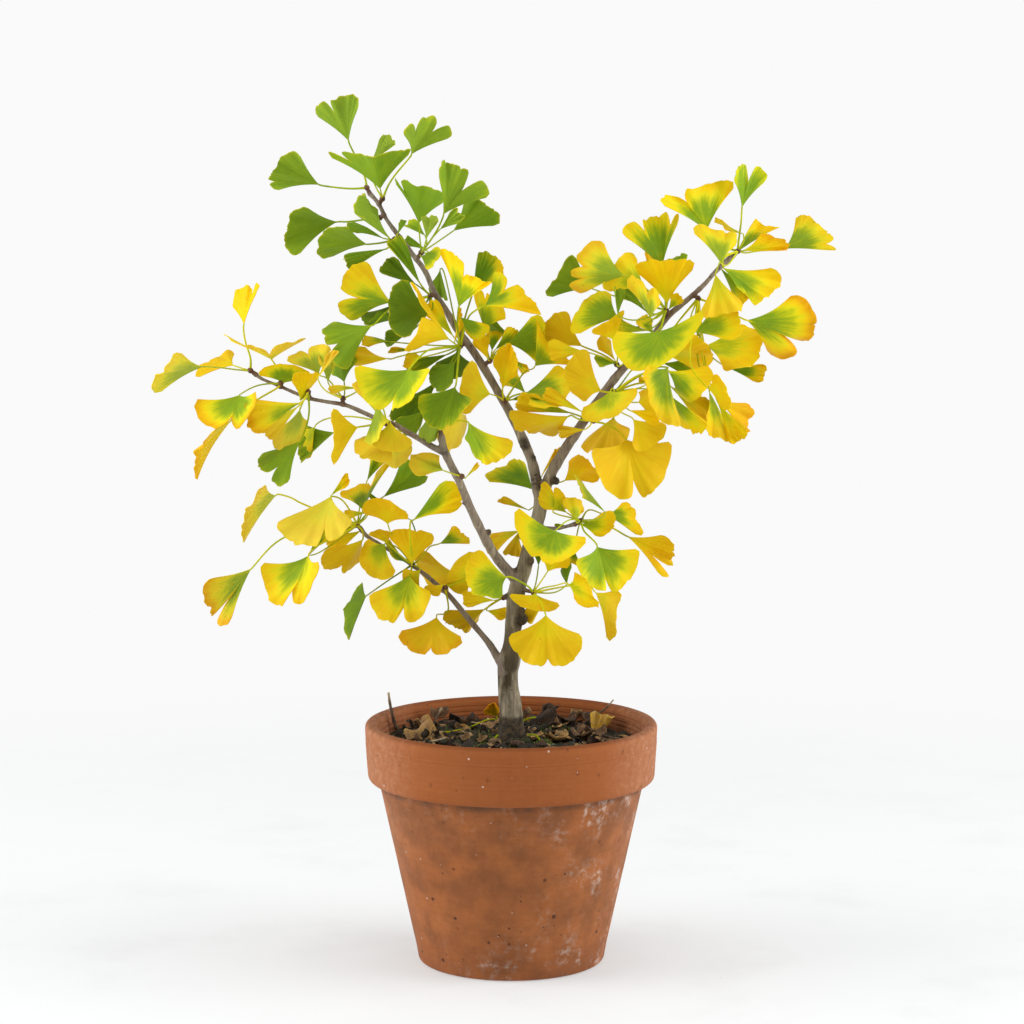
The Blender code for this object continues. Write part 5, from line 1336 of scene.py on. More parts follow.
    ),
    "left_inner": (
        ((-46, 338, -14), (-50, 349), (-60, 335.5), (-64, 345), "fo", 0, (), (), 0.65),
        ((-31, 333, -16), (-25, 341.5), (-23.5, 339), None, "oo", 0, (), (), 0.7),
    ),
    "stub": (
        ((-33, 380, -8), (-46, 364), (-28, 373), (-38, 356), "nf", 0, (), (), 0.9),
        ((-29, 371, -14), (-33, 356), (-2, 354), (-18, 344.5), "no", 0, (), (), 0.35),
        ((-60, 378, -10), (-75, 374), (-64, 365), None, "of", 18, (), (), 0.0),
        ((-55, 378, -8), (-62, 366), (-50, 366), (-56, 361), "ff", 0, (), (), 0.1),
    ),
    "side_inner": (
        ((-120, 364, -4), (-142, 368), (-139, 342), (-142, 355), "fo", 0, (), (), 0.15),
        ((-133, 368, 0), (-142, 366), (-137, 350), None, "fo", 0, (), ((-104, 375), (-124, 374)), 0.6),
        ((-104, 367.5, -12), (-119, 379), (-119, 345.5), (-117.5, 362), "no", 0, (), (), 0.95),
        ((-90, 385, -19), (-97, 370), (-88, 373), (-96, 362), "on", 0, (), (), 0.3),
        ((-78, 362, -15), (-101, 363), (-84, 347), (-102, 350), "fn", 0, (), (), 0.9),
        ((-82, 371, -20), (-94, 361), (-69, 359), (-82, 354.5), "on", 0, (), (), 0.9),
        ((-80, 362, -8), (-84, 347), (-68, 356), (-75, 345), "of", 0, (), (), 0.7),
    ),
    "side_mid": (
        ((-130, 404, -4), (-150, 410), (-124, 419), (-138, 417), "fn", 0, ((0.5, 0.2),), ((-124, 401),),
         0.45),
        ((-131, 401, -8), (-123, 415.5), (-118.5, 414.5), None, "on", 0, (), (), 0.85),
        ((-113, 398, 2), (-122, 404), (-107, 412), None, "fo", 0, (), (), 0.2),
        ((-103, 394, -10), (-118, 397), (-119, 393), None, "no", 0, (), (), 0.6),
    ),
    "side_outer": (
        ((-143, 384, -14), (-174, 386), (-170, 363), (-177, 375), "on", 0, (), (), 0.68),
        ((-143, 386, -10), (-146, 397), (-130, 397), (-137, 401), "nf", 0, (), (), 0.85),
        ((-143, 358, 0), (-170, 350), (-153, 329), (-166, 338), "fn", 0, ((0.6, 0.3),), (), 0.1),
        ((-143, 380, -4), (-161, 362), (-138, 369), (-151, 352), "of", 0, (), (), 0.55),
    ),
    "side_far": (
        ((-154, 397.5, 0), (-169, 403), (-137, 400), (-152, 408), "nf", 18, (), (), 0.4),
        ((-162, 413.5, -9), (-190, 425), (-142, 425), (-166, 416), "no", 0, (), (), 0.8),
        ((-184, 389.5, -10), (-213, 387), (-175, 391), (-192, 370), "on", 0, ((0.55, 0.25),), (), 0.42),
        ((-190, 372, -4), (-205, 362), (-212.5, 333), (-213, 348), "no", 0, (), ((-158, 394), (-173, 386)),
         0.9),
    ),
    "side_tip": (
        ((-180.5, 437, -3), (-189, 452), (-170, 460), (-177, 462), "fo", 0, ((0.6, 0.25),),
         ((-176, 415), (-179.5, 424)), 0.95),
        ((-188, 409.5, 2), (-188.5, 419), (-211, 405), (-199, 414), "fo", 0, (), (), 0.9),
        ((-209, 408.5, -6), (-223, 416), (-237.5, 394), (-232, 406), "no", 0, (),
         ((-186, 406.5), (-196, 408)), 0.45),
    ),
    "low_tip": (
        ((-160, 321, 14), (-171.5, 330), (-184, 292), (-180, 308), "no", 0, (), ((-142, 315), (-148, 319)),
         0.62),
        ((-122.5, 320.5, 4), (-159, 302), (-110.5, 304), (-134, 290), "on", 0, ((0.6, 0.35),), (), 0.82),
        ((-122.5, 321, 6), (-114, 334), (-112.5, 327), None, "oo", 0, (), (), 0.6),
        ((-138, 280, 0), (-169.5, 270), (-131.5, 272), (-152, 246), "on", 0, ((0.55, 0.25),),
         ((-118, 293), (-130, 288)), 0.58),
        ((-138, 280, 10), (-131, 298), (-126, 291), None, "fo", 0, (), (), 0.4),
        ((-177, 271, 14), (-207.5, 263), (-194, 234), (-204, 245), "nf", 0, ((0.7, 0.45),),
         ((-140, 297), (-160, 290)), 0.52),
        ((-101, 291, 14), (-129, 283), (-101, 280), (-119, 270), "of", 0, ((0.55, 0.2),), (), 0.9),
        ((-98, 309, 10), (-109, 311.5), (-110, 306), None, "no", 0, (), (), 0.6),
        ((-101, 311, 10), (-114, 320.5), (-83, 343), (-97, 329), "no", 0, ((0.5, 0.2),), (), 0.5),
        ((-87, 320, 14), (-74, 341), (-62, 327.5), (-66, 334), "of", 0, (), ((-92, 316),), 0.1),
        ((-103, 299, 12), (-112, 302), (-111.5, 298.5), None, "on", 0, (), (), 0.3),
    ),
    "low_mid": (
        ((-84, 301.5, 6), (-98.5, 309), (-71, 306), (-88, 316), "fn", 0, (), ((-80, 291), (-82, 295)),
         0.9),
        ((-68, 304, 10), (-92, 316.5), (-85, 313), None, "of", 0, (), (), 0.0),
        ((-67, 304, 4), (-48, 329.5), (-38, 311), (-37, 323), "fo", 0, (), ((-68.5, 285),), 0.5),
        ((-68, 274, 14), (-82, 291), (-55, 288), (-66, 293), "fo", 0, (), (), 0.9),
        ((-71, 275, 16), (-83, 289), (-79, 277), None, "of", 0, (), (), 0.3),
        ((-84, 288, 6), (-95, 292), (-82, 294), None, "of", 0, (), (), 0.8),
        ((-86, 288, 4), (-97, 290), (-79.5, 269), (-97, 272.5), "fn", 0, (), (), 0.6),
        ((-69, 266.5, 4), (-100, 254), (-58.5, 255), (-78, 236), "on", 0, ((0.55, 0.3),), (), 0.56),
        ((-99, 252, 10), (-101.5, 260), (-109, 225.5), (-110, 243), "fo", 0, (), (), 0.12),
        ((-49, 288, 10), (-40, 297), (-31, 287.5), (-36, 293), "fo", 0, (), ((-61, 278), (-56, 286)), 0.5),
    ),
    "low_bud": (
        ((-39, 268, 14), (-56, 282), (-44, 256), (-61, 272), "of", 0, (), (), 0.9),
        ((-46, 260, 12), (-57, 259), (-49, 253), None, "fo", 0, (), (), 0.9),
        ((-24, 268, 14), (-27, 280), (-31, 254.5), (-40, 265), "of", 0, (), (), 0.7),
        ((-51, 237.5, 2), (-74, 227), (-36.5, 224), (-55, 216), "on", 0, ((0.5, 0.2),),
         ((-42, 240), (-47, 239.5)), 0.9),
    ),
    "stem_right": (
        ((-3, 265, -12), (-22, 284.5), (-8, 251), (-28, 262), "on", 0, (), ((12, 258.5), (5, 262.5)), 0.4),
        ((24.5, 268.5, -4), (20.5, 279), (38, 272), (32, 281), "no", 0, (), (), 0.85),
        ((18.5, 272.5, 0), (15.5, 281), (21.5, 280), None, "fo", 0, (), (), 0.2),
        ((38, 260, 2), (33, 267), (40, 272), None, "fo", 0, (), (), 0.1),
        ((39, 260, -2), (45, 268), (45, 251), (56, 249), "no", 0, (), ((22, 258), (30, 259)), 0.7),
        ((57.5, 254.5, -6), (70.5, 255), (66, 224.5), (70, 243), "no", 0, (), ((50, 261),), 0.8),
        ((17, 253, -14), (1, 253), (31, 247), (16, 244), "on", 0, (), (), 0.85),
        ((20, 245, -8), (12, 241), (19, 238), (14, 235), "of", 0, (), (), 0.85),
        ((23.5, 239, -12), (-1, 222), (49, 222), (25, 205), "on", 0, ((0.5, 0.15),), (), 0.9),
    ),
    "twig": (
        ((29.5, 311.5, -2), (29, 325), (37, 312), (36, 318), "of", 0, (), ((40, 306), (33, 307.5)), 0.65),
        ((44, 303, -4), (37, 315), (50, 311), None, "of", 0, (), (), 0.6),
        ((47, 301, -8), (63, 308), (58, 292.5), (66, 301), "no", 0, (), (), 0.6),
        ((65, 308, 0), (75.5, 315), (84.5, 294.5), (82, 305), "fo", 0, (), ((52, 312), (60, 309)), 0.5),
        ((79, 293, 2), (106, 292), (103.5, 266), (108, 279), "of", 0, ((0.78, 0.45),),
         ((66, 300), (72, 297)), 0.9),
        ((58.5, 286, -10), (46, 276), (87.5, 282), (67, 257), "no", 0, ((0.5, 0.4),),
         ((49, 297), (53, 293)), 0.35),
        ((43, 284, 4), (38, 280), (46.5, 275.5), None, "fo", 0, (), (), 0.5),
        ((30, 297, -20), (6, 310), (49, 292), (22, 280), "on", 0, ((0.45, 0.12),), (), 0.4),
        ((41, 300, -7), (32, 301.5), (33, 297.5), None, "oo", 0, (), (), 0.2),
        ((64, 309.5, 2), (45, 334), (47, 330), (52, 319), "of", 0, (), (), 0.3),
    ),
    "stem_left": (
        ((-18, 243, 12), (-46, 240), (-24, 232.5), (-36, 230.5), "of", 0, (), (), 0.9),
        ((-17, 242, 8), (-4, 244), (-9, 236), None, "fo", 0, (), (), 0.85),
    ),
    "fork": (
        ((36, 331, 10), (40, 345.5), (55.5, 330.5), (51, 341), "fo", 0, (), (), 0.85),
        ((20, 333, 10), (24, 344), (33, 353), None, "of", 0, (), (), 0.8),
        ((15, 325, 12), (-14, 332), (11, 341), (0, 340), "of", 0, (), (), 0.3),
        ((12, 311, 8), (-2, 318), (-5, 315), None, "of", 0, (), (), 0.7),
    ),
    "stem_high": (
        ((6, 297, 6), (-10, 297), (-12, 284.5), (-13, 291), "fo", 0, (), (), 0.75),
        ((5, 296, 10), (-5, 285), (7, 284), (1, 283), "of", 0, (), (), 0.85),
    ),
}

# smaller leaves behind them, which fill the crown and are settled last
innerLeaves = {
    "right_low": (
        ((41, 377, 1), (14, 392), (6, 380), (8, 387), "of", 0, (), (), 0.6),
        ((48, 378, -1), (30, 392), (27, 384), None, "oo", 0, (), (), 0.75),
    ),
    "left_mid": (
        ((-50, 399, 6), (-80, 385), (-65, 367), (-77, 372), "of", 0, (), (), 0.1),
        ((-43, 417, 7), (-68, 414), (-66, 402), None, "oo", 0, (), (), 0.3),
        ((-39, 429, 5), (-57, 443), (-47, 449), None, "of", 0, (), (), 0.65),
    ),
    "right_tip": (
        ((141, 475, 5), (157, 462), (150, 453), None, "no", 0, (), (), 0.5),
    ),
    "right_mid": (
        ((107, 396, 1), (133, 380), (125, 371), (133, 373), "of", 0, (), (), 0.65),
        ((102, 411, 2), (121, 414), (119, 402), None, "oo", 0, (), (), 0.35),
        ((80, 379, 1), (97, 380), (94, 370), None, "oo", 0, (), (), 0.95),
    ),
    "side_outer": (
        ((-144, 382, -3), (-168, 371), (-160, 360), None, "of", 0, (), (), 0.8),
    ),
    "low_tip": (
        ((-102, 297, 19), (-121, 294), (-117, 282), None, "of", 0, (), (), 0.75),
        ((-98, 331, 20), (-95, 348), (-86, 344), None, "oo", 0, (), (), 0.45),
    ),
    "right_upper": (
        ((140, 384, 0), (157, 368), (146, 362), None, "no", 0, (), (), 0.7),
        ((148, 407, 0), (167, 410), (164, 399), None, "oo", 0, (), (), 0.5),
    ),
    "side_inner": (
        ((-91, 377, -9), (-105, 392), (-95, 395), None, "oo", 0, (), (), 0.75),
    ),
    "low_mid": (
        ((-62, 270, 13), (-72, 270), (-63, 256), None, "of", 0, (), (), 0.8),
    ),
    "stem_left": (
        ((-11, 249, 9), (-28, 255), (-27, 245), None, "oo", 0, (), (), 0.85),
    ),
    "right_bud": (
        ((49, 419, 2), (31, 426), (32, 413), None, "oo", 0, (), (), 0.75),
    ),
    "centre_high": (
        ((-11, 420, 7), (-4, 433), (3, 427), None, "no", 0, (), (), 0.4),
    ),
    "twig": (
        ((38, 309, 3), (26, 327), (23, 312), None, "no", 0, (), (), 0.6),
    ),
    "side_mid": (
        ((-124, 398, -5), (-130, 412), (-118, 412), None, "of", 0, (), (), 0.5),
    ),
    "right_high": (
        ((92, 433, -2), (72, 441), (72, 430), None, "oo", 0, (), (), 0.55),
    ),
}

# by cluster and row: how far a leaf's yellow leans to its second corner, how scorched its margin is,
# and how deep its colour is where that isn't left to chance, which paints shade when high and a pale sheen
# when low
leafMarks = {
    "top": {0: (0, 0, 0.2), 1: (0, 0, 0.26)},
    "high": {0: (0, 0, 0.25), 1: (0, 0, 0.2), 2: (0, 0, 0.15)},
    "upper": {0: (0, 0, 0.28), 1: (0, 0, 0.2)},
    "left_side": {
        0: (-0.3, 0), 1: (0, 0, 0.8), 2: (0, 0, 0.9), 3: (0, 0, 1.0), 5: (0, 0, 0.7), 7: (0, 0, 0.9),
    },
    "left_mid": {
        0: (0, 0, 0.42), 1: (0, 0, 0.75), 6: (0, 0, 0.8), 7: (0, 0, 1.0), 9: (0.15, 0), 10: (0.35, 0),
        11: (0.2, 0), 14: (0, 0, 1.0), 15: (0, 0, 0.7),
    },
    "right_low": {0: (0, 0, 0.7), 2: (0, 0, 0.62)},
    "right_mid": {1: (0, 0, 0.6), 5: (0, 0, 0.8), 6: (-0.3, 0), 9: (0, 0, 1.0)},
    "right_tip": {1: (0, 0, 0.4), 5: (0, 0.3), 6: (0, 0, 0.2), 7: (-0.25, 0)},
    "right_upper": {1: (0.1, 0.6, 0.25), 6: (0, 0.25)},
    "right_high": {0: (0, 0.08), 1: (0, 0, 0.3), 6: (0, 0.3)},
    "side_far": {1: (0, 0, 0.1), 2: (-0.1, 0.45, 0.3), 3: (0.1, 0.4)},
    "side_outer": {0: (-0.2, 0.45)},
    "side_tip": {2: (-0.15, 0, 0.05)},
    "stub": {1: (0.3, 0)},
    "low_mid": {2: (0.3, 0), 8: (0, 0, 1.0)},
    "low_tip": {0: (0, 0.1, 0.1), 1: (0, 0, 0.0), 3: (0.2, 0.15), 5: (-0.15, 0.5, 0.15)},
    "low_bud": {3: (0, 0.35, 0.9)},
    "stem_right": {0: (-0.3, 0), 6: (0, 0, 0.45), 8: (0, 0, 0.42)},
    "twig": {5: (0.1, 0, 0.35)},
}

# how far each part of the crown shifts the leaves' tone, and so their painted shade and sheen
shadeShifts = {"right": 0.14, "low": -0.14, "left": 0.06, "side": -0.05}

# a leaf opened wider: the middle of its margin in mm from its neck, its reach and its slits
openedLeaves = {("side_far", 1): ((-2, -13, 7.5), 30 * mm, ((0.5, 0.6),))}

# the clusters that are still green
greenSprays = ("top", "high", "bud", "upper", "upper_right")

leafColours = {
    "ramp": ((0.0, tint(114, 151, 28)), (0.2, tint(133, 164, 27)), (0.38, tint(184, 192, 18)),
             (0.56, tint(230, 218, 22)), (0.78, tint(247, 213, 8)), (1.0, tint(243, 193, 4))),
    # painted shade for leaves of high tone
    "shadedRamp": ((0.0, tint(56, 96, 2)), (0.2, tint(88, 122, 4)), (0.38, tint(136, 148, 6)),
                 (0.56, tint(192, 174, 6)), (0.78, tint(220, 177, 4)), (1.0, tint(214, 158, 4))),
    # painted sheen for leaves of low tone
    "pale": tint(222, 220, 110),
    "vein": tint(190, 200, 50),
    "underside": tint(168, 180, 62),
    "scorch": tint(186, 96, 8),
    "amber": tint(232, 148, 4),
    "rim": tint(232, 204, 30),
    "fleck": tint(120, 78, 20),
}


class Leaf:
    # one leaf: a waved fan-shaped blade on a thin stalk that starts in its cluster's hub

    def __init__(self, row, hub, shift=0, flatness=1.0):
        (x, z, depth), first, second, middle, codes, reach, slits, stalk, self.hue = row
        depth = hub[0].y / mm + (depth - hub[3]) * foliage["neckSpread"] + shift
        self.slits = slits
        lengths = [math.dist((x, z), first), math.dist((x, z), second)]
        if middle:
            lengths.append(math.dist((x, z), middle))
        reach = max(reach, 1.02 * max(lengths))
        tips = []
        for code, length in zip(codes, lengths):
            way = {"n": -1, "f": 1, "o": 0}[code]
            tips.append(way * foliage["tipShare"] * flatness * math.sqrt(reach**2 - length**2))
        self.neck = seen(x, z, depth)
        self.first = (seen(*first, depth + tips[0]) - self.neck) * foliage["growth"]
        self.second = (seen(*second, depth + tips[1]) - self.neck) * foliage["growth"]
        mean = (self.first + self.second) / 2
        if middle:
            bend = foliage["bend"] * reach * (1 if depth > hub[0].y / mm else -1)
            self.middle = (seen(*middle, depth + sum(tips) / 2 + bend) - self.neck) * foliage["growth"]
        else:
            size = 1.04 * (self.first.length + self.second.length) / 2
            self.middle = mean.normalized() * size
        self.across = (self.second - self.first).normalized()
        self.facing = self.across.cross(self.middle).normalized()
        self.reach = self.middle.length
        self.phase = x * 0.7 + z * 0.3
        self.centre = hub[0]
        marks = [seen(px, pz, hub[0].y / mm + (depth - hub[0].y / mm) * (at + 1) / (len(stalk) + 1))
                 for at, (px, pz) in enumerate(stalk)]
        self.stalk = self.stalkPath(marks)

    def margin(self, along):
        share = 1.0
        for place, depth in self.slits:
            share -= depth * math.exp(-(((along - place) / foliage["slitWidth"]) ** 2))
        return share

    def spot(self, along, out):
        # a point of the blade: along its margin, and out from its neck
        lead = self.first * (1 - along) * (1 - 2 * along)
        lead += self.middle * 4 * along * (1 - along)
        lead += self.second * along * (2 * along - 1)
        width = foliage["sideStraightness"] + (1 - foliage["sideStraightness"]) * out
        point = lead * width + self.middle * foliage["axisShare"] * (1 - width)
        turns = 2 * math.pi * foliage["waves"] * along + self.phase
        wave = math.sin(turns) * foliage["wave"] * self.reach * out**2
        return self.neck + point * out + self.facing * wave

    def stalkPath(self, marks):
        span = (self.neck - self.centre).length
        start = self.centre + (self.neck - self.centre).normalized() * wood["hubRadius"] * 0.4
        lean = self.middle.normalized() * -1
        if marks:
            marks = [mark for mark in marks if (mark - self.neck).length > foliage["stalkBend"]]
            return [start, *marks, self.neck + lean * foliage["stalkBend"] / 2, self.neck]
        inner = start + (self.neck - start) * 0.3
        outer = self.neck + lean * span * 0.45
        path = []
        steps = 3 if span > foliage["longStalk"] else 2
        for step in range(steps + 1):
            at = step / steps
            point = start * (1 - at) ** 3 + inner * 3 * at * (1 - at) ** 2
            point += outer * 3 * at**2 * (1 - at) + self.neck * at**3
            path.append(point)
        return path

    def marginPlaces(self):
        places = [0, 1]
        for place, _ in self.slits:
            places += [place - 0.07, place, place + 0.07]
        shares = (0.2, 0.4, 0.6, 0.8) if self.reach > foliage["smallReach"] else (0.33, 0.67)
        for place in shares:
            if all(abs(place - other) > 0.1 for other in places):
                places.append(place)
        return sorted(places)

    def coarseShape(self):
        # corners and faces of a plain stand-in, a little too thick, for the touch test alone
        outer = self.marginPlaces()
        inner = [0, self.slits[0][0] if self.slits else 0.5, 1]
        if self.reach < foliage["smallReach"] and not self.slits:
            inner = [0, 1]
        sheet = [(along, self.margin(along)) for along in outer]
        sheet += [(along, 0.5 * self.margin(along)) for along in inner]
        half = self.facing * foliage["clearThickness"] / 2
        side = self.across * foliage["clearStalk"] / 2
        middle = [self.spot(along, out) for along, out in sheet]
        middle += [self.neck - side, self.neck + side]
        count = len(middle)
        points = [point + half for point in middle] + [point - half for point in middle]
        rows = [list(range(len(outer))), list(range(len(outer), count - 2)), [count - 2, count - 1]]
        top = strip(rows[0], rows[1], outer, inner) + strip(rows[1], rows[2], inner, [0, 1])
        faces = list(top)
        faces += [tuple(corner + count for corner in reversed(face)) for face in top]
        for border in (rows[0] + [rows[1][-1], rows[2][1]], [rows[2][0], rows[1][0], rows[0][0]]):
            for first, second in zip(border, border[1:]):
                faces.append((first, second, second + count, first + count))
        ring = [count - 2, count - 1, 2 * count - 1, 2 * count - 2]
        path = shortened(self.stalk, foliage["clearStart"])
        across = self.across
        for at in range(len(path) - 2, -1, -1):
            before = path[max(at - 1, 0)]
            along = (path[at + 1] - before).normalized()
            across = (across - along * across.dot(along)).normalized()
            up = across.cross(along)
            start = len(points)
            wide = across * foliage["clearStalk"] / 2
            high = up * foliage["clearStalk"] / 2
            points += [path[at] - wide + high, path[at] + wide + high]
            points += [path[at] + wide - high, path[at] - wide - high]
            fresh = [start, start + 1, start + 2, start + 3]
            for corner in range(4):
                beside = (corner + 1) % 4
                faces.append((ring[corner], ring[beside], fresh[beside], fresh[corner]))
            ring = fresh
        faces.append(tuple(ring))
        return points, faces


def strip(first, second, firstPlaces, secondPlaces):
    faces = []
    at = 0
    beside = 0
    while at < len(first) - 1 or beside < len(second) - 1:
        ahead = firstPlaces[at + 1] if at < len(first) - 1 else 2
        other = secondPlaces[beside + 1] if beside < len(second) - 1 else 2
        if ahead <= other:
            faces.append((first[at], first[at + 1], second[beside]))
            at += 1
        else:
            faces.append((first[at], second[beside + 1], second[beside]))
            beside += 1
    return faces


def shortened(path, skipped):
    path = list(path)
    while skipped > 0 and len(path) > 2 and (path[1] - path[0]).length <= skipped:
        skipped -= (path[1] - path[0]).length
        path.pop(0)
    step = path[1] - path[0]
    path[0] = path[0] + step * min(skipped / step.length, 0.9)
    return path


def treeOf(points, faces):
    return BVHTree.FromPolygons([tuple(point) for point in points], faces)


def boxOf(points):
    low = [min(point[axis] for point in points) for axis in range(3)]
    high = [max(point[axis] for point in points) for axis in range(3)]
    return low, high


def boxesMeet(first, second):
    return all(first[0][axis] < second[1][axis] and second[0][axis] < first[1][axis] for axis in range(3))


def crossings(leaf, cluster, settled):
    points, faces = leaf.coarseShape()
    shape = treeOf(points, faces)
    box = boxOf(points)
    count = 0
    for other, otherBox, owner in settled:
        if boxesMeet(box, otherBox) and shape.overlap(other):
            count += 1 if owner == cluster else foliage["touchCost"]
    return count, shape, box


def settleLeaves():
    # every leaf is placed clear of the branches and of the leaves before it
    settled = []
    for name, (sides, _) in branches.items():
        radii = [radius + foliage["clearBranch"] for radius in branchRadii(name)]
        points, faces = plainTube(branchPath(name), radii, sides)
        settled.append((treeOf(points, faces), boxOf(points), name))
    for cluster in hubs:
        points, faces = plainSpur(cluster, wood["clearance"])
        settled.append((treeOf(points, faces), boxOf(points), "spur"))
    found = {}
    for cluster, rows in [*leafRows.items(), *innerLeaves.items()]:
        hub = hubPlace(cluster)
        found.setdefault(cluster, [])
        for row in rows:
            best = None
            for flatness in foliage["flatness"]:
                for shift in foliage["shifts"]:
                    cost = abs(shift) + foliage["turnCost"] * (1 - flatness)
                    if best and best[0] == 0 and cost >= best[1]:
                        continue
                    leaf = Leaf(row, hub, shift, flatness)
                    count, shape, box = crossings(leaf, cluster, settled)
                    if best is None or (count, cost) < best[:2]:
                        best = (count, cost, leaf, shape, box)
            settled.append((best[3], best[4], cluster))
            found[cluster].append(best[2])
    return found


# the finished blades

def rippled(leaf, along, turns, phases):
    return math.sin(2 * math.pi * turns * along + leaf.phase * phases)


def fineMargin(leaf, along):
    # slits with rounded lobes beside them, worn corners, a light frill and a few nicks
    share = 1.0 + foliage["lobe"] * math.sin(2 * math.pi * along) ** 2
    for place, depth in leaf.slits:
        away = abs(along - place) / foliage["slitReach"]
        if away < 1:
            share -= 1.1 * depth * (1 - away) ** 1.9
    corner = min(along, 1 - along) / foliage["cornerWidth"]
    if corner < 1:
        share -= foliage["cornerDrop"] * (1 - math.sqrt(1 - (1 - corner) ** 2))
    frill = 0.55 * rippled(leaf, along, 4.5, 3)
    frill += 0.3 * rippled(leaf, along, 9, 7) + 0.15 * rippled(leaf, along, 17, 5)
    share += foliage["frill"] * frill * math.sin(math.pi * along) ** 0.5
    for place, depth, wide in leaf.nicks:
        away = abs(along - place) / wide
        if away < 1:
            share -= depth * (0.5 + 0.5 * math.cos(math.pi * away))
    return max(share, 0.12)


def fineSpot(leaf, along, out):
    # the settled blade with a finer waist, small ripples and a curl at its margin
    edge = fineMargin(leaf, along)
    reach = out * edge
    inner, growing = foliage["flare"]
    waist = inner + growing * smoothShare(0.05, 0.9, reach) - 0.3 * math.exp(-reach / 0.06)
    place = leaf.spot(along, reach)
    axis = leaf.spot(0.5, reach)
    place = axis + (place - axis) * waist
    ripple = 0.03 * rippled(leaf, along, 3.5, 2.1) * out**3
    ripple += 0.01 * rippled(leaf, along, 8, 4.7) * out**4
    # shallow pleats along the veins
    ripple += foliage["pleat"] * rippled(leaf, along, 9, 1) * out
    ripple += leaf.fold * abs(2 * along - 1) ** 1.4 * out
    ripple += leaf.curl * out**3 * (0.4 + 0.6 * (2 * along - 1) ** 2)
    for slitPlace, depth in leaf.slits:
        away = (along - slitPlace) / 0.05
        ripple += 0.1 * depth * math.tanh(away) * math.exp(-away * away / 16) * out**2
    place += leaf.facing * ripple * leaf.reach
    return leaf.neck + (place - leaf.neck) * leaf.swell


# how ripe a leaf's heart and rim are at a hue, and where between them it turns
ripening = {
    "heart": ((0, 0.02), (0.5, 0.2), (1, 0.86)),
    "rim": ((0, 0.2), (0.12, 0.2), (0.4, 0.84), (1, 0.97)),
    "corners": 0.16,
    "greenStart": 1.1,
    "yellowStart": 0.52,
    "inwards": 0.36,
    "outwards": 0.19,
}


def alongStops(stops, value):
    # a straight line from each stop to the next
    for (low, first), (high, second) in zip(stops, stops[1:]):
        if value <= high:
            break
    return blendNumber(first, second, (value - low) / (high - low))


def ripeness(leaf, look, along, out):
    # 0 fresh green to 1 full yellow, ripening from the margin in
    hue = leaf.hue + look["lean"] * (2 * along - 1)
    hue = min(max(hue, 0), 1)
    away = out + ripening["corners"] * abs(2 * along - 1) ** 3
    start = blendNumber(ripening["greenStart"], ripening["yellowStart"], hue)
    turned = smoothShare(start - ripening["inwards"], start + ripening["outwards"], away)
    return blendNumber(alongStops(ripening["heart"], hue), alongStops(ripening["rim"], hue), turned)


def addBlade(mesh, leaf, look, layers):
    small = leaf.reach < foliage["smallReach"]
    count = foliage["smallColumns"] if small else foliage["columns"]
    columns = {at / count for at in range(count + 1)}
    for place, _ in leaf.slits:
        for step in foliage["slitColumns"]:
            columns |= {place - step, place + step}
    for place, _, wide in leaf.nicks:
        columns |= {place - wide, place - wide / 2, place, place + wide / 2, place + wide}
    spaced = []
    for column in sorted(columns):
        if 0 <= column <= 1 and (not spaced or column - spaced[-1] > foliage["leastColumn"]):
            spaced.append(column)
    spaced[-1] = 1.0
    count = foliage["smallRows"] if small else foliage["rows"]
    first = foliage["firstRow"]
    rows = [first + (1 - first) * (at / count) ** 0.85 for at in range(count + 1)]
    spots = addSheet(mesh, spaced, rows, lambda along, out: fineSpot(leaf, along, out))
    for vert, (along, out) in spots.items():
        vert[layers["leafPlace"]] = Vector((along, out, 0))
        vert[layers["ripe"]] = ripeness(leaf, look, along, out)
        vert[layers["scorch"]] = look["scorch"] * smoothShare(foliage["scorchStart"], 1.0, out)
        vert[layers["tone"]] = look["tone"]
    under = thicken(mesh, list(spots), foliage["thickness"])
    for vert in under:
        along, out, _ = vert[layers["leafPlace"]]
        vert[layers["leafPlace"]] = Vector((along, out, 1))


def addStalk(mesh, leaf, look, layers):
    path = smoothPath(leaf.stalk, foliage["stalkSteps"])
    for _ in range(6):
        middles = [(path[at - 1] + path[at] * 2 + path[at + 1]) / 4 for at in range(1, len(path) - 1)]
        path[1:-1] = middles
    if leaf.reach > foliage["smallReach"]:
        path += [fineSpot(leaf, 0.5, 0.06), fineSpot(leaf, 0.5, 0.15)]
    else:
        path.append(fineSpot(leaf, 0.5, 0.1))
    slender = 0.8 if leaf.reach < foliage["smallReach"] else 1
    radii = []
    last = len(path) - 1
    for at in range(len(path)):
        share = at / last
        foot = math.exp(-share / 0.09)
        radius = foliage["stalkRadius"] * slender * (1 - 0.15 * share)
        radii.append(radius + (foliage["stalkFoot"] - foliage["stalkRadius"]) * foot)
    radii[-1] *= 0.3
    if leaf.reach > foliage["smallReach"]:
        radii[-2] *= 0.8
    verts = addTube(mesh, path, radii, foliage["stalkSides"])
    ripe = blendNumber(*foliage["stalkRipeness"], leaf.hue)
    for vert in verts:
        vert[layers["leafPlace"]] = Vector((0.5, 0, 0))
        vert[layers["ripe"]] = ripe
        vert[layers["scorch"]] = 0
        vert[layers["tone"]] = look["tone"]


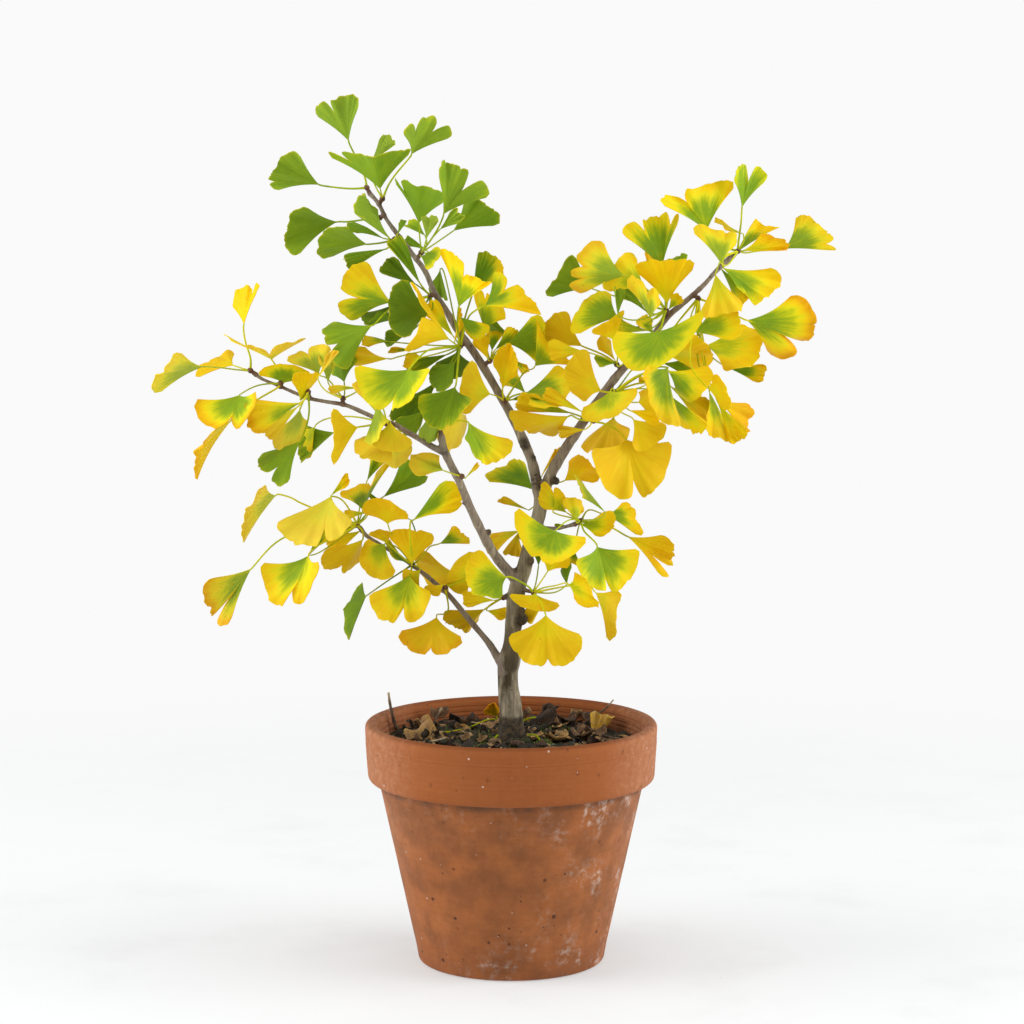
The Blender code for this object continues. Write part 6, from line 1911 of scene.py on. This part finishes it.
def addBud(mesh, leaf, out):
    # the scaly bud at the heart of a cluster
    verts = bmesh.ops.create_uvsphere(mesh, u_segments=14, v_segments=12, radius=1)["verts"]
    turn = out.to_track_quat("Z", "Y").to_matrix()
    for vert in verts:
        level = vert.co.z
        around = math.atan2(vert.co.y, vert.co.x)
        scale = 1 + 0.09 * math.sin(level * 11 + 1.5 * math.sin(around * 3))
        wide = wood["hubRadius"] * scale * (0.86 if level > 0 else 0.95)
        tall = wood["hubRadius"] * (1.1 if level > 0 else 0.9)
        vert.co = leaf.centre + turn @ Vector((vert.co.x * wide, vert.co.y * wide, level * tall))
    for face in {face for vert in verts for face in vert.link_faces}:
        face.material_index = 1


def makeSpray(name, group, materials):
    mesh = bmesh.new()
    layers = addLayers(mesh, "leafPlace", "ripe", "scorch", "tone")
    dice = random.Random("spray " + name)
    for at, leaf in enumerate(group):
        small = leaf.reach < foliage["smallReach"]
        lean, scorch, *shade = leafMarks.get(name, {}).get(at, (0, 0))
        # painted shade: leaves at the back of the crown are coloured as if shaded by those in front, over a
        # random tone, and the green clusters have their tone halved
        behind = smoothShare(*foliage["crownShadeDepths"], (leaf.neck + leaf.middle * 0.6).y)
        tone = 0.4 * dice.random() + 0.6 * behind
        if name in greenSprays:
            tone *= 0.5
        tone = min(max(tone + shadeShifts.get(name.split("_")[0], 0), 0), 1)
        look = {"lean": lean, "scorch": scorch, "tone": shade[0] if shade else tone}
        leaf.swell = foliage["swell"][small]
        if (name, at) in openedLeaves:
            middle, leaf.reach, leaf.slits = openedLeaves[name, at]
            leaf.middle = Vector(middle) * mm
            leaf.facing = leaf.across.cross(leaf.middle).normalized()
        leaf.curl = dice.uniform(-foliage["mostCurl"], foliage["mostCurl"])
        leaf.fold = dice.uniform(-foliage["mostFold"], foliage["mostFold"])
        leaf.nicks = []
        if leaf.reach > foliage["smallReach"] * 0.7:
            for _ in range(dice.randint(0, foliage["mostNicks"])):
                nick = [dice.uniform(*foliage[name]) for name in ("nickPlace", "nickDepth", "nickWidth")]
                leaf.nicks.append(nick)
        addBlade(mesh, leaf, look, layers)
        addStalk(mesh, leaf, look, layers)
    addBud(mesh, group[0], hubPlace(name)[2])
    return makePiece("spray." + name, mesh, materials, ["leaves_" + name], 62)


def leafMaterial():
    made, tree, place = newMaterial("ginkgoLeaf")
    along, out, underSide = splitPlace(tree, attribute(tree, "leafPlace", "Vector"))
    ripe, scorch, tone = [attribute(tree, name) for name in ("ripe", "scorch", "tone")]
    # the ripening runs along the veins, so its edge is drawn out in streaks
    streakPlace = addNode(tree, "ShaderNodeCombineXYZ")
    for socket, part, scale in zip(streakPlace.inputs, (along, out, tone), (26.0, 2.2, 37.0)):
        feed(tree, socket, times(tree, part, scale))
    streaks = cloudMask(tree, streakPlace.outputs[0], 1.0, 0.25, 0.75, detail=1.0)
    clouds = cloudMask(tree, place, 75.0, 0.3, 0.7, detail=3.0)
    shift = plus(tree, aboutZero(tree, streaks, 0.16), aboutZero(tree, clouds, 0.14))
    ripened = plus(tree, ripe, shift)
    colour = rampNode(tree, ripened, leafColours["ramp"])
    # leaves differ a little from one another; a high tone lays painted shade over them, a low tone a pale
    # painted sheen
    shadedColour = rampNode(tree, ripened, leafColours["shadedRamp"])
    colour = layOver(tree, colour, rangeNode(tree, tone, 0.3, 1.0), 0.8, shadedColour)
    colour = layOver(tree, colour, rangeNode(tree, tone, 0.3, 0.0), 0.26, leafColours["pale"])
    veins = useGroup(tree, veinsGroup, Along=along, Out=out, Veins=9.0, Depth=0.000006)
    colour = layOver(tree, colour, veins["Line"], 0.1, leafColours["vein"])
    colour = layOver(tree, colour, underSide, 0.1, leafColours["underside"])
    # scorched margin and a few brown flecks
    crisp = cloudMask(tree, place, 170.0, 0.3, 0.6)
    amber = mathNode(tree, "MINIMUM", times(tree, scorch, 1.1), 0.8)
    colour = mixNode(tree, amber, colour, leafColours["amber"])
    burnt = times(tree, mathNode(tree, "POWER", scorch, 2.0), plus(tree, crisp, 0.2))
    colour = mixNode(tree, mathNode(tree, "MINIMUM", burnt, 0.85), colour, leafColours["scorch"])
    rimShare = times(tree, crisp, 0.5)
    colour = layOver(tree, colour, rangeNode(tree, out, 0.965, 1.0), rimShare, leafColours["rim"])
    flecks = speckMask(tree, place, 210.0, 0.14, 0.05)
    colour = layOver(tree, colour, flecks, times(tree, ripe, 0.7), leafColours["fleck"])
    roughness = rangeNode(tree, clouds, 0.0, 1.0, 0.5, 0.62)
    return dress(made, colour, roughness, veins["Normal"], 0.08)


def budMaterial():
    colours = (wood["budShade"], wood["budScale"])
    return cloudyMaterial("budScales", colours, (420.0, 0.4, 0.62), 0.7, 1600.0)


settledLeaves = settleLeaves()
print("leaves settled:", sum(len(group) for group in settledLeaves.values()))

blade = leafMaterial()
budScales = budMaterial()
for clusterName, group in settledLeaves.items():
    makeSpray(clusterName, group, [blade, budScales])
print("leaves shaped")


# what lies on the soil: dead leaves and twigs

litter = {
    "lift": 0.8 * mm,
    "thickness": 0.5 * mm,
    "columns": 26,
    "rows": 14,
    "scraps": 130,
    "stems": 34,
    "stages": ((0.0, tint(54, 38, 25)), (0.2, tint(112, 78, 48)), (0.5, tint(196, 154, 100)),
               (0.75, tint(214, 170, 84)), (1.0, tint(222, 174, 40))),
    "stain": tint(92, 62, 36),
    "twigBark": tint(104, 84, 62),
    "twigStreak": tint(60, 46, 34),
    "twigTip": tint(196, 176, 142),
}

# neck x and y, heading, reach, half spread, side rise, margin rise, neck rise, and 0 brown to 1 yellow
deadLeaves = {
    "dead_leaf_left": (-50, 36, 163, 21, 38, 7, 3, 0, 0.5),
    "dead_leaf_front": (27, 9, 22, 14, 42, 3.5, 2.5, 0.3, 0.6),
    "dead_leaf_curled": (44.5, 27, 30, 14, 45, 6, 2, 0, 0.2),
    "dead_leaf_back": (14, 60, 25, 19, 24, 1, 14, 0, 0.1),
    "dead_leaf_olive": (36, 60, 8, 15, 38, 2, 9, 0, 0.35),
    "dead_leaf_yellow": (57, 34, 58, 17, 40, 2, 11, 0, 0.9),
    "dead_leaf_strip": (9, 52, 12, 12, 22, 0.5, 1, 0, 0.5),
}

# scraps with a place of their own: x, y, lift, length and width in mm, heading and tilt in degrees,
# bend and shade
placedScraps = (
    (-62, 14, 4, 21, 12, 200, -28, 0.9, 0.56), (-45, 4, 3, 10, 6, 120, 14, 0.6, 0.5),
    (-31, 10, 3, 9, 6, 60, 18, 0.5, 0.5), (32, 6, 4, 17, 10, 25, -26, 0.8, 0.62),
    (48, 8, 5, 17, 11, 150, 28, 1.0, 0.22), (24, 52, 8, 20, 12, 10, 38, 0.7, 0.0),
    (40, 48, 6, 15, 10, 40, -24, 0.9, 0.04), (-51, 62, 8, 14, 8, 30, 40, 0.8, 0.25),
    (-14, 44, 6, 13, 7, 15, 22, 0.6, 0.5), (-30, 52, 6, 12, 8, 160, 30, 0.8, 0.12),
    (62, 20, 4, 12, 7, 70, 20, 0.8, 0.3), (-70, 34, 5, 11, 7, 100, 30, 0.7, 0.1),
    (8, 62, 8, 15, 8, 170, 34, 0.7, 0.3), (52, 62, 7, 13, 8, 20, 30, 0.8, 0.15),
    (16, -2, 3, 13, 7, 5, 12, 0.4, 0.6), (-20, -4, 3, 9, 6, 80, 10, 0.5, 0.45),
)

# x, y, height above the soil's mean level and radius in mm
twigs = {
    "twig_pale": ((-78, 29, 4.0, 1.3), (-81, 30, 9, 1.2), (-84, 31, 21, 1.1), (-85.5, 32, 31, 0.8)),
    "twig_brown": ((-55, 54, 3.2, 1.0), (-53, 56, 8, 0.9), (-49, 58, 15, 0.7)),
    "twig_back": ((47, 50, 3.4, 0.9), (58, 54, 10, 0.8), (66.5, 55, 15.5, 0.7), (72, 56.5, 21.5, 0.5)),
    "twig_root": ((11, 4, 10.5, 0.9), (17, 2, 6, 0.9), (23, -2, 3.4, 0.7)),
}

# loose green stalks by the stem: x, y and height above the soil's mean level in mm
looseStalks = (
    ((7, -7, 4), (13, -9, 9), (18, -11, 8), (21, -12, 2)),
    ((6, 3, 15.5), (12, 4, 18), (17, 5, 18.5)),
    ((-14, -9, 1.5), (-12, -10, 6), (-9, -8, 9)),
)

# the fallen amber leaf: where its stalk ends, then a row like those of the living leaves
fallenEnd = (-48, 156.9, 36)
fallenLeaf = (
    (-10, 168, 40), (-19, 172), (-8, 174), (-13, 177), "nn", 14, (),
    ((-36, 159), (-26, 162), (-16, 166.8)), 0.8,
)


def deadLeafPlace(name, side, out):
    # a point of a curled dead leaf: side runs from -1 to 1, out from its neck to its margin
    x, y, heading, reach, spread, sideRise, marginRise, neckRise, _ = deadLeaves[name]
    seed = len(name) + x
    frayed = 1 + 0.07 * math.sin(side * 5 + seed) + 0.05 * math.sin(side * 11 + seed * 2)
    frayed += 0.03 * math.sin(side * 27 + seed * 3)
    corner = 1 - 0.3 * abs(side) ** 5
    angle = math.radians(heading + spread * side)
    placeX = (x + reach * out * frayed * corner * math.cos(angle)) * mm
    placeY = (y + reach * out * frayed * corner * math.sin(angle)) * mm
    rise = sideRise * side**2 * out + marginRise * out**2 + neckRise
    spot = Vector((placeX, placeY, 0))
    crumple = 1.7 * lumpy(spot, 7, seed) + 0.8 * lumpy(spot, 2.8, seed + 5)
    rise += crumple * out * (0.4 + 0.06 * reach) * 0.6 + 0.3 * math.sin(side * 14 + seed) * out
    # the dry rim rolls over
    rolled = 1.6 * smoothShare(0.7, 1.0, out) - 2.6 * smoothShare(0.86, 1.0, out)
    rise += rolled * (0.5 + 0.5 * math.sin(side * 3 + seed))
    return Vector((placeX, placeY, soilHeight(placeX, placeY) + litter["lift"] + max(rise, -0.4) * mm))


def makeDeadLeafMesh(name):
    mesh = bmesh.new()
    leafPlace, dryness = addLayers(mesh, "leafPlace", "dryness").values()
    columns = [2 * at / litter["columns"] - 1 for at in range(litter["columns"] + 1)]
    rows = [0.1 + 0.9 * at / litter["rows"] for at in range(litter["rows"] + 1)]
    spots = addSheet(mesh, columns, rows, lambda side, out: deadLeafPlace(name, side, out))
    for vert, (side, out) in spots.items():
        vert[leafPlace] = Vector((side / 2 + 0.5, out, 0))
        vert[dryness] = deadLeaves[name][-1]
    thicken(mesh, list(spots), litter["thickness"])
    neck = deadLeafPlace(name, 0, 0.12)
    heading = math.radians(deadLeaves[name][2])
    back = Vector((-math.cos(heading), -math.sin(heading), 0))
    path = [neck - back * 0.0015, neck, neck + back * 0.004 + Vector((0, 0, 0.0003)), neck + back * 0.008]
    path[-1].z = soilHeight(path[-1].x, path[-1].y) + 0.0004
    stalk = addTube(mesh, smoothPath(path, 3), [0.4 * mm] * 9 + [0.55 * mm], 7)
    for vert in stalk:
        vert[leafPlace] = Vector((0.5, 0.1, 0))
        vert[dryness] = deadLeaves[name][-1] * 0.8
    return mesh


def deadLeafMaterial():
    made, tree, place = newMaterial("dryLeaf")
    along, out, _ = splitPlace(tree, attribute(tree, "leafPlace", "Vector"))
    clouds = cloudMask(tree, place, 170.0, 0.35, 0.7, detail=5.0)
    stage = plus(tree, attribute(tree, "dryness"), aboutZero(tree, clouds, 0.3))
    veins = useGroup(tree, veinsGroup, Along=along, Out=out, Veins=9.0, Depth=0.0005)
    spots = cloudMask(tree, place, 330.0, 0.55, 0.7, detail=5.0)
    colour = rampNode(tree, stage, litter["stages"])
    colour = layOver(tree, colour, veins["Line"], 0.25, litter["stain"])
    colour = layOver(tree, colour, spots, 0.4, litter["stain"])
    return dress(made, colour, rangeNode(tree, clouds, 0.0, 1.0, 0.6, 0.85), veins["Normal"])


def overSoil(x, y, z):
    # a reading in mm, its height above the soil's mean level
    return Vector((x, y, soil["level"] / mm + z)) * mm


def makeTwigMesh(name):
    path = smoothPath([overSoil(x, y, z) for x, y, z, _ in twigs[name]], 5)
    thick = smoothNumbers([radius * mm for _, _, _, radius in twigs[name]], 5)
    mesh = bmesh.new()
    tip = addLayers(mesh, "tip")["tip"]
    radii = [value * (1 + 0.12 * math.sin(at * 2.3)) for at, value in enumerate(thick)]
    for vert in addTube(mesh, path, radii, 10):
        share = (vert.co.z - path[0].z) / (path[-1].z - path[0].z)
        vert[tip] = smoothShare(0.7, 1.0, share)
        vert.co += Vector((lumpy(vert.co, 1.6, 3), lumpy(vert.co, 1.6, 8), 0)) * 0.12 * mm
    return mesh


def twigMaterial():
    made, tree, place = newMaterial("dryTwig")
    streaks = cloudMask(tree, place, 400.0, 0.4, 0.68, stretch=(1, 1, 0.3))
    colour = mixNode(tree, streaks, litter["twigBark"], litter["twigStreak"])
    colour = layOver(tree, colour, attribute(tree, "tip"), 0.8, litter["twigTip"])
    return dress(made, colour, 0.8, grainNormal(tree, place, 1500.0, 0.0003, Stretch=(1, 1, 0.4)))


def makeFallenLeafMesh():
    end = seen(*fallenEnd)
    leaf = Leaf(fallenLeaf, (end, end, Vector((0, 0, 1)), fallenEnd[2]))
    mesh = bmesh.new()
    layers = addLayers(mesh, "leafPlace", "ripe", "scorch", "tone")
    leaf.curl = 0.06
    leaf.swell = 1.0
    leaf.fold = 0.05
    leaf.nicks = [(0.3, 0.05, 0.03)]
    look = {"lean": 0, "scorch": 0.9, "tone": 1.0}
    addBlade(mesh, leaf, look, layers)
    addStalk(mesh, leaf, look, layers)
    return mesh


def makeScrapsMesh():
    # torn, curled scraps of older leaves among the crumbs
    dice = random.Random(52)
    mesh = bmesh.new()
    leafPlace, dryness = addLayers(mesh, "leafPlace", "dryness").values()
    steps = [at / 8 for at in range(9)]
    for at in range(litter["scraps"] + len(placedScraps)):
        length, width = dice.uniform(5, 14) * mm, dice.uniform(3.5, 9) * mm
        bend, twist, seed = dice.uniform(-1.1, 1.1), dice.uniform(-0.6, 0.6), dice.uniform(0, 50)
        shade = dice.choices((0.0, 0.12, 0.4, 0.58), (6, 5, 3, 2))[0]
        heading, tilt, roll = dice.uniform(0, 6.3), dice.uniform(-0.8, 0.8), dice.uniform(-0.5, 0.5)
        centre = onSoil(dice, 80) + Vector((0, 0, dice.uniform(0.8, 2.6) * mm))
        if at >= litter["scraps"]:
            x, y, lift, length, width, heading, tilt, bend, shade = placedScraps[at - litter["scraps"]]
            length, width, heading, tilt = length * mm, width * mm, math.radians(heading), math.radians(tilt)
            centre = Vector((x * mm, y * mm, soilHeight(x * mm, y * mm) + lift * mm))
        turn = Matrix.Rotation(heading, 3, "Z") @ Matrix.Rotation(tilt, 3, "X")
        turn = turn @ Matrix.Rotation(roll, 3, "Y")

        def place(along, across):
            u, v = along * 2 - 1, across * 2 - 1
            ragged = 1 + 0.28 * math.sin(u * 4 + seed) * abs(v) - 0.3 * u * u * abs(v)
            lift = bend * 0.3 * length * u * u + twist * 0.35 * width * u * v
            lift += 0.1 * length * math.sin(v * 3 + seed)
            spot = Vector((u * length / 2 * (1 - 0.2 * v * v), v * width / 2 * ragged, lift))
            return turn @ spot + centre

        acrossSteps = steps[::2] if width < 5 * mm else steps
        for vert, (along, across) in addSheet(mesh, steps, acrossSteps, place).items():
            vert[leafPlace] = Vector((along, 0.2 + 0.75 * across, 0))
            vert[dryness] = shade
    thicken(mesh, list(mesh.verts), litter["thickness"])
    return mesh


def makeStemsMesh():
    # broken stalks and fine twigs lying about
    dice = random.Random(9)
    mesh = bmesh.new()
    tip = addLayers(mesh, "tip")["tip"]
    for _ in range(litter["stems"]):
        middle = onSoil(dice, 80)
        heading = dice.uniform(0, 6.3)
        half = dice.uniform(4, 12) * mm
        radius = dice.uniform(0.4, 0.95) * mm
        way = Vector((math.cos(heading), math.sin(heading), 0))
        side = Vector((-way.y, way.x, 0)) * dice.uniform(-2, 2) * mm
        rise = dice.uniform(0.6, 4.5) * mm
        path = [middle - way * half + Vector((0, 0, 0.6 * mm)), middle + side + Vector((0, 0, 1.8 * mm)),
                middle + way * half + Vector((0, 0, rise))]
        radii = [radius * scale for scale in (0.8, 0.95, 1, 1, 0.95, 0.85, 0.6)]
        verts = addTube(mesh, smoothPath(path, 3), radii, 6)
        shade = dice.choice((0, 0, 0.4, 0.9))
        for vert in verts:
            vert[tip] = shade
    return mesh


def makeLooseStalks():
    # green stalks that lean on the stem's collar
    mesh = bmesh.new()
    layers = addLayers(mesh, "leafPlace", "ripe", "scorch", "tone")
    for points in looseStalks:
        path = smoothPath([overSoil(*point) for point in points], 4)
        for vert in addTube(mesh, path, [0.65 * mm] * (len(path) - 1) + [0.4 * mm], 7):
            vert[layers["leafPlace"]] = Vector((0.5, 0, 0))
            vert[layers["ripe"]] = 0.34
            vert[layers["tone"]] = 0.9
    return mesh


dryLeaf = deadLeafMaterial()
for leafName in deadLeaves:
    makePiece("dry." + leafName, makeDeadLeafMesh(leafName), [dryLeaf], [leafName], 60)
dryTwig = twigMaterial()
for twigName in twigs:
    makePiece("dry." + twigName, makeTwigMesh(twigName), [dryTwig], [twigName], 60)
makePiece("dry.amberLeaf", makeFallenLeafMesh(), [blade], ["dead_leaf_amber"], 62)
makePiece("dry.scraps", makeScrapsMesh(), [dryLeaf], [], 60)
makePiece("dry.stems", makeStemsMesh(), [dryTwig], [], 70)
makePiece("dry.looseStalks", makeLooseStalks(), [blade], [], 60)
print("litter laid out")


# the studio: a pale floor that fades into the backdrop, soft lamps on both sides, and the camera

studio = {
    "white": 0.955,
    "fill": 0.41,
    "lampAim": (0, 0, 0.28),
    "floorRadius": 6.0,
    "fadeStart": 0.28,
    "fadeEnd": 1.1,
    "floorLift": 0.38,
    "lens": 104.13,
    "cameraDistance": 2.0,
    "cameraHeight": 0.545,
    "pitch": 6.71,
    "floor": tint(241, 244, 245),
    "scuff": tint(216, 217, 216),
    "dust": tint(150, 140, 128),
}


# each lamp: its place from the pot's axis, width, height and power
lamps = {
    "leftSoftbox": ((-1.7, -0.25, 0.75), 1.3, 1.5, 26.0),
    "rightSoftbox": ((1.7, -0.25, 0.75), 1.3, 1.5, 26.0),
    "topSoftbox": ((0, -0.1, 1.9), 1.6, 1.6, 12.0),
    "frontSoftbox": ((-0.6, -2.6, 1.4), 1.2, 1.2, 1.2),
}


def makeFloor():
    mesh = bmesh.new()
    bmesh.ops.create_circle(mesh, cap_ends=True, segments=96, radius=studio["floorRadius"])
    data = bpy.data.meshes.new("studioFloor")
    mesh.to_mesh(data)
    mesh.free()
    data.transform(Matrix.Translation((potAxis.x, potAxis.y, -0.0003)))
    floor = bpy.data.objects.new("studioFloor", data)
    bpy.context.scene.collection.objects.link(floor)
    made, tree, place = newMaterial("paleFloor")
    scuffs = cloudMask(tree, place, 9.0, 0.48, 0.72, detail=6.0)
    colour = layOver(tree, studio["floor"], scuffs, 0.3, studio["scuff"])
    colour = layOver(tree, colour, speckMask(tree, place, 60.0, 0.05, 0.05), 0.35, studio["dust"])
    dress(made, colour, 0.75, specular=0.2)
    fromPot = vectorNode(tree, "DISTANCE", place, (potAxis.x, potAxis.y, 0))
    fade = rangeNode(tree, fromPot, studio["fadeStart"], studio["fadeEnd"], studio["floorLift"], 1.0)
    glow = addNode(tree, "ShaderNodeEmission")
    glow.inputs["Color"].default_value = (studio["white"], studio["white"], studio["white"], 1)
    mixed = addNode(tree, "ShaderNodeMixShader")
    feed(tree, mixed.inputs[0], fade)
    feed(tree, mixed.inputs[1], tree.nodes["Principled BSDF"].outputs[0])
    feed(tree, mixed.inputs[2], glow.outputs[0])
    feed(tree, tree.nodes["Material Output"].inputs["Surface"], mixed.outputs[0])
    data.materials.append(made)


def makeWorld():
    world = bpy.data.worlds.new("studioLight")
    bpy.context.scene.world = world
    world.use_nodes = True
    nodes = world.node_tree
    background = nodes.nodes["Background"]
    path = addNode(nodes, "ShaderNodeLightPath")
    strength = addNode(nodes, "ShaderNodeMapRange")
    feed(nodes, strength.inputs["Value"], path.outputs["Is Camera Ray"])
    strength.inputs["To Min"].default_value = studio["fill"]
    strength.inputs["To Max"].default_value = studio["white"]
    background.inputs["Color"].default_value = (1, 1, 1, 1)
    feed(nodes, background.inputs["Strength"], strength.outputs["Result"])


def addLamp(name):
    place, wide, tall, power = lamps[name]
    data = bpy.data.lights.new(name, "AREA")
    data.shape = "RECTANGLE"
    data.size = wide
    data.size_y = tall
    data.energy = power
    lamp = bpy.data.objects.new(name, data)
    besidePot = Vector((potAxis.x, 0, 0))
    lamp.location = Vector(place) + besidePot
    aim = Vector(studio["lampAim"]) + besidePot
    lamp.rotation_euler = (aim - lamp.location).to_track_quat("-Z", "Y").to_euler()
    bpy.context.scene.collection.objects.link(lamp)


def makeCamera():
    data = bpy.data.cameras.new("camera")
    data.lens = studio["lens"]
    data.sensor_width = 36
    data.shift_x = 0.0007
    camera = bpy.data.objects.new("camera", data)
    camera.location = (potAxis.x, potAxis.y - studio["cameraDistance"], studio["cameraHeight"])
    camera.rotation_euler = (math.radians(90 - studio["pitch"]), 0, 0)
    bpy.context.scene.collection.objects.link(camera)
    bpy.context.scene.camera = camera


makeFloor()
makeWorld()
for lampName in lamps:
    addLamp(lampName)
makeCamera()
bpy.context.scene.view_settings.view_transform = "Standard"
print("studio lit")
